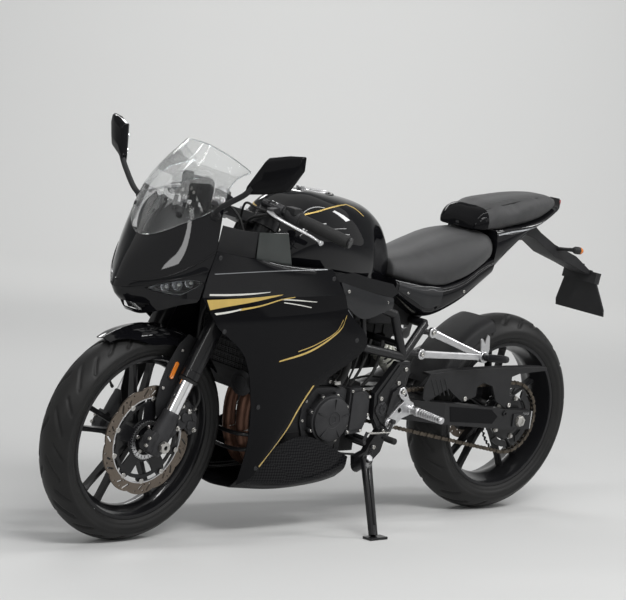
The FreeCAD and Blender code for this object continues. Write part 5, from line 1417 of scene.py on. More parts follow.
def nose():
    """The nose cowl's skin, air intake, headlights and ridges."""
    grid = smooth_grid(mirrored_rows(NOSE), FINE, (3, 4))
    holes = set()
    mouth_rows = (4 * FINE + 2, 5 * FINE - 1)
    for i in range(*mouth_rows):
        half = 8 - (i - mouth_rows[0])
        holes |= {(i, j) for j in range(NOSE_MIDDLE * FINE - half, NOSE_MIDDLE * FINE + half)}
    shell = skin(grid, 3.5, holes)
    for side in (1, -1):
        cutter = loft([lamp_ring(grid, 1.0, 22)[:-1], lamp_ring(grid, 1.0, -14)[:-1]])
        fix_normals(cutter)
        shell = cut(shell, cutter if side > 0 else flipped(cutter))
    piece("nose_skin", shell, "chassis", "gloss", ("nose_cowl",), angle=30)
    behind = sub_grid(grid, (mouth_rows[0] - 1, mouth_rows[1] + 1),
                      (NOSE_MIDDLE * FINE - 10, NOSE_MIDDLE * FINE + 10))
    normals = grid_normals(behind)
    behind = [[p - n * 12 for p, n in zip(row, line)] for row, line in zip(behind, normals)]
    mesh_screen("intake_mesh", smooth_grid(behind, 2), "matt", 1.1)
    duct = [[p - n * 16 for p, n in zip(row, line)] for row, line in zip(behind, normals)]
    piece("intake_duct", skin(duct, 3), "chassis", "matt")
    dish = [lamp_ring(grid, size, depth)
            for size, depth in ((1.0, 0.5), (0.985, 5), (0.93, 18), (0.80, 27), (0.45, 31), (0.03, 32))]
    lens = [lamp_ring(grid, size, depth)
            for size, depth in ((0.985, 1.2), (0.8, 0.2), (0.55, -0.6), (0.3, -1.0), (0.03, -1.2))]
    piece("headlight_housings", both_sides(skin(dish, 2.0)), "chassis", "lower",
          ("headlights",), angle=25)
    piece("headlight_lenses", both_sides(skin(lens, 1.6)), "chassis", "lens", angle=50)
    bowls, bulbs, trims = [], [], []
    for row, col, radius in ((3.02, 1.95, 9.5), (2.98, 2.5, 12), (2.92, 3.05, 10)):
        back = nose_at(grid, row, col) - LAMP_OUT * 27
        bowls.append(turned([(0, 2), (1, 5), (5, radius * 0.72), (12, radius * 0.94), (18, radius + 0.5),
                             (19, radius + 2),
                             (16, radius + 2), (10, radius), (0, radius * 0.7)], back, back + LAMP_OUT, 36))
        bulbs.append(turned([(3, 2), (4, 4), (8, 4.6), (11, 3.5), (12, 1.6)], back, back + LAMP_OUT, 20))
    for low, high in ((0.86, 0.90), (0.93, 0.955)):
        inner, outer = lamp_ring(grid, low, 14), lamp_ring(grid, high, 11)
        trims.append(skin([outer, inner], 1.2))
    piece("headlight_bowls", both_sides(joined(bowls)), "chassis", "reflector", angle=40)
    piece("headlight_bulbs", both_sides(joined(bulbs)), "chassis", "white", angle=40)
    piece("headlight_trims", both_sides(joined(trims)), "chassis", "edge", angle=40)
    ridge = through([nose_at(grid, r, c) + V(0.4, 0.3, 0.2)
                     for r, c in ((2.28, 0), (2.12, 1), (1.84, 2), (1.46, 3), (1.1, 3.98))], 4)
    under = through([nose_at(grid, r, c) + V(0.4, 0.3, 0.1)
                     for r, c in ((2.9, 0.4), (2.48, 1.3), (2.12, 2.3), (1.98, 3.1), (1.86, 3.98))], 4)
    piece("nose_ridges", both_sides(joined([curve_mesh(ridge, 2.6), curve_mesh(under, 2.0)])), "chassis",
          "gloss")


def screen_rows():
    rows = []
    for i in range(5):
        t = i / 4
        swell = SCREEN_BULGE * 4 * t * (1 - t)
        rows.append([V(*top) * (1 - t) + V(*foot) * t + V(swell * 0.8, 0, swell * 0.5)
                     for foot, top in zip(SCREEN_FOOT, SCREEN_TOP)])
    return mirrored_rows(rows)


def windscreen():
    """The clear sheet with its edge, screws and nuts."""
    grid = smooth_grid(screen_rows(), 6)
    piece("screen_sheet", skin(grid, 3.0), "chassis", "screen", ("windscreen",))
    normals = grid_normals(grid)
    foot_row = len(grid) - 4
    spots = []
    for col in (4, 14, len(grid[0]) - 15, len(grid[0]) - 5):
        p, n = grid[foot_row][col], normals[foot_row][col]
        spots.append((p, n))
    bolts("screen_screws", "chassis", [(tuple(p), tuple(n)) for p, n in spots], mat="matt",
          slot="black_matt", radius=6, head=3.4)
    backs = [turned([(0, 5), (1, 8), (6, 8), (7, 6)], p - n * 3.2, p - n * 10, 20) for p, n in spots]
    piece("screen_nuts", joined(backs), "chassis", "rubber")
    border = [grid[0][k] - normals[0][k] * 1.5 for k in range(0, len(grid[0]), 3)]
    side = [grid[i][0] - normals[i][0] * 1.5 for i in range(len(grid) - 1, 0, -3)]
    other = [grid[i][-1] - normals[i][-1] * 1.5 for i in range(2, len(grid), 3)]
    rim = curve_mesh(side + border + other, 2.0, sides=3)
    piece("screen_edge", rim, "chassis", "edge_clear")


def fairings():
    """Side fairings with stripes, a painted highlight line along the top, and screws, and the dark panels
    behind them.
    """
    grid = smooth_grid(span(FAIRING_FRONT, FAIRING_REAR, 7, 12), FAIRING_FINE, (1, 2, 3))
    solid = skin(grid, 3.5)
    tree = surface_of(solid)
    split = 2 * FAIRING_FINE
    upper, lower = grid[:split + 1], grid[split:]
    piece("fairing_upper", both_sides(skin(upper, 3.5)), "chassis", "gloss",
          ("side_fairings",), angle=30)
    piece("fairing_lower", both_sides(skin(lower, 3.5)), "chassis", "lower", angle=30)
    stripes = {
        "gold": [([(1302, 694), (1240, 697), (1150, 702), (1054, 711)],
                  [(1290, 668), (1240, 677), (1150, 691), (1060, 708)]),
                 ([(1200, 672), (1130, 682), (1060, 698), (1010, 704)],
                  [(1196, 667), (1130, 678), (1060, 695), (1012, 702)]),
                 ([(812, 652), (836, 611), (932, 560), (1040, 530)],
                  [(812, 646), (838, 605), (934, 553), (1041, 526)]),
                 ([(824, 640), (850, 606), (920, 574), (980, 556)],
                  [(824, 637), (851, 603), (921, 571), (981, 553)]),
                 ([(896, 456), (940, 390), (973, 329), (1039, 228)],
                  [(902, 457), (946, 391), (979, 329), (1043, 232)])],
        "white": [([(1296, 710), (1230, 711), (1160, 714), (1100, 718)],
                   [(1295, 705), (1230, 706), (1160, 710), (1102, 716)]),
                  ([(1276, 660), (1230, 666), (1190, 673)], [(1270, 655), (1230, 661), (1192, 669)]),
                  ([(1060, 699), (1000, 696), (930, 690)], [(1060, 696), (1000, 693), (932, 688.5)]),
                  ([(1050, 690), (1000, 684), (950, 676)], [(1050, 687.5), (1000, 681.5), (952, 674)])],
        # the pale line near the upper fairing's top is a painted highlight along its ridge, not a graphic
        "edge": [([(1290, 764), (1180, 771), (1060, 776), (900, 778)],
                  [(1290, 762), (1180, 769), (1060, 774), (902, 776.4)])],
    }
    for mat, pairs in stripes.items():
        left = joined([band(tree, a, b, 1) for a, b in pairs])
        piece(mat + "_stripes", both_sides(left), "chassis", mat)
    spots = []
    for x, z in ((1278, 806), (1240, 612), (872, 752), (762, 580), (1080, 400), (1050, 226)):
        p = onto(tree, x, z, 1, 0)
        if p:
            spots.append(p)
    heads = [bolt(p, V(0, 1, 0), 4.6, 1.6) for p in spots]
    washers = [turned([(0, 6.0), (0.8, 7.0), (1.2, 6.8)], p, p + V(0, 1, 0), 24) for p in spots]
    piece("fairing_screws", both_sides(joined(heads)), "chassis", "cast", angle=40)
    piece("fairing_washers", both_sides(joined(washers)), "chassis", "matt", angle=40)
    rim = [[V(1286, 186, 822), V(1240, 187, 815), V(1160, 187, 804), V(1080, 186, 792), V(1040, 184, 787)],
           [V(1270, 168, 812), V(1236, 162, 804), V(1160, 160, 793), V(1080, 158, 783), V(1044, 158, 778)],
           [V(1240, 152, 800), V(1216, 150, 792), V(1160, 148, 782), V(1080, 148, 773), V(1050, 148, 766)]]
    shelf = skin(smooth_grid(rim, 5), -2.5)
    piece("inner_shelves", both_sides(shelf), "chassis", "lower")
    pale = plate([(1134, 798), (1134, 870), (1034, 870), (1008, 782)], 166, 169, (), 1.0)
    piece("inner_panels", both_sides(pale), "chassis", "panel")
    dark = plate([(1136, 800), (1136, 870), (1190, 874), (1256, 886), (1268, 812)], 163, 166, (), 1.0)
    piece("inner_panel_fronts", both_sides(dark), "chassis", "matt")
    fill = plate([(900, 786), (780, 766), (690, 744), (600, 728), (578, 702), (604, 684), (700, 694),
                  (900, 742)], 138, 141.5, (), 1.0)
    piece("under_tank_panels", both_sides(fill), "chassis", "gloss")


# belly pan: (x, half width, low, side height)
BELLY = [(1066, 136, 140, 206), (950, 150, 132, 282), (860, 156, 134, 300), (760, 154, 142, 262),
         (692, 146, 152, 232)]


def belly():
    """The belly pan's skin."""
    rows = []
    for x, half, low, high in BELLY:
        ring = [(half, high), (half - 8, low + 44), (half - 44, low + 10), (0, low)]
        rows.append([V(x, y, z) for y, z in ring] + [V(x, -y, z) for y, z in reversed(ring[:-1])])
    grid = smooth_grid(rows, 6, (), (2, 4))
    piece("belly_skin", skin(grid, -3.5), "chassis", "weave", ("belly_pan",), angle=35)


def side_covers():
    """The side covers' skins and screws."""
    grid = [[V(822, 168, 738), V(690, 160, 706), V(604, 153, 690)],
            [V(790, 168, 668), V(712, 160, 632), V(602, 153, 660)]]
    middle = [(a + b) / 2 + V(0, 3, 0) for a, b in zip(*grid)]
    fine = smooth_grid([grid[0], middle, grid[1]], 6)
    piece("side_cover_skins", both_sides(skin(fine, 3.5)), "chassis", "satin", ("side_covers",))
    spots = [((790, 168.5, 712), (0.06, 1, 0.05)), ((628, 155, 678), (0.06, 1, 0.05))]
    bolts_each_side("side_cover_screws", spots, radius=5, head=2.4)


# ---- tank, seats and tail --------------------------------------------------------------------------------
# sections as (share of the half width, share of the height); tank: (x, half width, low, high, backward tilt)
TANK_SHAPE = [(0.0, 0.0), (0.66, 0.0), (0.93, 0.10), (1.0, 0.38), (0.93, 0.64), (0.72, 0.87), (0.38, 0.98),
              (0.0, 1.0)]
TANK = [(1022, 96, 776, 920, 0.48), (1004, 132, 768, 950, 0.44), (940, 156, 758, 966, 0.25),
        (860, 162, 748, 968, 0.08), (770, 152, 735, 960, 0.0), (690, 130, 716, 944, 0.0),
        (640, 108, 704, 924, 0.0), (600, 90, 702, 894, 0.0), (568, 72, 702, 850, 0.0)]
CAP_X, CAP_SEAT_Z, CAP_R = 822.0, 957.5, 43.0


def fuel_tank():
    """The tank's shell and lines, and the filler's neck, bezel, screws, lid and hinge."""
    rings = [half_section(x, half, low, high, TANK_SHAPE, tilt) for x, half, low, high, tilt in TANK]
    body = smooth_loft(rings, 6, 5)
    tree = surface_of(body)
    well = turned([(0, 48), (60, 48)], V(CAP_X, 0, CAP_SEAT_Z - 14), V(CAP_X, 0, CAP_SEAT_Z + 40), 64)
    piece("tank_shell", cut(body, well), "chassis", "tank", ("fuel_tank",), angle=40)
    centre = V(CAP_X, 0, CAP_SEAT_Z)
    neck = turned([(-14, 40), (-1, 40), (0, 39)], centre, centre + V(0, 0, 1), 64)
    piece("filler_neck", neck, "chassis", "alloy")
    bezel = turned([(-14, 48.2), (4.5, 48.2), (6, 49), (6, 57), (4.5, 59), (-2, 61), (-14, 61)], centre,
                   centre + V(0, 0, 1), 72,
                   closed=True)
    piece("filler_bezel", bezel, "chassis", "frame", angle=35)
    spots = []
    for a in angles(7, 0.5):
        spots.append(((CAP_X + 53.5 * math.cos(a), 53.5 * math.sin(a), CAP_SEAT_Z + 5.6), (0, 0, 1)))
    bolts("filler_screws", "chassis", spots, radius=2.9, head=2)
    lid = turned([(0.4, 40), (0.4, 42.4), (2, 43), (8, 43), (10.4, 41), (10.8, 38), (9.6, 36), (9.6, 22),
                  (10.9, 20), (10.9, 8)],
                 centre, centre + V(0, 0, 1), 72)
    hinge_x, hinge_z = CAP_X + CAP_R + 4, CAP_SEAT_Z + 16
    tongue = box(hinge_x - 17, hinge_x + 1, -5.8, 5.8, CAP_SEAT_Z + 9, CAP_SEAT_Z + 15.6)
    knuckle = pin(hinge_x, hinge_z, 4.4, -5.9, 5.9, 24, 0.6)
    flap = box(CAP_X - 20, CAP_X + 14, -8, 8, CAP_SEAT_Z + 10, CAP_SEAT_Z + 12.8)
    piece("filler_lid", joined([lid, tongue, knuckle, flap]), "fuel_cap", "alloy",
          ("fuel_cap",), bevel=0.7, angle=38)
    pin_mesh = [pin(hinge_x, hinge_z, 1.9, -13, 13, 16, 0.4)]
    pin_mesh += [box(hinge_x - 4, hinge_x + 5, y, y + 6, CAP_SEAT_Z - 2, hinge_z + 4) for y in (7, -13)]
    piece("filler_hinge", joined(pin_mesh), "chassis", "alloy", bevel=0.6)
    lines = [band(tree, [(960, 906), (920, 921), (870, 935), (820, 942), (776, 944)],
                  [(960, 902.5), (920, 918), (870, 932), (820, 939.5), (777, 942)],
                  1, 14, 1, 0.35),
             band(tree, [(776, 944), (744, 934), (716, 914)], [(777, 941.5), (746, 931.5), (718, 912.5)],
                  1, 10, 1, 0.35)]
    piece("tank_lines", both_sides(joined(lines)), "chassis", "gold")


# seats and tail: (x, half width, low, high), front to rear or rear to front
SEAT_SHAPE = [(0.0, 0.0), (0.86, 0.0), (1.0, 0.22), (0.97, 0.62), (0.78, 0.9), (0.4, 1.0), (0.0, 1.0)]
RIDER_SEAT = [(567.7, 100, 737.5, 790), (470, 122, 723, 806), (380, 134, 720, 834), (300, 138, 742, 858),
              (230, 130, 778, 870), (178, 106, 800, 876)]
PASSENGER_SEAT = [(242, 74, 880, 908), (222, 88, 880, 934), (180, 94, 882.3, 954), (150, 96, 884.3, 964),
                  (40, 90, 900.3, 980), (-40, 74, 917.3, 987), (-100, 54, 936.3, 987), (-144, 32, 952.3, 981)]


def swell(mesh, cap_mm, voxel_mm):
    """Blows the pad up a little as cloth, holds every point within the cap, and gives back a fine mesh."""
    scene = bpy.context.scene
    work = mesh.copy()
    work.transform(Matrix.Scale(MM, 4))
    obj = bpy.data.objects.new("pad", work)
    scene.collection.objects.link(obj)
    remesh = obj.modifiers.new("remesh", "REMESH")
    remesh.mode = "VOXEL"
    remesh.voxel_size = voxel_mm * MM
    graph = bpy.context.evaluated_depsgraph_get()
    even = bpy.data.meshes.new_from_object(obj.evaluated_get(graph))
    obj.modifiers.clear()
    obj.data = even
    start = [v.co.copy() for v in even.vertices]
    low = min(p.z for p in start)
    held = obj.vertex_groups.new(name="held")
    for k, p in enumerate(start):
        if p.z < low + 0.006:
            held.add([k], 1.0, "REPLACE")
    cloth = obj.modifiers.new("cloth", "CLOTH")
    cloth.settings.quality = 6
    cloth.settings.mass = 0.3
    cloth.settings.use_pressure = True
    cloth.settings.uniform_pressure_force = 4.0
    cloth.settings.tension_stiffness = 8
    cloth.settings.compression_stiffness = 8
    cloth.settings.bending_stiffness = 1.5
    cloth.settings.effector_weights.gravity = 0
    cloth.settings.vertex_group_mass = "held"
    cloth.point_cache.frame_end = 20
    for step in range(1, 21):
        scene.frame_set(step)
    graph = bpy.context.evaluated_depsgraph_get()
    blown = obj.evaluated_get(graph).to_mesh()
    end = [v.co.copy() for v in blown.vertices]
    obj.modifiers.clear()
    scene.frame_set(1)
    cap = cap_mm * MM
    for vertex, a, b in zip(even.vertices, start, end):
        move = b - a
        vertex.co = a + (move if move.length < cap else move.normalized() * cap)
    bpy.data.objects.remove(obj)
    even.transform(Matrix.Scale(1 / MM, 4))
    return even


def relaxed(mesh, rounds):
    """Evens out small creases."""
    bm = bmesh.new()
    bm.from_mesh(mesh)
    for _ in range(rounds):
        bmesh.ops.smooth_vert(bm, verts=bm.verts, factor=0.5, use_axis_x=True, use_axis_y=True,
                              use_axis_z=True)
    bm.to_mesh(mesh)
    bm.free()
    return mesh


def seat_pad(name, node, table, shrink, seams):
    """A padded cover over a seat, drawn in a little before it is blown up, with threads along its seams."""
    rings = []
    for x, half, low, high in table:
        rings.append(half_section(x, half - shrink, low, high - shrink, SEAT_SHAPE))
    mesh = smooth_loft(rings, 4, 4)
    mesh = swell(mesh, 4.0, 5.0)
    mesh = relaxed(mesh, 6)
    tree = surface_of(mesh)
    obj = piece(name, mesh, "chassis", "seat", (node,), levels=1, angle=70)
    threads = []
    for line in seams:
        points = []
        for x, y in line:
            hit = tree.ray_cast(V(x, y, 1200), V(0, 0, -1))[0]
            if hit is not None:
                points.append(hit + V(0, 0, 0.6))
        if len(points) > 2:
            threads.append(curve_mesh(points, 1.3, sides=3))
    if threads:
        piece(name + "_seams", joined(threads), "chassis", "rubber")


def seats():
    """The covers of both seats."""
    seat_pad("rider_pad", "rider_seat", RIDER_SEAT, 3, [])
    edge = [(206, 66), (150, 74), (60, 68), (-20, 56), (-90, 40), (-128, 26)]
    seat_pad("passenger_pad", "passenger_seat", PASSENGER_SEAT, 3, [edge, [(x, -y) for x, y in edge]])
    rows = []
    for x, half, low, high in ((243.5, 8, 888, 896), (243.2, 60, 881, 902), (240, 76, 879.5, 912),
                               (222, 90, 879.5, 936), (204, 93, 880.5, 946)):
        ring = half_section(x, half, low, high, SEAT_SHAPE)
        rows.append(ring + ring[:1])
    piece("passenger_pad_front", skin(smooth_grid(rows, 3), 2.0), "chassis", "lower", angle=40)


TAIL_SHAPE = [(0.0, 0.0), (0.62, 0.0), (0.9, 0.2), (1.0, 0.62), (0.96, 0.92), (0.9, 1.0), (0.0, 1.0)]
TAIL_HIGH = [(-166, 22, 948, 976), (-146, 42, 942, 952), (-100, 64, 926, 936), (-40, 86, 904, 917),
             (40, 102, 866, 900), (100, 106, 815, 890.9), (150, 108, 766, 884), (174, 110, 744, 882.2)]
TAIL_LOW = [(176, 112, 743, 798.7), (230, 118, 706, 777.7), (300, 126, 664, 741.7), (380, 128, 629, 719.7),
            (430, 128, 622, 721), (470, 128, 636, 722.7), (567.7, 119, 692, 737.2)]


def tail():
    """The tail's shell, painted highlight lines along its edges, side panels, screws and lamp lens."""
    upper_rings = [half_section(x, half, a, b, TAIL_SHAPE) for x, half, a, b in TAIL_HIGH]
    lower_rings = [half_section(x, half, a, b, TAIL_SHAPE) for x, half, a, b in TAIL_LOW]
    corners = (5, 7)
    upper = smooth_loft(upper_rings, 5, 5, (), corners)
    lower = smooth_loft(lower_rings, 5, 5, (), corners)
    tree = surface_of(upper)
    low_tree = surface_of(lower)
    piece("tail_shell", joined([upper, lower]), "chassis", "gloss", ("tail_cowl",), angle=40)
    # pale bands along the tail's edges: painted highlights that stand in for the lamps' reflection along the
    # glossy edge
    lines = [band(tree, [(168, 872), (110, 882), (40, 892), (-40, 908), (-96, 929), (-138, 946)],
                  [(168, 868), (110, 878), (40, 888), (-40, 904.5), (-96, 926.5), (-138, 944)], 1, 12, 1),
             band(tree, [(168, 764), (130, 806), (84, 846), (40, 876)],
                  [(168, 759), (130, 801), (85, 841), (42, 872)], 1, 10, 1)]
    piece("tail_edge_highlights", both_sides(joined(lines)), "chassis", "edge")
    patch = band(low_tree, [(560, 731), (500, 722), (440, 714), (386, 712)],
                 [(556, 706), (500, 680), (444, 655), (392, 664)], 1, 10, 8, 1.6)
    piece("tail_side_panels", both_sides(patch), "chassis", "satin")
    spots = []
    for x, z in ((300, 704), (520, 700)):
        for side in (1, -1):
            p = onto(tree if x < 170 else low_tree, x, z, side, 0)
            if p:
                spots.append((tuple(p), (0, side, 0.1)))
    bolts("tail_screws", "chassis", spots, radius=4.6, head=2.2)
    lamp_rings = [half_section(-178, 16, 952, 970, TAIL_SHAPE),
                  half_section(-172, 18.6, 950.5, 972.5, TAIL_SHAPE),
                  half_section(-166.3, 20, 950, 974, TAIL_SHAPE)]
    piece("tail_lamp_lens", smooth_loft(lamp_rings, 3, 3), "chassis", "red", ("tail_light",))


def hanger():
    """The bracket behind the tail with its blank plate and two indicators."""
    arm = [(-36, 901.9), (0, 884.7), (-14, 864), (-60, 852), (-150, 800), (-250, 768), (-330, 740),
           (-338, 750), (-256, 800), (-150, 836), (-80, 872)]
    beam = plate(arm, -41.5, 41.5, (), 3.0)
    ribs = [plate(arm, y, y + 4, (), 1.0) for y in (-43.8, 39.8)]
    holder = box(-352, -330, -70, 70, 716, 752)
    holder.transform(Matrix.Translation(V(-341, 0, 734)) @ Matrix.Rotation(math.radians(-9), 4,
            V(0, 1, 0)) @ Matrix.Translation(V(341, 0, -734)))
    piece("hanger_beam", joined([beam, holder] + ribs), "chassis", "matt", ("plate_hanger",),
          bevel=1.0)
    rings = [[V(x, -half, z), V(x + 2.4, -half, z), V(x + 2.4, half, z), V(x, half, z)]
             for z, x, half in ((752, -338.6, 51), (738, -340.8, 60), (642, -356, 101), (621, -359.4, 101))]
    backing = [[V(x + 2.6, -half, z), V(x + 7.6, -half + 3, z), V(x + 7.6, half - 3, z), V(x + 2.6, half, z)]
               for z, x, half in ((757, -338, 50), (738, -341, 62), (640, -356.5, 104), (618.6, -359.9, 104))]
    piece("blank_plate", loft(rings), "chassis", "plate", bevel=0.6)
    piece("plate_holder", loft(backing), "chassis", "matt", bevel=1.6, segments=3)
    spots = [((-342, y, 730), (-1, 0, 0.15)) for y in (-40, 40)]
    bolts("plate_screws", "chassis", spots, radius=4.5, head=2.4)
    stalks, bodies, glass = [], [], []
    for side in (1, -1):
        start, end = V(-165, 38 * side, 822), V(-166, 114 * side, 832)
        stalks.append(turned([(0, 7), (10, 6.4), (40, 5.6), (76, 6.6)], start, end, 24))
        at = V(-146, 124 * side, 834)
        aft = V(-44, 0, -4).normalized()
        bodies.append(turned([(0, 4), (2, 8), (10, 11.4), (24, 11.8), (26, 11)], at, at + aft, 28))
        glass.append(turned([(26, 11.4), (32, 11.2), (38, 9), (42, 5), (43, 2)], at, at + aft, 28))
    piece("indicator_stalks", joined(stalks + bodies), "chassis", "matt")
    piece("indicator_lenses", joined(glass), "chassis", "amber")
    lamp = box(-322, -300, -26, 26, 762, 774)
    piece("plate_lamp", lamp, "chassis", "matt", bevel=2.5, segments=3)


# ---- cockpit ---------------------------------------------------------------------------------------------
# mirror head, from the stem outwards: (x, y, low, high, depth)
MIRROR_TABLE = [(1278, 274, 984, 1006, 18), (1258, 318, 992, 1086, 32), (1240, 378, 1010, 1100, 32),
                (1226, 418, 1068, 1104, 16)]


def mirrors():
    """Faceted heads, low at the stem and high at the outer tip, on short arms off the nose."""
    rings, face = [], []
    for x, y, low, high, deep in MIRROR_TABLE:
        edge, half = (high - low) * 0.12, deep / 2
        middle = (low + high) / 2
        rings.append([V(x - half, y, low), V(x, y, low - 0.5), V(x + half * 0.7, y, low + edge),
                      V(x + half, y, middle - edge),
                      V(x + half * 0.72, y, high - edge), V(x, y, high + 0.5), V(x - half, y, high)])
        face.append([V(x - half - 0.5, y, low + edge), V(x - half - 0.5, y, middle),
                     V(x - half - 0.5, y, high - edge)])
    shell = loft(rings)
    glass = skin(smooth_grid(shrunk(face, 0.10), 3), 1.2)
    piece("mirror_shells", both_sides(shell), "chassis", "lower", ("mirrors",), bevel=5.0,
          segments=4, angle=22)
    piece("mirror_glasses", both_sides(glass), "chassis", "mirror")
    front, rear, low = V(*NOSE[0][3]), V(*NOSE[0][4]), V(*NOSE[1][4])
    normal = (low - front).cross(rear - front).normalized()
    foot = front * 0.4 + rear * 0.45 + low * 0.15
    base = turned([(0.4, 13), (3, 13.5), (6, 11.5), (12, 8.5)], foot, foot + normal, 28)
    stem = tube_line([foot + normal * 6, foot + normal * 25 + V(0, 6, 16), V(1282, 262, 978),
                      V(1276, 290, 1004)], 7.6, 18)
    piece("mirror_stems", both_sides(joined([base, stem])), "chassis", "matt")


def instruments():
    """The instruments with their mount and wires, and the dash panel."""
    x, low = 1230.0, 925.0
    body = loft([[V(x + dx, y, z)
                  for y, z in ((-half, low + 4), (-half, low + top - 8), (-half + 12, low + top),
                               (half - 12, low + top), (half, low + top - 8),
                               (half, low + 4), (half - 8, low), (8 - half, low))]
                 for dx, half, top in ((-11, 64, 66), (2, 66, 68), (12, 44, 56))])
    piece("instrument_housing", body, "chassis", "matt", ("instrument_panel",), bevel=3,
          segments=3)
    dial = turned([(0, 33), (2, 33), (2.6, 30)], V(x - 11, 26, low + 34), V(x - 12, 26, low + 34), 48)
    window = box(x - 12.6, x - 10.5, -58, -12, low + 14, low + 54)
    piece("instrument_glass", joined([dial, window]), "chassis", "display", bevel=1.0)
    bezel = turned([(0, 33), (0, 36), (3, 36), (4, 34.6), (3, 33)], V(x - 11, 26, low + 34),
                   V(x - 12, 26, low + 34), 48, closed=True)
    piece("instrument_bezel", bezel, "chassis", "alloy")
    carrier = [plate([(x + 12, low - 20), (x + 12, low + 50), (x + 20, low + 44), (x + 24, low - 20)],
                     y - 9, y + 9, (), 1.2) for y in (-24, 24)]
    rubbers = [turned([(0, 4), (0, 11), (5, 11), (6, 9.5), (6, 5)], V(x + 19, y, low + 24),
                      V(x + 29, y, low + 25), 28) for y in (-24, 24)]
    piece("instrument_carrier", joined(carrier), "chassis", "matt")
    piece("instrument_rubbers", joined(rubbers), "chassis", "rubber")
    bolts("instrument_bolts", "chassis", [((x + 24, y, low + 24.5), (1, 0, 0.1)) for y in (-24, 24)],
          radius=5, head=3)
    dash = [[V(px - 16, py * 0.9, pz - 12) for px, py, pz in NOSE[0]],
            [V(1262, 0, 880), V(1262, 52, 882), V(1258, 96, 886), V(1252, 128, 898), V(1244, 146, 914)],
            [V(1222, 0, 908), V(1222, 50, 908), V(1224, 92, 908), V(1226, 124, 912), V(1228, 142, 918)]]
    piece("dash_panel", skin(smooth_grid(mirrored_rows(dash), 4), 2.5), "chassis", "matt")
    bracket = [curve_mesh([V(1262, 0, 826), V(1258, 40 * s, 860), V(1246, 70 * s, 900),
                           V(1240, 68 * s, 930)], 6)
               for s in (1, -1)]
    piece("instrument_bracket", joined(bracket), "chassis", "frame")
    wires = [curve_mesh([V(1224, y, 926), V(1216, y * 1.3, 900), V(1206, y * 0.8, 870),
                         V(1196, y * 0.6, 820)], r)
             for y, r in ((20, 4), (-16, 3), (34, 2.6))]
    piece("instrument_wires", joined(wires), "chassis", "rubber")


# ---- frame, exhaust, rear end and footrests ----------------------------------------------------------------
def paint(node, mat, bevel=0.0, angle=35.0):
    """A CAD node that stays gets its finish, and rounded edges where they are asked for."""
    obj = NODES[node]
    if not obj.material_slots:
        obj.data.materials.append(M[mat])
    for slot in obj.material_slots:
        slot.material = M[mat]
    if bevel:
        mod = obj.modifiers.new("edges", "BEVEL")
        mod.width = bevel * MM
        mod.segments = 2
        mod.limit_method = "ANGLE"
        mod.angle_limit = math.radians(angle)


def flat_bar(start, end, wide_start, wide_end, thick):
    """A bar with a flattened rectangular section, its width upright and its thickness across the bike."""
    along = (end - start).normalized()
    out = V(0, 1, 0)
    up = out.cross(along).normalized()
    out = along.cross(up)
    rings = []
    for p, wide in ((start, wide_start), (start.lerp(end, 0.5), (wide_start + wide_end) * 0.47),
                    (end, wide_end)):
        w, t = wide / 2, thick / 2
        rings.append([p + up * a + out * b
                      for a, b in ((w, -t), (w, t * 0.5), (w * 0.7, t), (-w * 0.7, t), (-w, t * 0.5),
                                   (-w, -t))])
    return loft(rings)


def eye(at, radius, thick):
    """A round boss across the bike with a recessed face."""
    return turned([(0, radius - 1), (1, radius), (thick - 1.2, radius), (thick, radius - 1.4),
                   (thick, radius * 0.62),
                   (thick - 2, radius * 0.56)], at - V(0, thick / 2, 0), at + V(0, thick / 2, 0), 32)


# centre line of a header pipe, (x, z) from the head down to the collector
HEADER_RUN = [(922.3, 598), (956, 598), (974, 560), (976, 500), (990, 448), (1016, 398), (1022, 340),
              (1010, 272), (976, 218), (920, 196), (860, 192)]


def tube_line(points, radius, segments=24, steps=5):
    """A round tube that goes through its points."""
    line = through(points, steps)
    rings = []
    side = None
    for i, p in enumerate(line):
        ahead = heading(line, i)
        side = (side - ahead * side.dot(ahead)).normalized() if side else ahead.orthogonal().normalized()
        other = ahead.cross(side)
        rings.append(ring_of(p, side * radius, other * radius, segments))
    return loft(rings)


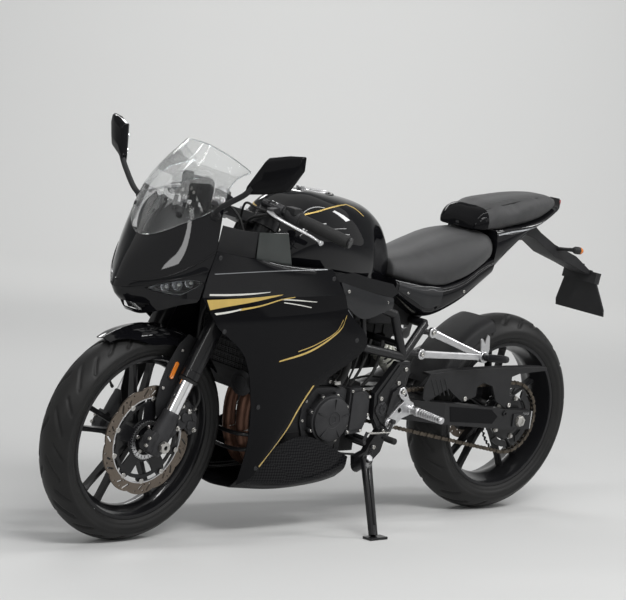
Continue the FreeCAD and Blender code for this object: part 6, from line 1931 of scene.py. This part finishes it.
def exhaust():
    """Header pipes with welds and nuts, and the silencer with its hanger."""
    pipes = []
    for y in (0.0, 60.0):
        run = [V(x, y, z) for x, z in HEADER_RUN]
        run[-1] = V(run[-1].x, 30 + (y - 30) * 0.4, run[-1].z)
        pipes.append(tube_line(run, 18, 28, 5))
    start, end = V(430, -192, 287), V(80, -196, 428)
    along = (end - start).normalized()
    run = [V(868, 30, 192), V(820, 15, 192), V(700, -62, 194), V(610, -96, 190), V(540, -160, 204),
           V(480, -188, 250), start - along * 22, start]
    pipes.append(tube_line(run, 20, 28, 5))
    for y in (0.0, 60.0):
        pipes.append(turned([(0, 24), (0, 30), (7, 30), (8, 28), (8, 19)], V(921, y, 598), V(930, y, 598),
                            36))
    piece("header_pipes", joined(pipes), "chassis", "header", ("exhaust_pipes",), angle=50)
    seams = []
    for y in (0.0, 60.0):
        for (x0, z0), (x1, z1) in zip(HEADER_RUN[2:8:2], HEADER_RUN[3:9:2]):
            middle = V((x0 + x1) / 2, y, (z0 + z1) / 2)
            ahead = V(x1 - x0, 0, z1 - z0).normalized()
            seams.append(turned([(-1.6, 18), (-1, 19.2), (1, 19.2), (1.6, 18)], middle, middle + ahead, 32))
    piece("header_welds", joined(seams), "chassis", "steel")
    studs = [((929.5, y + dy, 598 + dz), (1, 0, 0)) for y in (0.0, 60.0) for dy, dz in ((0, 25), (0, -25))]
    bolts("header_nuts", "chassis", studs, radius=5, head=6, kind="hex")
    length = (end - start).length
    can = [(0, 20), (2, 25), (38, 48), (44, 50), (52, 50), (53, 51.4), (66, 51.4), (67, 50),
           (length - 60, 50), (length - 59, 51.4), (length - 46, 51.4), (length - 45, 50),
           (length - 6, 50), (length, 44), (length, 34), (length + 20, 34), (length + 22, 32),
           (length + 22, 25), (length + 18, 24), (length - 16, 24)]
    piece("silencer_can", turned(can, start, end, 64), "chassis", "silencer",
          ("silencer",), angle=35)
    hanger_arm = flat_bar(start + along * (length * 0.62) + V(0, 47, 14), V(300, -138, 470), 26, 22, 6)
    piece("silencer_hanger", hanger_arm, "chassis", "frame", bevel=0.8)
    bolts("silencer_bolt", "chassis", [((300, -141.5, 470), (0, -1, 0))], radius=7, head=5, kind="hex")


def radiator_detail():
    """The radiator with its fins, guard and cap."""
    x = 1040.2
    fins = [box(x, x + 2.4, -136, 136, 474 + 5 * k, 475.2 + 5 * k) for k in range(29)]
    tubes = [box(x - 1, x + 1.4, -136 + 17 * k, -132.5 + 17 * k, 471, 619) for k in range(17)]
    piece("radiator_fins", joined(fins + tubes), "chassis", "cast")
    paint("radiator", "engine", 1.5)
    guard = [curve_mesh([V(1048, y, z) for y in (-132, 0, 132)], 1.6, sides=2) for z in range(486, 616, 18)]
    piece("radiator_guard", joined(guard), "chassis", "matt")
    cap = turned([(0, 15), (8, 15), (9, 19), (15, 19), (17, 16)], V(1028, -147, 627), V(1028, -147, 640), 32)
    piece("radiator_cap", cap, "chassis", "alloy")


PLATE_PIVOT = (580.0, 364.0)
STAND_PIVOT = V(640, 166, 222)
STAND_AXIS = V(0.065, 0.81, 0.582).normalized()
STAND_ANKLE = (662.0, 264.0, 32.2)


def pivots():
    """The main frame, and the plates, ribs, nuts and bolts round the swingarm's pivot."""
    paint("main_frame", "frame")
    paint("pivot_plates", "frame", 2.5, 50)
    raised = [(498, 492), (532, 492), (554, 464), (600, 406), (596, 346), (572, 318), (548, 330),
              (512, 402), (497, 468)]
    web = plate(raised, 136.5, 142.0, (circle(PLATE_PIVOT[0], PLATE_PIVOT[1], 24, 36),), 2.4)
    ribs = [flat_bar(V(514, 140, 486), V(560, 140, 420), 9, 12, 5),
            flat_bar(V(590, 140, 388), V(580, 140, 330), 12, 9, 5)]
    piece("pivot_plate_ribs", both_sides(joined([web] + ribs)), "chassis", "frame", angle=40)
    cap = turned([(0, 23), (4, 23), (6, 20), (6, 14), (9, 13), (9, 7), (7, 6)],
                 V(PLATE_PIVOT[0], 138, PLATE_PIVOT[1]),
                 V(PLATE_PIVOT[0], 145, PLATE_PIVOT[1]), 6)
    ring = turned([(0, 16), (0, 22.5), (3, 22), (3, 16)], V(PLATE_PIVOT[0], 138.4, PLATE_PIVOT[1]),
                  V(PLATE_PIVOT[0], 145, PLATE_PIVOT[1]),
                  40, closed=True)
    piece("swingarm_pivot_nuts", both_sides(joined([cap, ring])), "chassis", "cast", angle=25)
    spots = [((x, 142, z), (0, 1, 0))
             for x, z in ((508, 480), (530, 440), (590, 396), (566, 300), (594, 254))]
    bolts_each_side("pivot_plate_bolts", spots, radius=6, head=5)


def rear_end():
    """The swingarm and rear axle, with the chain's adjusters and slider."""
    paint("swingarm", "frame", 3.0, 40)
    paint("rear_axle", "steel")
    blocks, plugs, marks = [], [], []
    for side in (1, -1):
        y0, y1 = (134.2, 138.4) if side > 0 else (-138.4, -134.2)
        blocks.append(plate([(-22, 286), (-22, 326), (24, 328), (24, 288)], y0, y1,
                            (circle(0, REAR_R, 10.6, 24),), 1.0))
        for k in range(7):
            marks.append(box(-44 + k * 4, -43.2 + k * 4, y0 if side > 0 else y1 - 0.6, y0 + 0.6 if side > 0
                             else y1, 322, 330))
        end = V(-56, 119 * side, 305)
        plugs.append(box(-60, -56.2, 104 * side if side > 0 else -134, 134 if side > 0 else -104, 278, 333))
        plugs.append(rod(end, end - V(18, 0, 0), 4))
        plugs.append(turned([(0, 8), (6, 8)], end - V(5, 0, 0), end - V(6, 0, 0), 6))
    piece("chain_adjusters", joined(blocks), "chassis", "cast", angle=40)
    piece("adjuster_marks", joined(marks), "chassis", "alloy")
    piece("adjuster_ends", joined(plugs), "chassis", "alloy", bevel=0.8)
    nuts = [turned([(0, 17.2), (10.5, 17.2), (12, 15.5), (12, 9), (9, 8)], V(0, 138.6 * s, REAR_R),
                   V(0, 141 * s, REAR_R), 6) for s in (1, -1)]
    piece("rear_axle_nuts", joined(nuts), "chassis", "steel", angle=25)
    slider = plate([(600, 391), (420, 386), (420, 380), (600, 386)], 76, 104, (), 1.0)
    piece("chain_slider", slider, "chassis", "rubber")
    arm_cover = plate([(300, 360), (120, 344), (92, 322), (112, 300), (290, 314)], 134.1, 135.4, (), 0.5)
    piece("arm_pads", both_sides(arm_cover), "chassis", "lower")


SPRING_WIRE_R = 5.2


def shock():
    """The damper's body and a pale coil spring of six and a half turns."""
    paint("shock_absorber", "cast")
    low, high = V(386, 0, 424), V(527, 0, 548)
    along = (high - low).normalized()
    length = (high - low).length
    coil = helix(low, high, V(0, 1, 0), 29, 6.5, 26, 26, 38)
    rings = []
    for i, p in enumerate(coil):
        ahead = heading(coil, i)
        out = (p - low - along * (p - low).dot(along)).normalized()
        up = ahead.cross(out)
        rings.append(ring_of(p, out * SPRING_WIRE_R, up * SPRING_WIRE_R, 10))
    body = turned([(0, 10), (14, 13), (18, 33), (22, 34), (24, 20), (30, 12), (length - 70, 12),
                   (length - 69, 20), (length - 34, 20),
                   (length - 33, 34), (length - 27, 34), (length - 25, 16), (length - 8, 14)], low, high, 40)
    eyes = pin(386, 424, 11.5, -14, 14)
    piece("shock_body", joined([body, eyes]), "chassis", "cast", ("shock_absorber",), angle=35)
    piece("shock_spring", loft(rings), "chassis", "spring")


def guards():
    """The chain cover, the hugger and the rear caliper."""
    blade = [(404, 424), (384, 458), (271, 466), (80, 470), (-108, 467), (-112, 456), (9, 449), (40, 440),
             (41, 393), (25, 346), (53, 343), (97, 366), (120, 413), (160, 425), (185, 412), (185, 384),
             (239, 368), (279, 392), (305, 412), (388, 372), (404, 384)]
    side = plate(blade, 118, 123.6, (), 1.2)
    top = loft([[V(x, 86, z - 4), V(x, 123, z - 4), V(x, 123, z), V(x, 118, z + 2.5), V(x, 92, z + 2.5),
                 V(x, 86, z)]
                for x, z in ((384, 456), (270, 464), (100, 467), (-40, 466), (-108, 463))])
    slats = [flat_bar(V(x, 123.8, 392), V(x + 26, 123.8, 442), 5, 5, 2) for x in (300, 318, 336, 354)]
    piece("chain_cover", joined([side, top] + slats), "chassis", "matt", ("chain_guard",),
          bevel=0.8)
    spots = [((232, 123.6, 379), (0, 1, 0)), ((40, 123.6, 353), (0, 1, 0))]
    bolts("chain_cover_screws", "chassis", spots, radius=7, head=4)
    r0 = REAR_R + 14
    section = [(r0 - 36, 81), (r0 - 22, 79), (r0 - 8, 74), (r0 - 1, 58), (r0 + 2, 36), (r0 + 3, 0)]
    section = through([V(r, y, 0) for r, y in section], 3)
    ring = [(p.x, p.y) for p in section] + [(p.x, -p.y) for p in reversed(section[:-1])]
    rows = []
    for k in range(25):
        t = k / 24
        a = math.radians(19.4 + 52.6 * t)
        fade = min(1.0, min(t, 1 - t) / 0.12)
        rows.append([V((r + 1.0 - (1 - fade) * 1.5) * math.sin(a), y,
                       REAR_R + (r + 1.0 - (1 - fade) * 1.5) * math.cos(a))
                     for r, y in ring])
    shell = skin(rows, -3.0)
    struts = [tube_line([V(341, y, 380), V(333, y, 402), V(309, y, 424)], 6, 12) for y in (-40, 40)]
    foot = box(330, 352, -60, 60, 378, 384)
    piece("hugger_shell", joined([shell, foot] + struts), "chassis", "matt",
          ("rear_hugger",), angle=40)
    paint("rear_caliper", "cast", 3.0)


def footrests():
    """Both pairs of footrests, the gear lever and the brake pedal."""
    outline = [(500, 424), (512, 432), (528, 424), (532, 412), (516, 396), (500, 386), (520, 372),
               (548, 344), (562, 334), (564, 318), (552, 306), (536, 306), (524, 316), (500, 336),
               (474, 344), (460, 352), (456, 366), (462, 380), (478, 388)]
    carrier = plate(outline, 138.2, 147, (circle(514, 360, 7, 20), circle(498, 404, 5, 16)), 1.6)
    hub = [eye(V(514, 144, 414), 14, 14), eye(V(546, 144, 322), 14, 14)]
    stem = turned([(0, 13), (12, 14), (14, 12), (24, 11)], V(474, 142, 362), V(470, 164, 360.6), 28)
    start, end = V(470, 166, 360.6), V(452, 262, 354)
    peg = [(0, 9), (2, 13.5), (10, 13.5)]
    length = (end - start).length
    for k in range(9):
        base = 14 + k * 8.4
        peg += [(base, 12.4 - k * 0.25), (base + 1.2, 11.2 - k * 0.25), (base + 4.0, 11.2 - k * 0.25),
                (base + 5.2, 12.4 - k * 0.25)]
    peg += [(length - 3, 10.5), (length, 9)]
    bar = turned(peg, start, end, 28)
    heel = plate([(498, 424), (540, 404), (556, 340), (566, 352), (552, 414), (510, 436)], 147.4, 149.6,
                 (), 0.8)
    both = joined([carrier, bar, stem] + hub)
    piece("footrest_carriers", both_sides(both), "chassis", "alloy", ("rider_footrests",), angle=35)
    piece("heel_guards", both_sides(heel), "chassis", "matt", angle=35)
    spots = [((514, 151, 414), (0, 1, 0)), ((546, 151, 322), (0, 1, 0))]
    bolts_each_side("footrest_bolts", spots, radius=6.5, head=4)
    y0 = 138
    lever = [rod(V(545, y0 + 9, 330), V(545, y0 + 26, 330), 7),
             tube_line([V(545, y0 + 18, 330), V(556, y0 + 21, 304), V(572, y0 + 22, 284)], 4.6, 14),
             pin(640, 270, 6, 76, y0 + 16), pin(572, 284, 5.4, y0 + 14, y0 + 30),
             flat_bar(V(640, y0 + 8, 270), V(628, y0 + 8, 300), 12, 9, 4)]
    piece("gear_lever", joined(lever), "chassis", "cast")
    link = tube_line([V(556, y0 + 24, 300), V(590, y0 + 18, 298), V(628, y0 + 13, 298)], 2.8, 12)
    piece("gear_link", link, "chassis", "steel")
    toe = turned([(0, 8), (1, 9.4)]
                 + [(p, r) for k in range(7)
                    for p, r in ((3 + k * 5, 9.4), (4.2 + k * 5, 8.6), (6.4 + k * 5, 8.6),
                                 (7.6 + k * 5, 9.4))]
                 + [(39, 8)], V(572, y0 + 28, 284), V(572, y0 + 66, 284), 24)
    brake = [rod(V(500, -y0 - 4, 335), V(500, -y0 - 14, 335), 10),
             tube_line([V(500, -y0 - 14, 335), V(580, -y0 - 30, 300), V(640, -y0 - 34, 296)], 6.6, 16)]
    brake_toe = turned([(0, 8), (1, 9.4), (34, 9.4), (36, 8)], V(640, -y0 - 26, 296),
                       V(640, -y0 - 62, 296), 24)
    piece("brake_pedal", joined(brake), "chassis", "steel")
    piece("toe_rubbers", joined([toe, brake_toe]), "chassis", "rubber")
    fronts, apex = (V(414, 134, 584), V(452, 138, 522)), V(232, 172, 517)
    arms = [flat_bar(f, apex, 21, 19, 9) for f in fronts]
    arms += [eye(f, 15, 13) for f in fronts] + [eye(apex, 17, 20)]
    arms.append(plate([(250, 506), (212, 506), (206, 540), (212, 578), (222, 584), (228, 556), (240, 572),
                       (246, 568), (240, 530)], 167, 171.4, (), 1.0))
    piece("passenger_brackets", both_sides(joined(arms)), "chassis", "alloy",
          ("passenger_footrests",), angle=35)
    start, end = apex + V(0, 10, 0), V(214, 262, 528)
    fold = turned([(0, 8), (2, 10), (16, 10), (18, 12), (70, 11), (78, 9), (80, 6)], start, end, 24)
    piece("passenger_pegs", both_sides(fold), "chassis", "satin", angle=35)
    spots = [((f.x, f.y + 6.4, f.z), (0, 1, 0)) for f in fronts]
    bolts_each_side("passenger_bolts", spots, radius=6.5, head=3)


def stand():
    """The side stand with its spring, and the looks of the yokes and front axle."""
    paint("side_stand", "frame", 1.2)
    paint("yokes", "frame", 2.0)
    paint("front_axle", "steel")
    a = STAND_PIVOT + STAND_AXIS * 4 + V(6, 10, -30)
    b = V(606, 150, 262)
    ahead = (b - a).normalized()
    coil = helix(a, b, ahead.orthogonal().normalized(), 5.5, 12, 14, 8, 8)
    piece("stand_spring", curve_mesh(coil, 1.3, resolution=1, sides=2), "chassis", "cast")
    hook = joined([rod(a, a + ahead * 10, 2), rod(b - ahead * 10, b, 2)])
    piece("stand_spring_hooks", hook, "chassis", "cast")
    top, ankle = STAND_PIVOT + STAND_AXIS * 6, V(*STAND_ANKLE)
    down = (ankle - top).normalized()
    leg = [flat_bar(top - down * 4, ankle, 34, 24, 17),
           flat_bar(top + down * 24 + V(0, 7, 3), ankle - down * 30 + V(0, 7, 3), 12, 8, 10)]
    piece("stand_leg", joined(leg), "side_stand", "frame", bevel=2.0, angle=30)
    face = STAND_AXIS * 22
    cap = turned([(0, 11), (4, 11), (5, 9.5), (5, 5)], STAND_PIVOT + STAND_AXIS * 18, STAND_PIVOT + face, 6)
    piece("stand_pivot_bolt", cap, "side_stand", "alloy", angle=25)


def inner_parts():
    """Air box, battery box and inner guard that close the view through the frame."""
    rings = []
    for x, half, low, high in ((880, 84, 670, 752), (800, 96, 640, 740), (700, 88, 606, 716),
                               (600, 70, 600, 700)):
        rings.append([V(x, y, z)
                      for y, z in ((-half, low + 12), (-half, high), (half, high), (half, low + 12),
                                   (half - 12, low), (12 - half, low))])
    box_rings = [[V(x, y, z) for y, z in ((-half, low), (-half, high), (half, high), (half, low))]
                 for x, half, low, high in ((604, 62, 596, 694), (440, 58, 590, 706), (330, 52, 640, 730))]
    piece("air_box", joined([loft(rings), loft(box_rings)]), "chassis", "matt", bevel=5,
          segments=3)
    guard = plate([(648, 430), (640, 600), (600, 680), (420, 690), (350, 610), (396, 520), (430, 440)],
                  -60, -56, (), 1.0)
    ribs = [box(x, x + 4, -56, -52, 450, 660) for x in range(430, 630, 34)]
    piece("inner_guard", joined([guard] + ribs), "chassis", "matt", bevel=1.0)
    intake = [turned([(0, 24), (4, 27), (34, 27), (38, 23), (70, 23)], V(742, y, 612), V(650, y, 640), 32)
              for y in (-44, 44)]
    piece("intake_bodies", joined(intake), "chassis", "cast")


def horn():
    """The horn under the radiator and the shield that closes the gap in front of the headers."""
    at, out = V(1052, 74, 440), V(1, 0.25, -0.05).normalized()
    body = turned([(-18, 14), (-16, 20), (-6, 22), (-4, 33), (0, 36), (3, 36), (5, 33), (6, 22), (8, 20),
                   (9, 8)], at, at + out, 40)
    piece("horn", body, "chassis", "cast", angle=35)
    rows = [[V(1046, y, 470), V(1050, y * 1.02, 456), V(1048, y * 1.0, 436), V(1038, y * 0.96, 414)]
            for y in (-128, -64, 0, 64, 128)]
    piece("radiator_apron", skin(smooth_grid(rows, 3), 3.0), "chassis", "matt")


def lower_details():
    """Small things round the engine's left side: pipes, wires, the switch and its bracket."""
    wires = [curve_mesh([V(694, 118, 432), V(676, 128, 470), V(650, 124, 520), V(640, 122, 566)], 4),
             curve_mesh([V(708, 116, 432), V(700, 130, 480), V(690, 132, 520), V(676, 128, 560)], 3),
             curve_mesh([V(640, 110, 428), V(622, 122, 452), V(600, 120, 500), V(590, 118, 560)], 5),
             curve_mesh([V(786, 112, 276), V(760, 126, 246), V(700, 128, 236), V(664, 140, 236)], 3.2),
             curve_mesh([V(742, 104, 600), V(716, 112, 610), V(700, 118, 640), V(720, 110, 676)], 6)]
    piece("engine_wires", joined(wires), "chassis", "rubber")
    bracket = [flat_bar(V(838, 122, 268), V(790, 126, 226), 14, 12, 5),
               flat_bar(V(790, 126, 226), V(724, 122, 224), 12, 14, 5)]
    piece("cover_bracket", joined(bracket), "chassis", "alloy", bevel=0.6)
    gusset = plate([(812, 646), (806, 676), (770, 640), (742, 600), (752, 596), (790, 624)], 176, 179, (),
                   0.8)
    piece("fairing_gussets", both_sides(gusset), "chassis", "edge")
    bars = [tube_line([V(1002, 112, 262), V(1030, 70, 250), V(1036, 0, 246), V(1030, -70, 250),
                       V(1002, -112, 262)], 6, 14),
            tube_line([V(1004, 118, 300), V(1040, 70, 296), V(1046, 0, 294), V(1040, -70, 296),
                       V(1004, -118, 300)], 6, 14)]
    piece("front_guard_bars", joined(bars), "chassis", "frame")
    brake = [V(96, -99, 420), V(150, -112, 428), V(240, -122, 404), V(330, -124, 388), V(430, -128, 400),
             V(500, -128, 372)]
    piece("rear_brake_hose", curve_mesh(brake, 3.4), "chassis", "rubber")
    master = [pin(500, 380, 9, -128, -104), rod(V(498, -116, 360), V(506, -116, 430), 10)]
    piece("rear_master_cylinder", joined(master), "chassis", "cast")


# ---- build ------------------------------------------------------------------------------------------------
tyre("front_tyre_tread", "front_wheel", "front_tyre", FRONT_AXLE, FRONT_R,
     FRONT_TYRE_HALF, FRONT_TYRE_DROP, FRONT_RIM_HALF, TREAD_PERIODS)
tyre("rear_tyre_tread", "rear_wheel", "rear_tyre", REAR_AXLE, REAR_R,
     REAR_TYRE_HALF, REAR_TYRE_DROP, REAR_RIM_HALF, TREAD_PERIODS)
wheel_rim("front_rim_cast", "front_wheel", "front_rim", FRONT_AXLE, FRONT_RIM_HALF, FRONT_HUB_HALF)
wheel_rim("rear_rim_cast", "rear_wheel", "rear_rim", REAR_AXLE, REAR_RIM_HALF, REAR_HUB_HALF)
front_disc()
rear_disc()
chain()
sprockets()
fork()
axle_ends()
yoke_detail()
front_fender()
caliper_body()
handlebars()
controls_lines()
engine_faces()
engine_body()
nose()
windscreen()
fairings()
belly()
side_covers()
fuel_tank()
seats()
tail()
hanger()
mirrors()
instruments()
exhaust()
radiator_detail()
pivots()
rear_end()
shock()
guards()
footrests()
stand()
inner_parts()
horn()
lower_details()


# ---- floor, light and camera ---------------------------------------------------------------------------
# metres from the bike: floor towards the camera and away, the curve, the backdrop's top, half the width
FLOOR_NEAR, FLOOR_FAR, SWEEP_R, WALL_TOP, FLOOR_HALF = -18.0, 9.0, 3.0, 14.0, 24.0
FLOOR_TURN = math.radians(-131.0)
FLOOR_GAP = 0.0005
PALE = (0.64, 0.64, 0.63, 1)


def studio_floor():
    """A pale grey floor that curves up into a backdrop and takes the bike's shadow."""
    mesh = bpy.data.meshes.new("studio_floor")
    line = [(FLOOR_NEAR, 0.0), (FLOOR_FAR, 0.0)]
    line += [(FLOOR_FAR + SWEEP_R * math.sin(a), SWEEP_R - SWEEP_R * math.cos(a))
             for a in (math.pi / 2 * k / 12 for k in range(1, 13))]
    line.append((FLOOR_FAR + SWEEP_R, WALL_TOP))
    points = []
    for back, height in line:
        for across in (-FLOOR_HALF, FLOOR_HALF):
            points.append((math.cos(FLOOR_TURN) * back - math.sin(FLOOR_TURN) * across,
                           math.sin(FLOOR_TURN) * back + math.cos(FLOOR_TURN) * across, height - FLOOR_GAP))
    faces = [(2 * i, 2 * i + 1, 2 * i + 3, 2 * i + 2) for i in range(len(line) - 1)]
    mesh.from_pydata(points, [], faces)
    mesh.shade_smooth()
    obj = bpy.data.objects.new("studio_floor", mesh)
    bpy.context.scene.collection.objects.link(obj)
    mat = bpy.data.materials.new("studio_pale")
    mat.use_nodes = True
    shader = mat.node_tree.nodes["Principled BSDF"]
    shader.inputs["Base Color"].default_value = (0.66, 0.66, 0.65, 1)
    shader.inputs["Roughness"].default_value = 0.9
    shader.inputs["Specular IOR Level"].default_value = 0.1
    mesh.materials.append(mat)


def area(name, place, aim, size, power):
    """A rectangular lamp at a place, turned towards its aim, in metres and watts."""
    data = bpy.data.lights.new(name, "AREA")
    data.shape = "RECTANGLE"
    data.size, data.size_y = size
    data.energy = power
    obj = bpy.data.objects.new(name, data)
    bpy.context.scene.collection.objects.link(obj)
    obj.location = place
    obj.rotation_euler = (Vector(aim) - Vector(place)).to_track_quat("-Z", "Y").to_euler()


def studio_light():
    """Soft lamps round the bike, and a world that looks as pale as the floor in gloss and through glass."""
    world = bpy.data.worlds.new("studio_world")
    bpy.context.scene.world = world
    world.use_nodes = True
    nodes, links = world.node_tree.nodes, world.node_tree.links
    light = nodes["Background"]
    light.inputs["Color"].default_value = (0.95, 0.97, 1.0, 1)
    light.inputs["Strength"].default_value = 0.30
    seen = nodes.new("ShaderNodeBackground")
    seen.inputs["Color"].default_value = PALE
    path = nodes.new("ShaderNodeLightPath")
    first, second = nodes.new("ShaderNodeMath"), nodes.new("ShaderNodeMath")
    first.operation = second.operation = "MAXIMUM"
    mix = nodes.new("ShaderNodeMixShader")
    links.new(path.outputs["Is Camera Ray"], first.inputs[0])
    links.new(path.outputs["Is Glossy Ray"], first.inputs[1])
    links.new(first.outputs["Value"], second.inputs[0])
    links.new(path.outputs["Is Transmission Ray"], second.inputs[1])
    links.new(second.outputs["Value"], mix.inputs["Fac"])
    links.new(light.outputs["Background"], mix.inputs[1])
    links.new(seen.outputs["Background"], mix.inputs[2])
    links.new(mix.outputs["Shader"], nodes["World Output"].inputs["Surface"])
    area("key_light", (1.4, 3.6, 4.4), (0.1, 0, 0.5), (2.8, 0.5), 108)
    area("fill_light", (5.0, 1.6, 2.4), (0.2, 0, 0.5), (0.45, 1.5), 22)
    area("rear_light", (-3.6, 1.4, 3.4), (0, 0, 0.7), (0.45, 1.4), 40)
    area("far_light", (-1.2, -3.8, 3.2), (0, 0, 0.7), (2.6, 0.45), 42)
    area("strip_left", (0.4, 2.3, 2.5), (0.2, 0, 0.7), (3.4, 0.08), 22)
    area("strip_top", (0.2, 0.5, 3.3), (0.1, 0, 0.7), (3.2, 0.12), 22)
    area("side_strip_low", (-2.4, 3.0, 1.55), (0.0, 0, 0.6), (3.0, 0.05), 7)
    area("side_strip_high", (-2.4, 3.0, 2.15), (0.0, 0, 0.6), (3.0, 0.05), 7)
    area("backdrop_light", (-4.2, -4.9, 6.4), (-7.6, -8.8, 1.6), (7.0, 1.4), 370)


EYE = V(4603, 4351, 1543)
EYE_YAW, EYE_PITCH, EYE_ROLL = math.radians(-130.993), 0.086043, -0.0732788
LENS_MM, SENSOR_MM = 119.43, 36


def camera():
    """Stands at the bike's front left, a little above the handlebars."""
    data = bpy.data.cameras.new("camera")
    data.lens = LENS_MM
    data.sensor_width = SENSOR_MM
    data.clip_end = 60
    obj = bpy.data.objects.new("camera", data)
    bpy.context.scene.collection.objects.link(obj)
    level = math.cos(EYE_PITCH)
    ahead = V(math.cos(EYE_YAW) * level, math.sin(EYE_YAW) * level, -math.sin(EYE_PITCH))
    right = V(math.sin(EYE_YAW), -math.cos(EYE_YAW), 0)
    up = right.cross(ahead)
    turned_right = right * math.cos(EYE_ROLL) - up * math.sin(EYE_ROLL)
    turned_up = right * math.sin(EYE_ROLL) + up * math.cos(EYE_ROLL)
    turn = Matrix((turned_right, turned_up, -ahead)).transposed().to_4x4()
    obj.matrix_world = Matrix.Translation(BIKE @ EYE) @ turn
    bpy.context.scene.camera = obj


studio_floor()
studio_light()
camera()
bpy.context.scene.view_settings.view_transform = "Standard"
